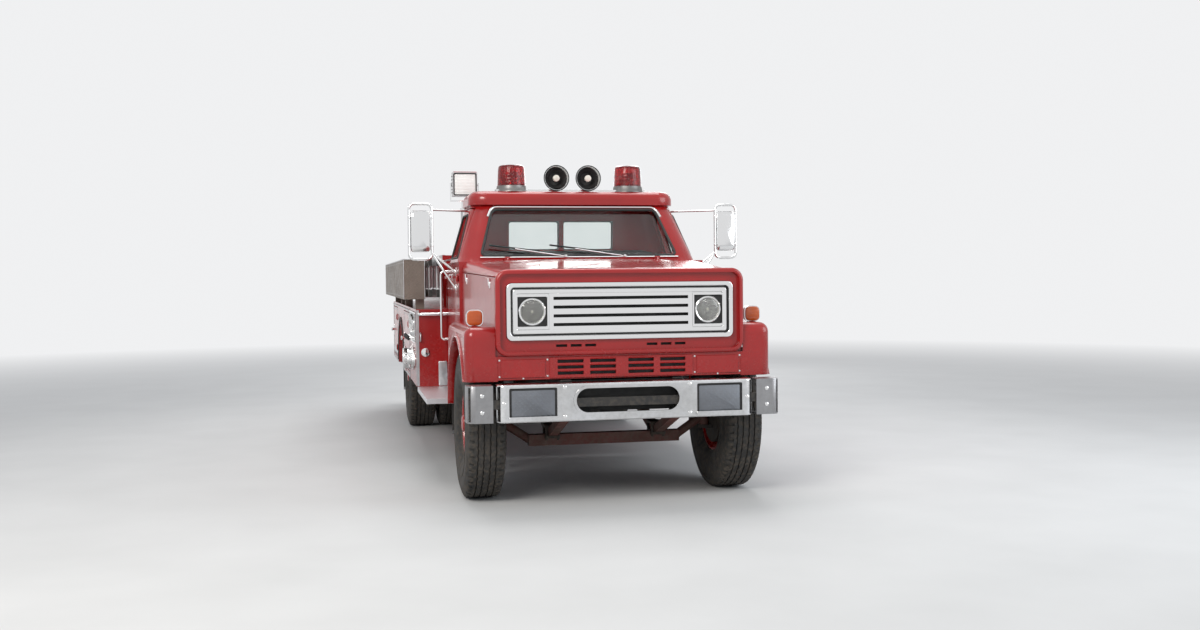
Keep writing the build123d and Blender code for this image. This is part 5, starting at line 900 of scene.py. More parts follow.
@dataclass
class Wheel:
    """A disc wheel with its tyres: rims, hand holes, nuts and hub.

    Attributes:
        rims: distance of each rim's middle and of its disc from the truck's middle.
        hub: where the hub starts and ends, out from the truck's middle.
        hole_steps: segments of the disc that a hand hole takes.
    """

    node: str
    body: str
    side: int
    station: float
    rims: list[Flat]
    hub: Flat
    bead: float = 0.257
    rim_half: float = 0.094
    rim_steps: int = 64
    disc_gauge: float = 0.012
    disc_steps: int = 60
    hand_holes: int = 5
    hand_hole: Flat = (0.15, 0.2)
    hole_steps: int = 5
    stud_circle: float = 0.1429
    studs: int = 10
    hub_radius: float = 0.078
    cap_circle: float = 0.069
    cap_bolts: int = 8

    def spot(self, out: float, radius: float, angle: float) -> Point:
        """A point out from the truck's middle, on a circle about the axle."""
        y, z = y_at(self.station) + radius * math.cos(angle), AXLE_Z + radius * math.sin(angle)
        return (self.side * out, y, z)

    def rim(self, piece: Workpiece, x: float) -> None:
        """Adds a rim.

        Args:
            piece: the wheel being made.
            x: middle of the rim.
        """
        bead, half = self.bead, self.rim_half
        section = [
            (x - half, bead + 0.001), (x - half, bead - 0.012), (x - half + 0.02, bead - 0.018),
            (x - half + 0.03, bead - 0.034), (x + half - 0.03, bead - 0.034),
            (x + half - 0.02, bead - 0.018), (x + half - 0.004, bead - 0.014),
            (x + half, bead - 0.006), (x + half, bead + 0.001),
            (x + half - 0.01, bead + 0.003), (x - half + 0.01, bead + 0.003),
        ]
        loops = [[self.spot(out, r, angle) for out, r in section] for angle in around(self.rim_steps)]
        piece.use(RED).skin(loops, wrap=True)

    def disc(self, piece: Workpiece, face: float) -> None:
        """Adds a pierced disc.

        Args:
            piece: the wheel being made.
            face: its outer face.
        """
        inner, outer = self.hand_hole
        rings = (
            (0.226, face - 0.012), (0.214, face - 0.004), (outer, face), (inner, face),
            (0.118, face - 0.006), (0.07, face - 0.006),
        )
        count, pitch = self.disc_steps, self.disc_steps // self.hand_holes
        for layer in (0.0, -self.disc_gauge):
            base = len(piece.points)
            for radius, out in rings:
                piece.points.extend(self.spot(out + layer, radius, angle) for angle in around(count))
            for row in range(len(rings) - 1):
                for k in range(count):
                    if rings[row][0] == outer and k % pitch < self.hole_steps:
                        continue
                    j = (k + 1) % count
                    a, b = base + row * count, base + (row + 1) * count
                    piece.faces.append((a + k, a + j, b + j, b + k))
            piece.settle()
        angles = around(count)
        for hole in range(self.hand_holes):
            steps = range(hole * pitch, hole * pitch + self.hole_steps + 1)
            edge = [(outer, angles[k]) for k in steps] + [(inner, angles[k]) for k in reversed(steps)]
            loops = [[self.spot(face + layer, *turn) for turn in edge] for layer in (0.0, -self.disc_gauge)]
            piece.skin(loops, capped=False)

    def nuts(self, piece: Workpiece, face: float) -> None:
        """Adds the wheel nuts and the dark seat of the hub.

        Args:
            piece: the wheel being made.
            face: outer face of the disc.
        """
        out = (self.side, 0, 0)
        piece.use(STEEL)
        for angle in around(self.studs, 0.5):
            seat = self.spot(face - 0.006, self.stud_circle, angle)
            piece.bolt(seat, out, 0.017, 0.024)
            piece.lathe(seat, out, [(0.02, 0.009), (0.034, 0.009), (0.036, 0.007)], 12)
        bore = [(face - 0.03, 0.001), (face - 0.03, 0.07), (face - 0.005, 0.071)]
        piece.use(MATT_BLACK).lathe((0, y_at(self.station), AXLE_Z), out, bore, 24)

    def build(self) -> None:
        """Makes the wheel."""
        y, out = y_at(self.station), (self.side, 0, 0)
        piece = Workpiece(f"{self.node}_dressed", [TYRE])
        for x, face in self.rims:
            piece.use(TYRE)
            Tyre(self.side * x).build(piece, y)
            self.rim(piece, x)
            self.disc(piece, face)
            self.nuts(piece, face)
        (start, end), r = self.hub, self.hub_radius
        hub = [
            (start, r), (end - 0.06, r), (end - 0.05, r - 0.004), (end - 0.045, r - 0.014),
            (end - 0.012, r - 0.018), (end - 0.004, r - 0.024), (end, r - 0.04), (end, 0.002),
        ]
        piece.use(RED).lathe((0, y, AXLE_Z), out, hub)
        piece.use(STEEL)
        for angle in around(self.cap_bolts):
            piece.bolt(self.spot(end - 0.046, self.cap_circle, angle), out, 0.007, 0.008)
        piece.make(self.body, self.node)


@dataclass
class Headlamps:
    """Round sealed-beam lamps in black square wells of the grille."""

    x: float = 0.614
    z: float = 1.333
    radius: float = 0.084
    well: float = 0.2
    face: float = -612.0
    corners: int = 40

    def lamp(self, side: int) -> Object:
        """One lamp: well, chrome rim, reflector, bulb and fluted lens.

        Args:
            side: -1 right, 1 left.

        Returns:
            The object.
        """
        bench = facing_front(side * self.x, self.face, self.z)
        centre, r = bench.origin, self.radius
        piece = Workpiece(f"headlamp_{side_name(side)}", [MATT_BLACK])
        square = rounded(self.well, self.well, 0.008, self.corners // 4 - 1)
        hole = []
        for a, b in square:
            grow = r * 1.03 / math.hypot(a, b)
            hole.append((a * grow, b * grow))
        piece.ring(bench, square, hole, -0.018, -0.013)
        rim = [(-0.013, r + 0.008), (-0.005, r + 0.008), (-0.001, r + 0.003), (-0.003, r - 0.003)]
        piece.use(CHROME).lathe(centre, AHEAD, rim + [(-0.013, r - 0.003)], 48)
        bowl = [(-0.0115, r - 0.004), (-0.016, r * 0.8), (-0.022, r * 0.55), (-0.027, r * 0.3)]
        piece.use(REFLECTOR).lathe(centre, AHEAD, bowl + [(-0.029, 0.002)], 48, capped=False)
        bulb = [(-0.028, 0.012), (-0.016, 0.012), (-0.011, 0.008), (-0.009, 0.001)]
        piece.use(IVORY).lathe(centre, AHEAD, bulb, 20)
        lens = [(-0.009, r - 0.003), (-0.002, r * 0.8), (0.002, r * 0.5), (0.0035, r * 0.2), (0.004, 0.001)]
        lens += [(along - 0.003, radius) for along, radius in reversed(lens)]
        piece.use(LENS).lathe(centre, AHEAD, lens, 48)
        return piece.make()

    def build(self) -> list[Object]:
        """Makes both lamps."""
        return [self.lamp(side) for side in SIDES]


@dataclass
class SmallLamps:
    """Amber turn signals on the fenders, roof markers, and red lamps at the tail."""

    signal_x: float = 0.986
    signal_station: float = -440.0
    signal_z: float = 1.293
    signal_size: Flat = (0.114, 0.112)
    fender_top: float = 1.236
    marker_x: Row = (-0.6, -0.15, 0.0, 0.15, 0.6)
    marker_station: float = 1098.0
    marker_z: float = 2.222
    tail_x: float = 1.13
    tail_station: float = 6110.0
    tail_z: Flat = (0.96, 1.06)

    def signal(self, side: int) -> Object:
        """One turn signal: a chrome barrel with an amber lens at both ends, on a red band and foot.

        Args:
            side: -1 right, 1 left.

        Returns:
            The object.
        """
        piece = Workpiece(f"turn_signal_{side_name(side)}", [AMBER])
        x, z = side * self.signal_x, self.signal_z
        width, height = self.signal_size
        for sign in (1, -1):
            bench = Bench((x, y_at(self.signal_station), z), (sign, 0, 0), (0, 0, 1))
            lens = rounded(width - 0.01, height - 0.01, 0.03)
            piece.use(AMBER).plate(bench, lens, 0.012, 0.034, 0.01)
            rim = rounded(width, height, 0.034), rounded(width - 0.012, height - 0.012, 0.03)
            piece.use(CHROME).ring(bench, *rim, 0.008, 0.02)
        band = rounded(width - 0.004, height - 0.004, 0.032)
        piece.use(RED).plate(facing_front(x, self.signal_station + 12, z), band, 0.0, 0.024)
        centre = (x, y_at(self.signal_station), self.fender_top)
        top = z - height / 2 + 0.006 - self.fender_top
        piece.lathe(centre, UP, [(0.0, 0.034), (0.004, 0.03), (0.006, 0.018), (top, 0.018)], 20)
        return piece.make()

    def build(self, headlamps: list[Object]) -> None:
        """Makes the small lamps; with the headlamps they stand for the node of all lamps.

        Args:
            headlamps: the headlamp objects; not used.
        """
        for side in SIDES:
            self.signal(side)
        markers = Workpiece("roof_markers", [AMBER])
        for x in self.marker_x:
            bench = facing_front(x, self.marker_station, self.marker_z)
            markers.use(AMBER).plate(bench, rounded(0.05, 0.032, 0.013), 0.0, 0.012, 0.006)
            markers.use(CHROME).plate(bench, rounded(0.058, 0.04, 0.016), -0.05, 0.001)
        markers.make()
        tails = Workpiece("tail_lamps", [TAIL_RED])
        rim = [(0, 0.046), (0.012, 0.046), (0.014, 0.042), (0.012, 0.04)]
        dome = [(0.002, 0.041), (0.016, 0.04), (0.024, 0.03), (0.026, 0.001)]
        for side, z in product(SIDES, self.tail_z):
            centre = (side * self.tail_x, y_at(self.tail_station), z)
            tails.use(CHROME).lathe(centre, ASTERN, rim)
            tails.use(TAIL_RED).lathe(centre, ASTERN, dome)
        tails.make()
        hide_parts("lamps")


@dataclass
class GrilleDressing:
    """Black line between the chrome rings, and dark screens behind the bars and nose slots."""

    half: float = 0.793
    low: float = 1.137
    high: float = 1.529
    ring: float = 0.03
    gap: float = 0.016
    face: float = -592.0
    core: Point = (0.0, -570.0, 1.333)
    slots: Point = (0.315, -572.0, 1.101)

    def build(self) -> None:
        """Makes the liners."""
        height = self.high - self.low
        bench = facing_front(0, self.face, (self.low + self.high) / 2)
        piece = Workpiece("grille_liner", [MATT_BLACK])
        start, stop = self.ring + 0.003, self.ring + self.gap - 0.001
        edges = []
        for inset, corner in ((start, 0.024), (stop, 0.016)):
            edges.append(rounded(2 * (self.half - inset), height - 2 * inset, corner))
        piece.ring(bench, *edges, 0.0005, 0.004)
        piece.use(CORE).plate(facing_front(*self.core), rounded(0.968, 0.28, 0.004, 1), 0.0, 0.006)
        piece.make()
        slots = Workpiece("nose_slots", [CORE])
        x, station, z = self.slots
        for side in SIDES:
            slots.plate(facing_front(side * x, station, z), rounded(0.29, 0.026, 0.002, 1), 0.0, 0.004)
        slots.make()


@dataclass
class BumperDressing:
    """Step pads with their rings and lips, slot screen and bolts of the bumper.

    Attributes:
        window: width and height of the opening round a pad.
        border: width of the black ring, twice over.
        end_x: where the set-back end pieces start.
    """

    face: float = -780.0
    pad_x: float = 0.64
    window: Flat = (0.318, 0.203)
    pad_z: float = 0.7335
    pad_depth: float = 9.0
    border: float = 0.03
    lip_z: float = 0.635
    lip_reach: float = 19.5
    bolts: Flats = ((0.43, 0.64), (0.43, 0.835), (0.835, 0.735), (0.978, 0.68), (0.978, 0.79))
    end_x: float = 0.9
    slot: Flat = (0.7, 0.154)
    slot_z: float = 0.745

    def build(self) -> None:
        """Makes the bumper's details."""
        piece = Workpiece("bumper_pads", [STEP_PAD])
        width, height = self.window
        pad = rounded(width - self.border, height - self.border, 0.008)
        for side in SIDES:
            bench = facing_front(side * self.pad_x, self.face + self.pad_depth, self.pad_z)
            piece.use(STEP_PAD).plate(bench, pad, -0.001, 0.004, 0.002)
            piece.use(MATT_BLACK).ring(bench, rounded(width, height, 0.01), pad, -0.001, 0.002)
            lip = facing_front(side * self.pad_x, self.face - self.lip_reach, self.lip_z)
            piece.use(CHROME).plate(lip, rounded(width + 0.006, 0.022, 0.008), -0.003, 0.0, 0.002)
        piece.make()
        bolts = Workpiece("bumper_bolts", [CHROME])
        head = [(-0.001, 0.014), (0.004, 0.013), (0.007, 0.007), (0.008, 0.001)]
        for side, (x, z) in product(SIDES, self.bolts):
            station = self.face + (8 if x > self.end_x else 0)
            bolts.lathe((side * x, y_at(station), z), AHEAD, head, 20)
        bolts.make()
        screen = Workpiece("bumper_screen", [CORE])
        screen.plate(facing_front(0, self.face + 60, self.slot_z), rounded(*self.slot, 0.07, 8), 0.0, 0.003)
        screen.make()


@dataclass
class RoofLights:
    """Two domed beacons and the siren horns between them."""

    station: float = 1230.0
    roof: float = 2.262
    base_z: float = 2.307
    flare: Flat = (0.134, 0.121)
    beacon_x: float = 0.488
    beacon_radius: float = 0.114
    beacon_height: float = 0.176
    lamp_z: float = 0.072
    horn_x: float = 0.132
    horn_z: float = 2.372
    horn_radius: float = 0.098
    horn_reach: float = 108.0

    def beacon(self, side: int) -> Object:
        """One beacon: flared grey skirt, red dome, and two lamp bowls on a post inside.

        Args:
            side: -1 right, 1 left.

        Returns:
            The object.
        """
        centre = (side * self.beacon_x, y_at(self.station), self.base_z)
        piece = Workpiece(f"beacon_{side_name(side)}", [BEACON_GLASS])
        r, h = self.beacon_radius, self.beacon_height
        outer = [(0.002, r), (h * 0.72, r * 0.955), (h * 0.88, r * 0.93), (h * 0.95, r * 0.87)]
        outer += [(h * 0.985, r * 0.74), (h * 0.998, r * 0.4), (h, 0.004)]
        inner = []
        for along, radius in reversed(outer):
            inner.append((along - 0.004, radius - 0.004 if radius > 0.01 else radius))
        piece.lathe(centre, UP, outer + inner, 56)
        foot, shoulder = self.flare
        drop = self.roof - self.base_z
        skirt = [(drop, foot), (drop + 0.006, foot), (drop + 0.012, foot - 0.004), (-0.012, shoulder)]
        skirt += [(0.004, shoulder - 0.002), (0.006, r + 0.0015), (0.0, r * 0.96), (drop, foot - 0.006)]
        piece.use(PEWTER).lathe(centre, UP, skirt, 56)
        piece.lathe(centre, UP, [(0.014, r * 0.92), (0.018, r * 0.9), (0.02, 0.03), (0.021, 0.001)], 40)
        post = [(0.02, 0.05), (0.03, 0.048), (0.034, 0.02), (0.12, 0.014)]
        piece.use(CHROME).lathe(centre, UP, post, 24)
        spot = (centre[0], centre[1], centre[2] + self.lamp_z)
        bowl = [(0.012, 0.004), (0.02, 0.026), (0.036, 0.042), (0.056, 0.05)]
        bulb = [(0.014, 0.008), (0.036, 0.011), (0.046, 0.005)]
        for turn in (0.35, math.pi + 0.35):
            way = (math.sin(turn), -math.cos(turn), 0)
            piece.use(REFLECTOR).lathe(spot, way, bowl, 32, capped=False)
            piece.use(IVORY).lathe(spot, way, bulb, 16)
        return piece.make()

    def build(self) -> None:
        """Makes the beacons and the horns' insides."""
        first, _ = (self.beacon(side) for side in SIDES)
        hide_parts("beacons")
        horns = Workpiece("horn_insides", [MATT_BLACK])
        throat = [(0.01, self.horn_radius * 0.97), (0.06, 0.062), (0.085, 0.05), (0.086, 0.002)]
        plug = [(-0.03, 0.0265), (-0.002, 0.026), (0.002, 0.02), (0.003, 0.002)]
        for side in SIDES:
            centre = (side * self.horn_x, y_at(self.station - self.horn_reach), self.horn_z)
            horns.use(MATT_BLACK).lathe(centre, ASTERN, throat, 40, capped=False)
            horns.use(IVORY).lathe(centre, AHEAD, plug, 28)
            mouth = facing_front(side * self.horn_x, self.station - self.horn_reach - 2, self.horn_z)
            horns.use(CHROME).ring(mouth, circle(0.106, 48), circle(0.095, 48), -0.003, 0.0)
        horns.make()


@dataclass
class Mirror:
    """A western mirror: round-topped loop of tube, struts to the door and a tall head.

    Attributes:
        elbow: how far from the loop's ends the struts and the arm join it.
    """

    side: int
    tubes: Flat = (1.16, 1.338)
    station: float = 950.0
    ends: Flat = (1.7125, 2.1475)
    tube: float = 0.0105
    elbow: float = 0.046
    arm: tuple[Point, Point] = ((0.87, 1175.0, 2.104), (0.842, 1198.0, 2.1))
    struts: Flat = (1.612, 1.48)
    head: Flat = (1.772, 2.094)

    def build(self) -> None:
        """Makes the mirror."""
        side, y = self.side, y_at(self.station)
        piece = Workpiece(f"mirror_{side_name(side)}_dressed", [CHROME])
        (inner, outer), (low, high) = self.tubes, self.ends
        corners = ((outer, low), (outer, high), (inner, high), (inner, low))
        loop = bend([(side * x, y, z) for x, z in corners], 0.05, 6, closed=True)
        piece.tube(loop, self.tube, 12, closed=True)
        arm = [(side * inner, y, high - self.elbow)]
        arm += [(side * x, y_at(station), z) for x, station, z in self.arm]
        piece.tube(bend(arm, 0.05), 0.008)
        apex = (side * inner, y, low + self.elbow)
        for z in self.struts:
            piece.tube([apex, (side * 0.974, y, z)], 0.009)
            foot = facing_side(side, side * 0.975, self.station, z)
            piece.plate(foot, rounded(0.05, 0.07, 0.02), 0.0, 0.004)
        bench = facing_front(side * (inner + outer) / 2, self.station, sum(self.head) / 2)
        width, height = outer - inner - 0.026, self.head[1] - self.head[0]
        piece.plate(bench, rounded(width, height, 0.024), -0.01, 0.019, 0.018)
        collar = [(0, 0.0106), (0.001, 0.0108), (0.023, 0.0108), (0.024, 0.0106)]
        for z, x in product((self.head[0] + 0.05, self.head[1] - 0.05), self.tubes):
            piece.lathe((side * x, y, z - 0.012), UP, collar, 16)
        rim = rounded(width + 0.002, height + 0.002, 0.026)
        glass = rounded(width - 0.008, height - 0.008, 0.02)
        piece.use(RUBBER).ring(bench, rim, glass, -0.0115, -0.006)
        piece.use(REFLECTOR).plate(bench, glass, -0.011, -0.009)
        piece.make(f"cab_door_{side_name(side)}", f"mirror_{side_name(side)}")


@dataclass
class CabTrim:
    """Window rubbers, header moulding, wipers, door handles and grab rails of the cab.

    Attributes:
        base: station and half width of the glass house's front at the belt.
        head: the same at the roof rail.
        lean_back: how far forward the back leans at the rail, in millimetres.
        wipers: place of each wiper's foot and reach of its arm.
    """

    belt: float = 1.69
    rail: float = 2.15
    base: Flat = (790.0, 0.965)
    head: Flat = (1085.0, 0.83)
    back: float = 1720.0
    lean_back: float = 30.0
    screen: Flats = ((-0.79, 1.735), (0.79, 1.735), (0.672, 2.11), (-0.672, 2.11))
    panes: Flats = ((-0.455, -0.02), (0.02, 0.455))
    pane_z: Flat = (1.8, 2.045)
    door_window: Flats = ((965, 1.725), (1160, 2.075), (1525, 2.075), (1525, 1.725))
    header: Flats = ((-0.712, 2.05), (-0.676, 2.132), (0.676, 2.132), (0.712, 2.05))
    wipers: Flats = ((-0.12, -0.4), (0.36, -0.4))
    skin: float = 0.975
    handle_z: float = 1.571
    handle_stations: Row = (1334.0, 1514.0, 1548.0)
    rail_station: float = 1668.0
    rail_z: Flat = (1.05, 1.62)

    def share(self, z: float) -> float:
        """How far up the glass house a height is, from 0 to 1."""
        return (z - self.belt) / (self.rail - self.belt)

    def front(self, x: float, z: float, out: float = 0.0) -> Point:
        """A point on the leaning front of the glass house."""
        station = self.base[0] + self.share(z) * (self.head[0] - self.base[0])
        return (x, y_at(station) - out, z)

    def flank(self, side: int, station: float, z: float) -> Point:
        """A point on the leaning side of the glass house."""
        half = self.base[1] + self.share(z) * (self.head[1] - self.base[1])
        return (side * half, y_at(station), z)

    def rear(self, x: float, z: float) -> Point:
        """A point on the back of the glass house."""
        return (x, y_at(self.back - self.share(z) * self.lean_back), z)

    def rubbers(self) -> None:
        """Makes the rubber round each window."""
        screen = [self.front(x, z) for x, z in self.screen]
        piece = Workpiece("window_rubbers", [RUBBER])
        piece.tube(bend(screen, 0.05, 6, closed=True), 0.011, closed=True)
        bottom, top = self.pane_z
        for low, high in self.panes:
            corners = ((low, bottom), (high, bottom), (high, top), (low, top))
            pane = [self.rear(x, z) for x, z in corners]
            piece.tube(bend(pane, 0.03, 5, closed=True), 0.008, closed=True)
        piece.make()
        for side in SIDES:
            outline = [self.flank(side, station, z) for station, z in self.door_window]
            rubber = Workpiece(f"door_rubber_{side_name(side)}", [RUBBER])
            rubber.tube(bend(outline, 0.035, 5, closed=True), 0.008, closed=True)
            rubber.make(f"cab_door_{side_name(side)}")

    def brightwork(self) -> None:
        """Makes the header moulding, cowl strip and wipers."""
        piece = Workpiece("header_moulding", [CHROME])
        piece.tube(bend([self.front(x, z, 0.004) for x, z in self.header], 0.05, 6), 0.012)
        piece.tube([self.front(x, 1.722, 0.01) for x in (-0.8, 0.8)], 0.006)
        piece.make()
        wipers = Workpiece("wipers", [MATT_BLACK])
        for x, reach in self.wipers:
            foot, tip = self.front(x, 1.728, 0.016), self.front(x + reach, 1.79, 0.018)
            wipers.use(CHROME).lathe(foot, (0, -1, 0.5), [(-0.02, 0.018), (0.004, 0.016), (0.012, 0.01)], 16)
            wipers.tube([foot, tip], 0.005)
            blade = [self.front(x + reach + dx, 1.79 + dz, 0.01) for dx, dz in ((-0.2, 0.03), (0.2, -0.02))]
            wipers.use(MATT_BLACK).tube(blade, 0.007)
        wipers.make()

    def handles(self) -> None:
        """Makes the door handles and grab rails."""
        *plates, button = self.handle_stations
        knob = [(0, 0.014), (0.016, 0.013), (0.018, 0.009), (0.0185, 0.001)]
        for side in SIDES:
            x = side * self.skin
            piece = Workpiece(f"door_handle_{side_name(side)}", [CHROME])
            for station in plates:
                bench = facing_side(side, x, station, self.handle_z)
                piece.plate(bench, rounded(0.04, 0.05, 0.012), 0.0, 0.005)
            piece.lathe((x, y_at(button), self.handle_z), (side, 0, 0), knob, 20)
            piece.make(f"cab_door_{side_name(side)}")
        rails = Workpiece("cab_grab_rails", [CHROME])
        y, (low, high) = y_at(self.rail_station), self.rail_z
        for side in SIDES:
            near, far = side * 0.974, side * 1.005 + side * 0.03
            path = [(near, y, low), (far, y, low), (far, y, high), (near, y, high)]
            rails.tube(bend(path, 0.03), 0.011, 12)
        rails.make()

    def build(self) -> None:
        """Makes all the cab's trim."""
        self.rubbers()
        self.brightwork()
        self.handles()


@dataclass
class Seat:
    """A soft bench: crowned cushion and backrest with sewn channels, on a painted plinth.

    Attributes:
        pinch: share of the section that is left at the pads' ends.
    """

    half: float = 0.795
    cushion: Flats = ((1244.0, 1618.0), (1.215, 1.345))
    back: Flats = ((1566.0, 1655.0), (1.36, 1.79))
    plinth: Flats = ((1302.0, 1630.0), (0.961, 1.214))
    plinth_half: float = 0.74
    crown: float = 0.022
    channels: int = 22
    channel_steps: int = 6
    seam: float = 0.007
    pinch: float = 0.84
    welts: Flat = (0.02, 0.012)

    def pad(self, piece: Workpiece, along: Flat, up: Flat, crowned_up: bool) -> None:
        """Adds a stuffed block whose sewn face is crowned.

        Args:
            piece: the seat being made.
            along: its first and last station.
            up: its low and high Z.
            crowned_up: whether the crowned face looks up; otherwise it looks forwards.
        """
        middle = ((along[0] + along[1]) / 2, (up[0] + up[1]) / 2)
        size = ((along[1] - along[0]) / 2000, (up[1] - up[0]) / 2)
        loops = []
        steps = self.channels * self.channel_steps
        for step in range(steps + 1):
            share = step / steps
            x = self.half * (2 * share - 1)
            ends = min(1.0, 14 * min(share, 1 - share)) ** 0.4 * 0.16 + self.pinch
            sewn = self.seam * (1 - abs(math.sin(math.pi * share * self.channels)) ** 0.35)
            loop = []
            for a, b in rounded(2 * size[0], 2 * size[1], min(size) * 0.62, 5):
                face, across = (b / size[1], a / size[0]) if crowned_up else (-a / size[0], b / size[1])
                lift = (self.crown * (1 - across ** 2) - sewn) * max(0.0, face) * ends
                a, b = a * ends, b * ends
                y = y_at(middle[0]) + a - (0.0 if crowned_up else lift)
                loop.append((x, y, middle[1] + b + (lift if crowned_up else 0.0)))
            loops.append(loop)
        piece.skin(loops)

    def build(self) -> None:
        """Makes the seat."""
        piece = Workpiece("bench_seat_dressed", [VINYL])
        self.pad(piece, *self.cushion, True)
        self.pad(piece, *self.back, False)
        piece.use(RUBBER)
        y, (low, high) = y_at(self.cushion[0][0] + 2), self.cushion[1]
        for z in (low + self.welts[0], high - self.welts[1]):
            piece.tube([(x, y, z) for x in (-self.half + 0.03, self.half - 0.03)], 0.004, 6)
        (front, rear), (low, high) = self.plinth
        half = self.plinth_half
        piece.use(DASH).box((-half, y_at(front), low), (half, y_at(rear), high))
        seat = piece.make(replaces="bench_seat")


@dataclass
class Dash:
    """Dials, knobs and glove box on the dashboard, horn ring and boss on its steering wheel."""

    column: Point = (0.42, 1130.0, 1.56)
    tilt: float = 38.0
    ring: float = 0.12
    spokes: Row = (0.52, 2.62, 4.71)
    face: float = 952.0
    panel: float = 930.0
    dials: Flats = ((0.31, 0.05), (0.53, 0.05), (0.42, 0.034))
    dial_z: float = 1.57
    knobs: Row = (-0.05, 0.02, 0.09, 0.16)
    knob_z: float = 1.53
    lid: Flat = (-0.52, 1.56)

    def gauges(self) -> None:
        """Makes the dials, knobs and glove box."""
        piece = Workpiece("dash_dials", [MATT_BLACK])
        for x, radius in self.dials:
            centre = (x, y_at(self.face), self.dial_z)
            bezel = [(0, radius), (0.008, radius), (0.009, radius - 0.004)]
            piece.use(CHROME).lathe(centre, ASTERN, bezel)
            piece.use(IVORY).lathe(centre, ASTERN, [(0.009, radius - 0.005), (0.0095, 0.001)])
            needle = [(-0.002, 0.0), (0.002, 0.0), (0.0005, radius * 0.75), (-0.0005, radius * 0.75)]
            bench = Bench((x, y_at(self.face) + 0.01, self.dial_z), (-1, 0, 0), (0.3, 0, 0.954))
            piece.use(MATT_BLACK).plate(bench, needle, 0.0, 0.001)
        knob = [(0, 0.006), (0.02, 0.006), (0.021, 0.013), (0.034, 0.012)]
        for x in self.knobs:
            piece.lathe((x, y_at(self.panel), self.knob_z), ASTERN, knob, 16)
        lid = Bench((self.lid[0], y_at(self.panel), self.lid[1]), (-1, 0, 0), (0, 0, 1))
        piece.use(DASH).plate(lid, rounded(0.42, 0.12, 0.02), 0.0, 0.006, 0.003)
        piece.use(CHROME).plate(lid, rounded(0.05, 0.012, 0.005), 0.006, 0.014, 0.002)
        piece.make()

    def wheel(self) -> None:
        """Makes the steering wheel's horn ring and boss."""
        x, station, z = self.column
        angle = math.radians(self.tilt)
        axis = (0, math.cos(angle), math.sin(angle))
        centre = (x, y_at(station), z)
        piece = Workpiece("steering_boss", [CHROME])
        hub, along, u = Vector(centre), Vector(axis), Vector((1, 0, 0))
        v = along.cross(u)
        ring = [tuple(hub + along * 0.024 + u * a + v * b) for a, b in circle(self.ring, 36)]
        piece.tube(ring, 0.004, 8, closed=True)
        for turn in self.spokes:
            way = u * math.cos(turn) + v * math.sin(turn)
            piece.tube([tuple(hub + along * 0.022 + way * r) for r in (0.03, self.ring)], 0.003, 8)
        piece.lathe(centre, axis, [(0.016, 0.045), (0.026, 0.043), (0.032, 0.03), (0.034, 0.001)], 28)
        piece.make()

    def build(self) -> None:
        """Makes the dashboard's details."""
        self.gauges()
        self.wheel()


@dataclass
class Flank:
    """One side of the body behind the cab.

    Attributes:
        skin: distance of its face from the middle.
    """

    side: int
    skin: float = 1.24

    def bench(self, station: float, z: float) -> Bench:
        """A plane on the skin."""
        return facing_side(self.side, self.side * self.skin, station, z)


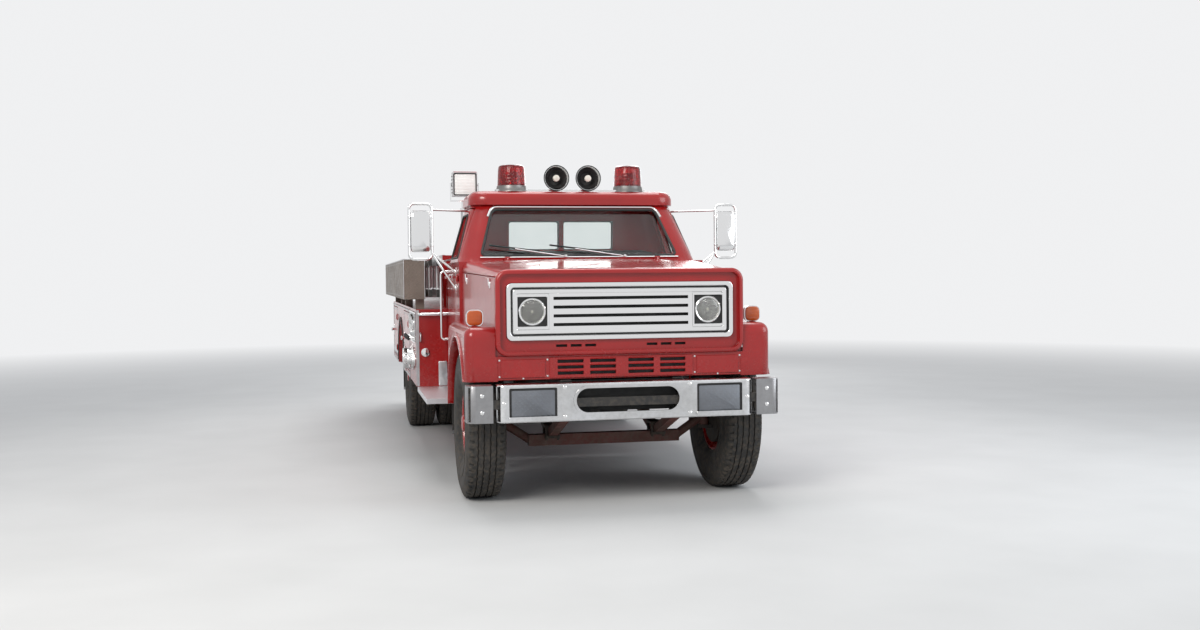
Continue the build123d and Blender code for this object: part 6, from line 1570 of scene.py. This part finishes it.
@dataclass
class PumpPanel(Flank):
    """Dials, caps, pull knobs and edge trim of the pump house."""

    gauges: Flats = ((2050.0, 0.062), (2220.0, 0.076), (2390.0, 0.062))
    gauge_z: float = 1.17
    sweep: tuple[int, int, int] = (-220, 26, 11)
    plate: tuple[float, float, Flat] = (2280.0, 1.14, (0.768, 0.248))
    pulls: Row = (1980.0, 2110.0, 2240.0, 2370.0, 2500.0)
    pull_z: Flat = (1.05, 1.082)
    caps: tuple[Point, ...] = (
        (2220.0, 0.089, 0.095), (1980.0, 0.039, 0.07), (2460.0, 0.039, 0.07), (2620.0, 0.039, 0.07),
    )
    cap_z: float = 0.86
    edges: Flat = (1806.0, 2754.0)
    mid_z: float = 0.97
    front: float = 1800.0
    front_cap: Flat = (1.165, 0.933)
    hook_x: float = 1.206

    def out(self, station: float, z: float, reach: float = 0.0) -> Point:
        """A point on the skin or in front of it."""
        return (self.side * (self.skin + reach), y_at(station), z)

    def dials(self, piece: Workpiece) -> None:
        """Adds bezels, faces, ticks and needles.

        Args:
            piece: the panel being made.
        """
        way = (self.side, 0, 0)
        first, pitch, ticks = self.sweep
        for station, radius in self.gauges:
            centre = self.out(station, self.gauge_z, 0.024)
            bezel = [(-0.016, radius + 0.004), (0.002, radius + 0.004), (0.005, radius)]
            bezel += [(0.003, radius - 0.006), (0.0005, radius - 0.008)]
            piece.use(CHROME).lathe(centre, way, bezel, 40)
            piece.use(IVORY).lathe(centre, way, [(0.0006, radius - 0.007), (0.0012, 0.001)], 40)
            piece.use(MATT_BLACK)
            reach = radius - 0.012
            for step in range(ticks):
                angle = math.radians(first + pitch * step)
                si, co = math.sin(angle), math.cos(angle)
                bench = Bench(self.out(station, self.gauge_z, 0.0255), (0, co, -si), (0, si, co))
                start = reach - (0.012 if step % 5 == 0 else 0.007)
                mark = [(-0.001, start), (0.001, start), (0.001, reach), (-0.001, reach)]
                piece.plate(bench, mark, -0.0005, 0.0005)
            bench = Bench(self.out(station, self.gauge_z, 0.027), (0, 0.77, 0.64), (0, -0.64, 0.77))
            hand = [(-0.003, -0.012), (0.003, -0.012), (0.0006, radius * 0.68), (-0.0006, radius * 0.68)]
            piece.plate(bench, hand, -0.0005, 0.0005)
            piece.lathe(centre, way, [(0.001, 0.006), (0.005, 0.005), (0.0055, 0.001)], 14)

    def capped(self, piece: Workpiece) -> None:
        """Adds a lugged cap with a chain to each inlet and outlet.

        Args:
            piece: the panel being made.
        """
        way, z = (self.side, 0, 0), self.cap_z
        for station, radius, reach in self.caps:
            cap = [(-0.006, radius + 0.004), (0.022, radius + 0.004), (0.03, radius * 0.8), (0.032, 0.001)]
            piece.use(CHROME).lathe(self.out(station, z, reach - 0.03), way, cap, 40)
            lugs = 6 if radius > 0.05 else 3
            for angle in around(lugs):
                along, up = 1000 * math.cos(angle + 0.4), math.sin(angle + 0.4)
                radii = (radius + 0.002, radius + 0.022)
                lug = [self.out(station + along * r, z + up * r, reach - 0.02) for r in radii]
                piece.tube(lug, 0.007, 8)
            links = ((40, radius + 0.03, 0.004), (30, radius * 0.5, reach * 0.7), (0, 0.0, reach))
            chain = [self.out(station + along, z + up, out) for along, up, out in links]
            piece.use(STEEL).tube(bend(chain, 0.05), 0.0025, 6)

    def face(self) -> None:
        """Makes what is on the side: plate, dials, pulls, caps and strips."""
        way = (self.side, 0, 0)
        piece = Workpiece(f"pump_panel_{side_name(self.side)}", [STEEL])
        station, z, (width, height) = self.plate
        bench = self.bench(station, z)
        piece.plate(bench, rounded(width + 0.008, height + 0.008, 0.01), 0.005, 0.0075)
        rim = rounded(width + 0.02, height + 0.02, 0.016), rounded(width, height, 0.008)
        piece.use(CHROME).ring(bench, *rim, 0.004, 0.0095)
        piece.use(STEEL)
        for screw in product((-0.37, 0.0, 0.37), (-0.112, 0.112)):
            piece.bolt(bench.lift([screw], 0.007)[0], way, 0.006, 0.004)
        self.dials(piece)
        knob = [(-0.004, 0.016), (0.0, 0.021), (0.012, 0.021), (0.018, 0.012)]
        knob_z, label_z = self.pull_z
        for station in self.pulls:
            piece.use(MATT_BLACK).lathe(self.out(station, knob_z, 0.05), way, knob, 24)
            label = self.bench(station, label_z)
            piece.use(SILVER).plate(label, rounded(0.05, 0.014, 0.003), 0.007, 0.009)
        self.capped(piece)
        piece.use(STEEL)
        for station in self.edges:
            piece.plate(self.bench(station, self.mid_z), rounded(0.014, 0.63, 0.003), -0.002, 0.0025)
        piece.make()

    def nose(self) -> None:
        """Makes what is on the front beside the cab: a cap, a hook and two strips."""
        side, (cap_x, cap_z) = self.side, self.front_cap
        front = Workpiece(f"pump_front_{side_name(side)}", [CHROME])
        cap = [(0, 0.036), (0.01, 0.036), (0.014, 0.03), (0.03, 0.028), (0.034, 0.001)]
        front.lathe((side * cap_x, y_at(self.front), cap_z), AHEAD, cap, 28)
        bends = ((0, 1.1), (-40, 1.08), (-40, 1.04), (-15, 1.03))
        hook = [(side * self.hook_x, y_at(self.front + along), z) for along, z in bends]
        front.use(STEEL).tube(bend(hook, 0.015), 0.007)
        strip = facing_front(side * 1.018, self.front - 1, 0.75)
        front.plate(strip, rounded(0.074, 0.21, 0.01), 0.0, 0.006, 0.003)
        edge = facing_front(side * 1.228, self.front - 1, self.mid_z)
        front.plate(edge, rounded(0.022, 0.65, 0.004), 0.0, 0.003)
        front.make()

    def build(self) -> None:
        """Makes the panel's details."""
        self.face()
        self.nose()


@dataclass
class LockerTrim(Flank):
    """Latches, drip rail, kick plates, edge trim and side lamps of one side of the body.

    Attributes:
        arch: outer and inner radius of the wheel arch's rubber.
    """

    lockers: tuple[tuple[str, float, float], ...] = (("front", 2805.0, 3805.0), ("rear", 5095.0, 6065.0))
    mid_z: float = 0.97
    kick_z: float = 0.75
    rail: tuple[float, float, float] = (2765.0, 6105.0, 1.272)
    posts: Flat = (2768.0, 6102.0)
    sills: Flat = (3300.0, 5580.0)
    sill_z: float = 0.652
    arch: Flat = (0.632, 0.6)
    arch_from: float = 0.645
    arch_steps: int = 40
    lamp_z: float = 1.14

    def door(self, name: str, start: float, stop: float) -> None:
        """Dresses one locker door.

        Args:
            name: front or rear.
            start: first station of the opening.
            stop: last station of the opening.
        """
        side, z = self.side, self.mid_z
        label = f"locker_{name}_{side_name(side)}"
        piece = Workpiece(f"{label}_latch", [CHROME])
        latch = stop - 85
        piece.plate(self.bench(latch, z), rounded(0.1, 0.13, 0.014), 0.0, 0.003, 0.0015)
        knob = [(-0.01, 0.016), (0.0, 0.022), (0.005, 0.018), (0.006, 0.001)]
        piece.lathe((side * 1.272, y_at(latch), z), (side, 0, 0), knob, 24)
        piece.tube([(side * 1.268, y_at(latch) + d, z) for d in (-0.036, 0.036)], 0.007)
        middle, width = (start + stop) / 2, (stop - start) / 1000 - 0.016
        line = rounded(width - 0.03, 0.514, 0.02), rounded(width - 0.042, 0.502, 0.014)
        piece.use(STEEL).ring(self.bench(middle, z), *line, 0.0, 0.002)
        kick = rounded(width - 0.06, 0.075, 0.006)
        piece.use(TREAD).plate(self.bench(middle, self.kick_z), kick, 0.0, 0.002)
        piece.make(label)

    def arch_rubber(self) -> list[list[Point]]:
        """Sections of the rubber round the wheel arch.

        Returns:
            The sections in order.
        """
        x, proud = self.side * self.skin, self.side * 0.008
        loops = []
        for step in range(self.arch_steps + 1):
            angle = math.pi * step / self.arch_steps
            across, up = math.cos(angle), math.sin(angle)
            (ya, za), (yb, zb) = [(y_at(WHEELBASE) - r * across, AXLE_Z + r * up) for r in self.arch]
            if min(za, zb) > self.arch_from:
                loops.append([(x, ya, za), (x + proud, ya, za), (x + proud, yb, zb), (x, yb, zb)])
        return loops

    def build(self) -> None:
        """Makes the trim."""
        for name, start, stop in self.lockers:
            self.door(name, start, stop)
        finishes = [STEEL, RUBBER, AMBER, CHROME, TAIL_RED]
        piece = Workpiece(f"body_trim_{side_name(self.side)}", finishes)
        x = self.side * self.skin
        first, last, rail_z = self.rail
        piece.tube([(x + self.side * 0.004, y_at(s), rail_z) for s in (first, last)], 0.006, 8)
        for station in self.posts:
            piece.plate(self.bench(station, self.mid_z), rounded(0.016, 0.64, 0.003), 0.0, 0.003)
        for station in self.sills:
            piece.plate(self.bench(station, self.sill_z), rounded(1.06, 0.02, 0.003), 0.0, 0.003)
        piece.use(RUBBER).skin(self.arch_rubber())
        for station, finish in ((2782, AMBER), (5075, TAIL_RED)):
            lamp = self.bench(station, self.lamp_z)
            piece.use(CHROME).plate(lamp, rounded(0.03, 0.07, 0.012), 0.0, 0.004)
            piece.use(finish).plate(lamp, rounded(0.024, 0.062, 0.01), 0.004, 0.012, 0.005)
        piece.make()


@dataclass
class Bed:
    """Slats in the hose beds, capping on walls and divider, and the tail's rails and trim."""

    slats: int = 12
    slat_x: Flat = (0.055, 0.073)
    slat_half: float = 0.024
    bearers: int = 7
    front: float = 2790.0
    back: float = 6104.0
    floor: float = 1.3
    capped: tuple[Point, ...] = ((-0.919, 2762.0, 1.78), (0.919, 2762.0, 1.78), (0.0, 3062.0, 1.63))
    cross_walls: tuple[Row, float] = ((1971.0, 2360.0, 2749.0), 1.735)
    tail: float = 6110.0
    grab_x: float = 0.8
    grab_z: Flat = (0.72, 1.23)
    step: Flat = (6550.0, 6558.5)
    treads: int = 9

    def slatted(self) -> None:
        """Makes the slats."""
        piece = Workpiece("bed_slats", [ALUMINIUM])
        first, pitch = self.slat_x
        front, back, floor = y_at(self.front), y_at(self.back), self.floor
        for side, k in product(SIDES, range(self.slats)):
            x = side * (first + pitch * k)
            piece.box((x - self.slat_half, front, floor + 0.0005), (x + self.slat_half, back, floor + 0.009))
        for k, (low, high) in product(range(self.bearers), ((-0.9, -0.02), (0.02, 0.9))):
            y = y_at(self.front + 80 + 520 * k)
            piece.box((low, y, floor + 0.0002), (high, y + 0.03, floor + 0.0055))
        piece.make()

    def capping(self) -> None:
        """Makes the bright capping of the walls, and the tail's plate, grab rails and lamps."""
        piece = Workpiece("bed_capping", [STEEL])
        for x, front, z in self.capped:
            piece.box((x - 0.015, y_at(front), z - 0.012), (x + 0.015, y_at(self.tail), z + 0.004))
        stations, z = self.cross_walls
        for station in stations:
            piece.box((-0.93, y_at(station - 14), z - 0.014), (0.93, y_at(station + 14), z))
        plate = Bench((0, y_at(self.tail), 1.075), (-1, 0, 0), (0, 0, 1))
        piece.use(TREAD).plate(plate, rounded(1.3, 0.34, 0.01), 0.0, 0.003)
        near, far, (low, high) = y_at(self.tail + 2), y_at(self.tail + 60), self.grab_z
        foot = [(0, 0.03), (0.006, 0.03), (0.009, 0.024), (0.01, 0.014)]
        for side in SIDES:
            x = side * self.grab_x
            path = [(x, near, low), (x, far, low), (x, far, high), (x, near, high)]
            piece.use(CHROME).tube(bend(path, 0.025), 0.0142, 14)
            for z in self.grab_z:
                piece.lathe((x, y_at(self.tail), z), ASTERN, foot, 24)
            lamp = Bench((side * 1.13, y_at(self.tail), 0.86), (-1, 0, 0), (0, 0, 1))
            piece.use(TAIL_RED).plate(lamp, rounded(0.09, 0.05, 0.008), 0.0, 0.006, 0.003)
        piece.make()

    def tail_step(self) -> None:
        """Makes the tail step's bright edge, braces and rubber strips."""
        step = Workpiece("tail_step_trim", [STEEL])
        front, back = self.step
        step.box((-1.166, y_at(front), 0.561), (1.166, y_at(back), 0.6015))
        for side in SIDES:
            step.tube([(side * 0.9, y_at(6114), 0.72), (side * 0.9, y_at(6500), 0.604)], 0.011)
        step.use(RUBBER)
        for k in range(self.treads):
            y = y_at(6150 + 42 * k)
            step.box((-1.12, y, 0.6), (1.12, y + 0.018, 0.603))
        step.make()

    def build(self) -> None:
        """Makes the bed's details."""
        self.slatted()
        self.capping()
        self.tail_step()


@dataclass
class SideGear:
    """Ladder fittings, ribbed suction hose with its lugs and straps, and trough edging."""

    ladder_x: Flat = (-1.041, -1.11)
    ladder_z: Flat = (1.405, 1.735)
    ladder_ends: Flat = (1860.0, 5960.0)
    rungs: int = 12
    rung_pitch: Flat = (2000.0, 340.0)
    ladder_straps: Row = (2985.0, 4425.0, 5735.0)
    hose: Point = (1.085, 1.392, 0.072)
    hose_ends: Flat = (2880.0, 5860.0)
    coupling: float = 84.0
    rib: float = 0.017
    hose_straps: Row = (3290.0, 4480.0, 5440.0)
    trough_x: Flat = (-1.332, -1.154)
    trough_ends: Flat = (1922.0, 5988.0)
    trough_top: float = 1.73
    rivets: int = 20
    rivet_z: Flat = (1.41, 1.705)

    def ladders(self) -> None:
        """Makes rung collars, end shoes and straps."""
        piece = Workpiece("ladder_fittings", [STEEL])
        low, high = self.ladder_z
        first, pitch = self.rung_pitch
        collar = [(0, 0.0145), (0.001, 0.024), (0.007, 0.022), (0.012, 0.016)]
        for x in self.ladder_x:
            piece.use(STEEL)
            for k, (z, up) in product(range(self.rungs), ((low + 0.06, 1), (high - 0.06, -1))):
                piece.lathe((x, y_at(first + pitch * k), z), (0, 0, up), collar, 20)
            piece.use(RUBBER)
            for station, way in zip(self.ladder_ends, (-1, 1)):
                start, stop = sorted((y_at(station), y_at(station) + way * 0.01))
                for foot in (low, high - 0.062):
                    piece.box((x - 0.0155, start, foot - 0.001), (x + 0.0155, stop, foot + 0.063))
        piece.use(STEEL)
        for station in self.ladder_straps:
            corners = ((-1.0, 1.4), (-1.0, 1.742), (-1.132, 1.742), (-1.132, 1.4))
            strap = [(x, y_at(station), z) for x, z in corners]
            piece.tube(bend(strap, 0.012, 3), 0.005, 8)
        piece.make()

    def suction(self) -> None:
        """Makes the hose's ribs, couplings and straps."""
        x, z, radius = self.hose
        piece = Workpiece("suction_ribs", [RUBBER])
        start, stop = self.hose_ends[0] + self.coupling, self.hose_ends[1] - self.coupling
        count = int((stop - start) / 1000 / self.rib)
        crest = ((0.002, 0.0005), (0.006, 0.0045), (0.011, 0.0045), (0.015, 0.0005))
        profile = [(0.0, radius - 0.001)]
        for k in range(count):
            profile += [(k * self.rib + along, radius + rise) for along, rise in crest]
        profile.append((count * self.rib, radius - 0.001))
        piece.lathe((x, y_at(start), z), ASTERN, profile, 28)
        piece.use(CHROME)
        shape = ((-0.078, 0.0165), (-0.07, 0.019), (-0.01, 0.019), (0.0, 0.012))
        collar = [(along, radius + rise) for along, rise in shape] + [(0.002, 0.001)]
        for station, way in zip(self.hose_ends, (-1, 1)):
            y = y_at(station)
            piece.lathe((x, y, z), (0, way, 0), collar, 40)
            for angle in around(6):
                across, up = math.cos(angle), math.sin(angle)
                radii = (radius + 0.016, radius + 0.036)
                piece.tube([(x + r * across, y - way * 0.04, z + r * up) for r in radii], 0.009, 8)
        piece.use(STEEL)
        reach = radius + 0.007
        for station in self.hose_straps:
            y = y_at(station)
            turns = [math.pi * k / 12 for k in range(13)]
            loop = [(x + reach * math.cos(turn), y, z + reach * math.sin(turn)) for turn in turns]
            path = [(loop[0][0], y, 1.34), *loop, (loop[-1][0], y, 1.34)]
            piece.tube(path, 0.006, 8)
        piece.make()

    def trough(self) -> None:
        """Makes the trough's bright edges and rivets."""
        piece = Workpiece("trough_edges", [STEEL])
        (outer, inner), top = self.trough_x, self.trough_top
        front, back = (y_at(station) for station in self.trough_ends)
        for x in (outer, inner):
            piece.tube([(x, front, top), (x, back, top)], 0.006, 8)
        for y in (front, back):
            piece.tube([(outer, y, top), (inner, y, top)], 0.006, 8)
            for x in (outer, inner):
                piece.tube([(x, y, 1.388), (x, y, top)], 0.004, 8)
        rivet = [(0.0, 0.006), (0.002, 0.005), (0.003, 0.001)]
        for k, z in product(range(self.rivets), self.rivet_z):
            piece.lathe((outer - 0.003, y_at(2000 + 205 * k), z), (-1, 0, 0), rivet, 10)
        piece.make()

    def build(self) -> None:
        """Makes everything on the body's sides above the deck."""
        self.ladders()
        self.suction()
        self.trough()


@dataclass
class Floodlight:
    """Lens, trim line, back cap and cooling fins of the mast's lamp head, and the mast's collars.

    Attributes:
        fin_z: height of the first fin above the head's bottom, and distance to the next.
    """

    x: float = -0.806
    station: float = 1820.0
    back: float = 1930.0
    z: Flat = (2.268, 2.474)
    half: float = 0.106
    fins: int = 6
    fin_stations: Flat = (1850.0, 1915.0)
    fin_z: Flat = (0.03, 0.028)
    mast: float = 1880.0
    collars: Flat = (1.72, 2.14)

    def build(self) -> None:
        """Makes the lamp's details."""
        x, (low, high) = self.x, self.z
        middle = sum(self.z) / 2
        bench = facing_front(x, self.station, middle)
        piece = Workpiece("floodlight_lens", [LENS])
        piece.use(REFLECTOR).plate(bench, rounded(0.186, 0.18, 0.01), -0.0195, -0.016)
        piece.use(WHITE_LENS).plate(bench, rounded(0.184, 0.178, 0.01), -0.012, -0.004, 0.003)
        rim = rounded(0.2, 0.194, 0.014), rounded(0.18, 0.174, 0.008)
        piece.use(MATT_BLACK).ring(bench, *rim, -0.01, 0.0015)
        start, stop = y_at(self.station + 2), y_at(self.station + 14)
        piece.use(TAIL_RED).box((x - 0.1, start, high - 0.001), (x + 0.1, stop, high + 0.005))
        cap = [(0, 0.05), (0.006, 0.046), (0.012, 0.03), (0.014, 0.001)]
        piece.use(MATT_BLACK).lathe((x, y_at(self.back), middle), ASTERN, cap, 28)
        start, stop = (y_at(station) for station in self.fin_stations)
        left, right = x - self.half, x + self.half
        for k in range(self.fins):
            z = low + self.fin_z[0] + self.fin_z[1] * k
            piece.box((left - 0.003, start, z), (left + 0.001, stop, z + 0.006))
            piece.box((right - 0.001, start, z), (right + 0.003, stop, z + 0.006))
        piece.make("lamp_head")
        mast = Workpiece("mast_collars", [CHROME])
        collar = [(0, 0.0345), (0.003, 0.042), (0.026, 0.042), (0.03, 0.0345)]
        for z in self.collars:
            mast.lathe((x, y_at(self.mast), z), UP, collar, 28)
        mast.make()


@dataclass
class Underbody:
    """Spring clips, shackle bolts, tank straps and cap, silencer bands and mud flaps."""

    axles: tuple[tuple[float, float, Flat], ...] = (
        (0.0, 0.425, (-560.0, 600.0)), (WHEELBASE, 0.565, (3720.0, 5180.0)),
    )
    spring_x: float = 0.392
    clip: float = 62.0
    shackle_z: float = 0.61
    straps: Row = (1130.0, 1320.0, 1510.0)
    strap: Flats = ((0.462, 0.802), (0.822, 0.802), (0.822, 0.468), (0.462, 0.468))
    filler: Point = (0.76, 1100.0, 0.8)
    silencer: Flat = (-0.58, 0.585)
    bands: Row = (1080.0, 1200.0, 1430.0, 1560.0)
    flap_rows: tuple[Row, ...] = (
        (5035.0, 0.33, 0.7, 0.72, 1.19), (722.0, 0.36, 0.9, 0.86, 1.04),
    )

    def springs(self) -> None:
        """Makes the spring clips, their pads and the shackle bolts."""
        piece = Workpiece("spring_clips", [IRON])
        clip = ((-0.042, -0.034), (-0.042, 0.07), (0.042, 0.07), (0.042, -0.034))
        for (station, low, ends), side in product(self.axles, SIDES):
            x = side * self.spring_x
            for offset in (-self.clip, self.clip):
                path = [(x + dx, y_at(station + offset), low + dz) for dx, dz in clip]
                piece.tube(bend(path, 0.018, 3), 0.009, 8)
            for under, over in ((-0.018, 0.0), (0.058, 0.074)):
                near = (x - 0.054, y_at(station - 84), low + under)
                piece.box(near, (x + 0.054, y_at(station + 84), low + over))
            for end, way in product(ends, (-1, 1)):
                y = y_at(end + (28 if end < station else -28))
                piece.bolt((x + way * 0.032, y, self.shackle_z), (way, 0, 0), 0.014, 0.012)
        piece.make()

    def tank(self) -> None:
        """Makes tank straps, filler cap and silencer bands."""
        piece = Workpiece("tank_straps", [STEEL])
        for station in self.straps:
            path = bend([(x, y_at(station), z) for x, z in self.strap], 0.06, 5)
            loops = [[(x, y - 0.02, z), (x, y + 0.02, z)] for x, y, z in path]
            piece.skin(loops, closed=False, capped=False)
        x, station, z = self.filler
        cap = [(0, 0.042), (0.02, 0.042), (0.024, 0.034), (0.026, 0.001)]
        piece.use(CHROME).lathe((x, y_at(station), z), UP, cap, 28)
        piece.use(IRON)
        x, z = self.silencer
        band = [(0, 0.0955), (0.002, 0.0985), (0.018, 0.0985), (0.02, 0.0955)]
        for station in self.bands:
            piece.lathe((x, y_at(station), z), ASTERN, band, 40)
        piece.make()

    def flaps(self) -> None:
        """Makes the mud flaps."""
        piece = Workpiece("mud_flaps", [RUBBER])
        for side, (station, low, high, inner, outer) in product(SIDES, self.flap_rows):
            a, b = sorted((side * inner, side * outer))
            piece.use(RUBBER).box((a, y_at(station), low), (b, y_at(station + 8), high))
            piece.use(STEEL).box((a, y_at(station - 2), low + 0.004), (b, y_at(station), low + 0.03))
        piece.make()

    def build(self) -> None:
        """Makes the details under the truck."""
        self.springs()
        self.tank()
        self.flaps()


@dataclass
class NoseTrim:
    """Catches at the nose's sides below the hood, valance liners and screws."""

    catches: tuple[Point, ...] = ((-420.0, 0.878, 1.572), (480.0, 0.94, 1.6))
    liners: Flats = ((0.044, 0.222), (0.268, 0.446))
    liner_stations: Flat = (-590.0, -586.0)
    liner_z: Flat = (0.9, 1.012)
    screws: Flats = ((0.515, 0.9), (0.515, 1.01), (0.84, 0.9), (0.84, 1.01), (0.68, 0.886))
    face: float = -605.0

    def build(self) -> None:
        """Makes the nose's details."""
        catches = Workpiece("hood_catches", [CHROME])
        for side, (station, half, seam) in product(SIDES, self.catches):
            bench = facing_side(side, side * half, station, seam - 0.06)
            catches.plate(bench, rounded(0.034, 0.05, 0.008), -0.004, 0.004, 0.002)
            hook = [bench.lift([(0, up)], out)[0] for up, out in ((0.0, 0.004), (0.052, 0.006))]
            catches.tube(hook, 0.006)
        catches.make()
        liner = Workpiece("valance_liners", [MATT_BLACK])
        front, back = (y_at(station) for station in self.liner_stations)
        low, high = self.liner_z
        for side, (inner, outer) in product(SIDES, self.liners):
            a, b = sorted((side * inner, side * outer))
            liner.box((a, front, low), (b, back, high))
        liner.make()
        screws = Workpiece("nose_screws", [CHROME])
        head = [(0, 0.007), (0.003, 0.006), (0.004, 0.001)]
        for side, (x, z) in product(SIDES, self.screws):
            screws.lathe((side * x, y_at(self.face), z), AHEAD, head, 12)
        screws.make()


def dress_nodes() -> None:
    """Gives each CAD node that stays its finish, and softens the edges of those in red, chrome, tread plate
    and black enamel.
    """
    reds = ["nose_panel", "hood", "front_valance", "cab_shell", "pump_house", "hose_body"]
    for pair in ("fender", "door", "locker_pod", "front_locker_door", "rear_locker_door"):
        reds += [f"{pair}_left", f"{pair}_right"]
    finishes = {name: RED for name in reds}
    finishes.update({
        "frame_rails": BLACK, "front_bumper": BUMPER, "front_axle": AXLE_RED, "rear_axle": IRON,
        "steering_knuckle_left": IRON, "steering_knuckle_right": IRON, "engine_block": IRON,
        "grille": CHROME, "cab_glass": GLASS, "door_glass_left": GLASS, "door_glass_right": GLASS,
        "dashboard": DASH, "roof_bar": CHROME, "running_boards": TREAD, "tailboard": TREAD,
        "pump_fittings": CHROME, "ladders": ALUMINIUM, "suction_hose": RUBBER, "side_trough": TREAD_PAINTED_REFLECTION,
        "mast_outer": STEEL, "mast_inner": CHROME, "floodlight": SILVER, "fuel_tank": BLACK,
        "silencer": EXHAUST,
    })
    widths = {RED.name: 0.003, BUMPER.name: 0.003, CHROME.name: 0.0015, TREAD.name: 0.002, BLACK.name: 0.002}
    for name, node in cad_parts.items():
        finish = finishes.get(name)
        if not finish:
            continue
        node.data.materials.clear()
        node.data.materials.append(finish.material())
        if finish.name in widths:
            soften(node, widths[finish.name])


def main() -> None:
    """Dresses the truck and reports each piece."""
    logging.basicConfig(level=logging.INFO, format="%(message)s")
    Studio().build()
    dress_nodes()
    for side in SIDES:
        name = side_name(side)
        front, rear = [(0.915, 0.949)], [(0.733, 0.88), (1.045, 0.894)]
        Wheel(f"front_wheel_{name}", f"wheel_front_{name}", side, 0.0, front, (0.87, 1.038)).build()
        Wheel(f"rear_wheels_{name}", f"wheel_rear_{name}", side, WHEELBASE, rear, (0.85, 1.178)).build()
        Mirror(side).build()
    SmallLamps().build(Headlamps().build())
    GrilleDressing().build()
    BumperDressing().build()
    RoofLights().build()
    CabTrim().build()
    NoseTrim().build()
    Seat().build()
    Dash().build()
    for side in SIDES:
        PumpPanel(side).build()
        LockerTrim(side).build()
    Bed().build()
    SideGear().build()
    Floodlight().build()
    Underbody().build()


if __name__ == "__main__":
    main()
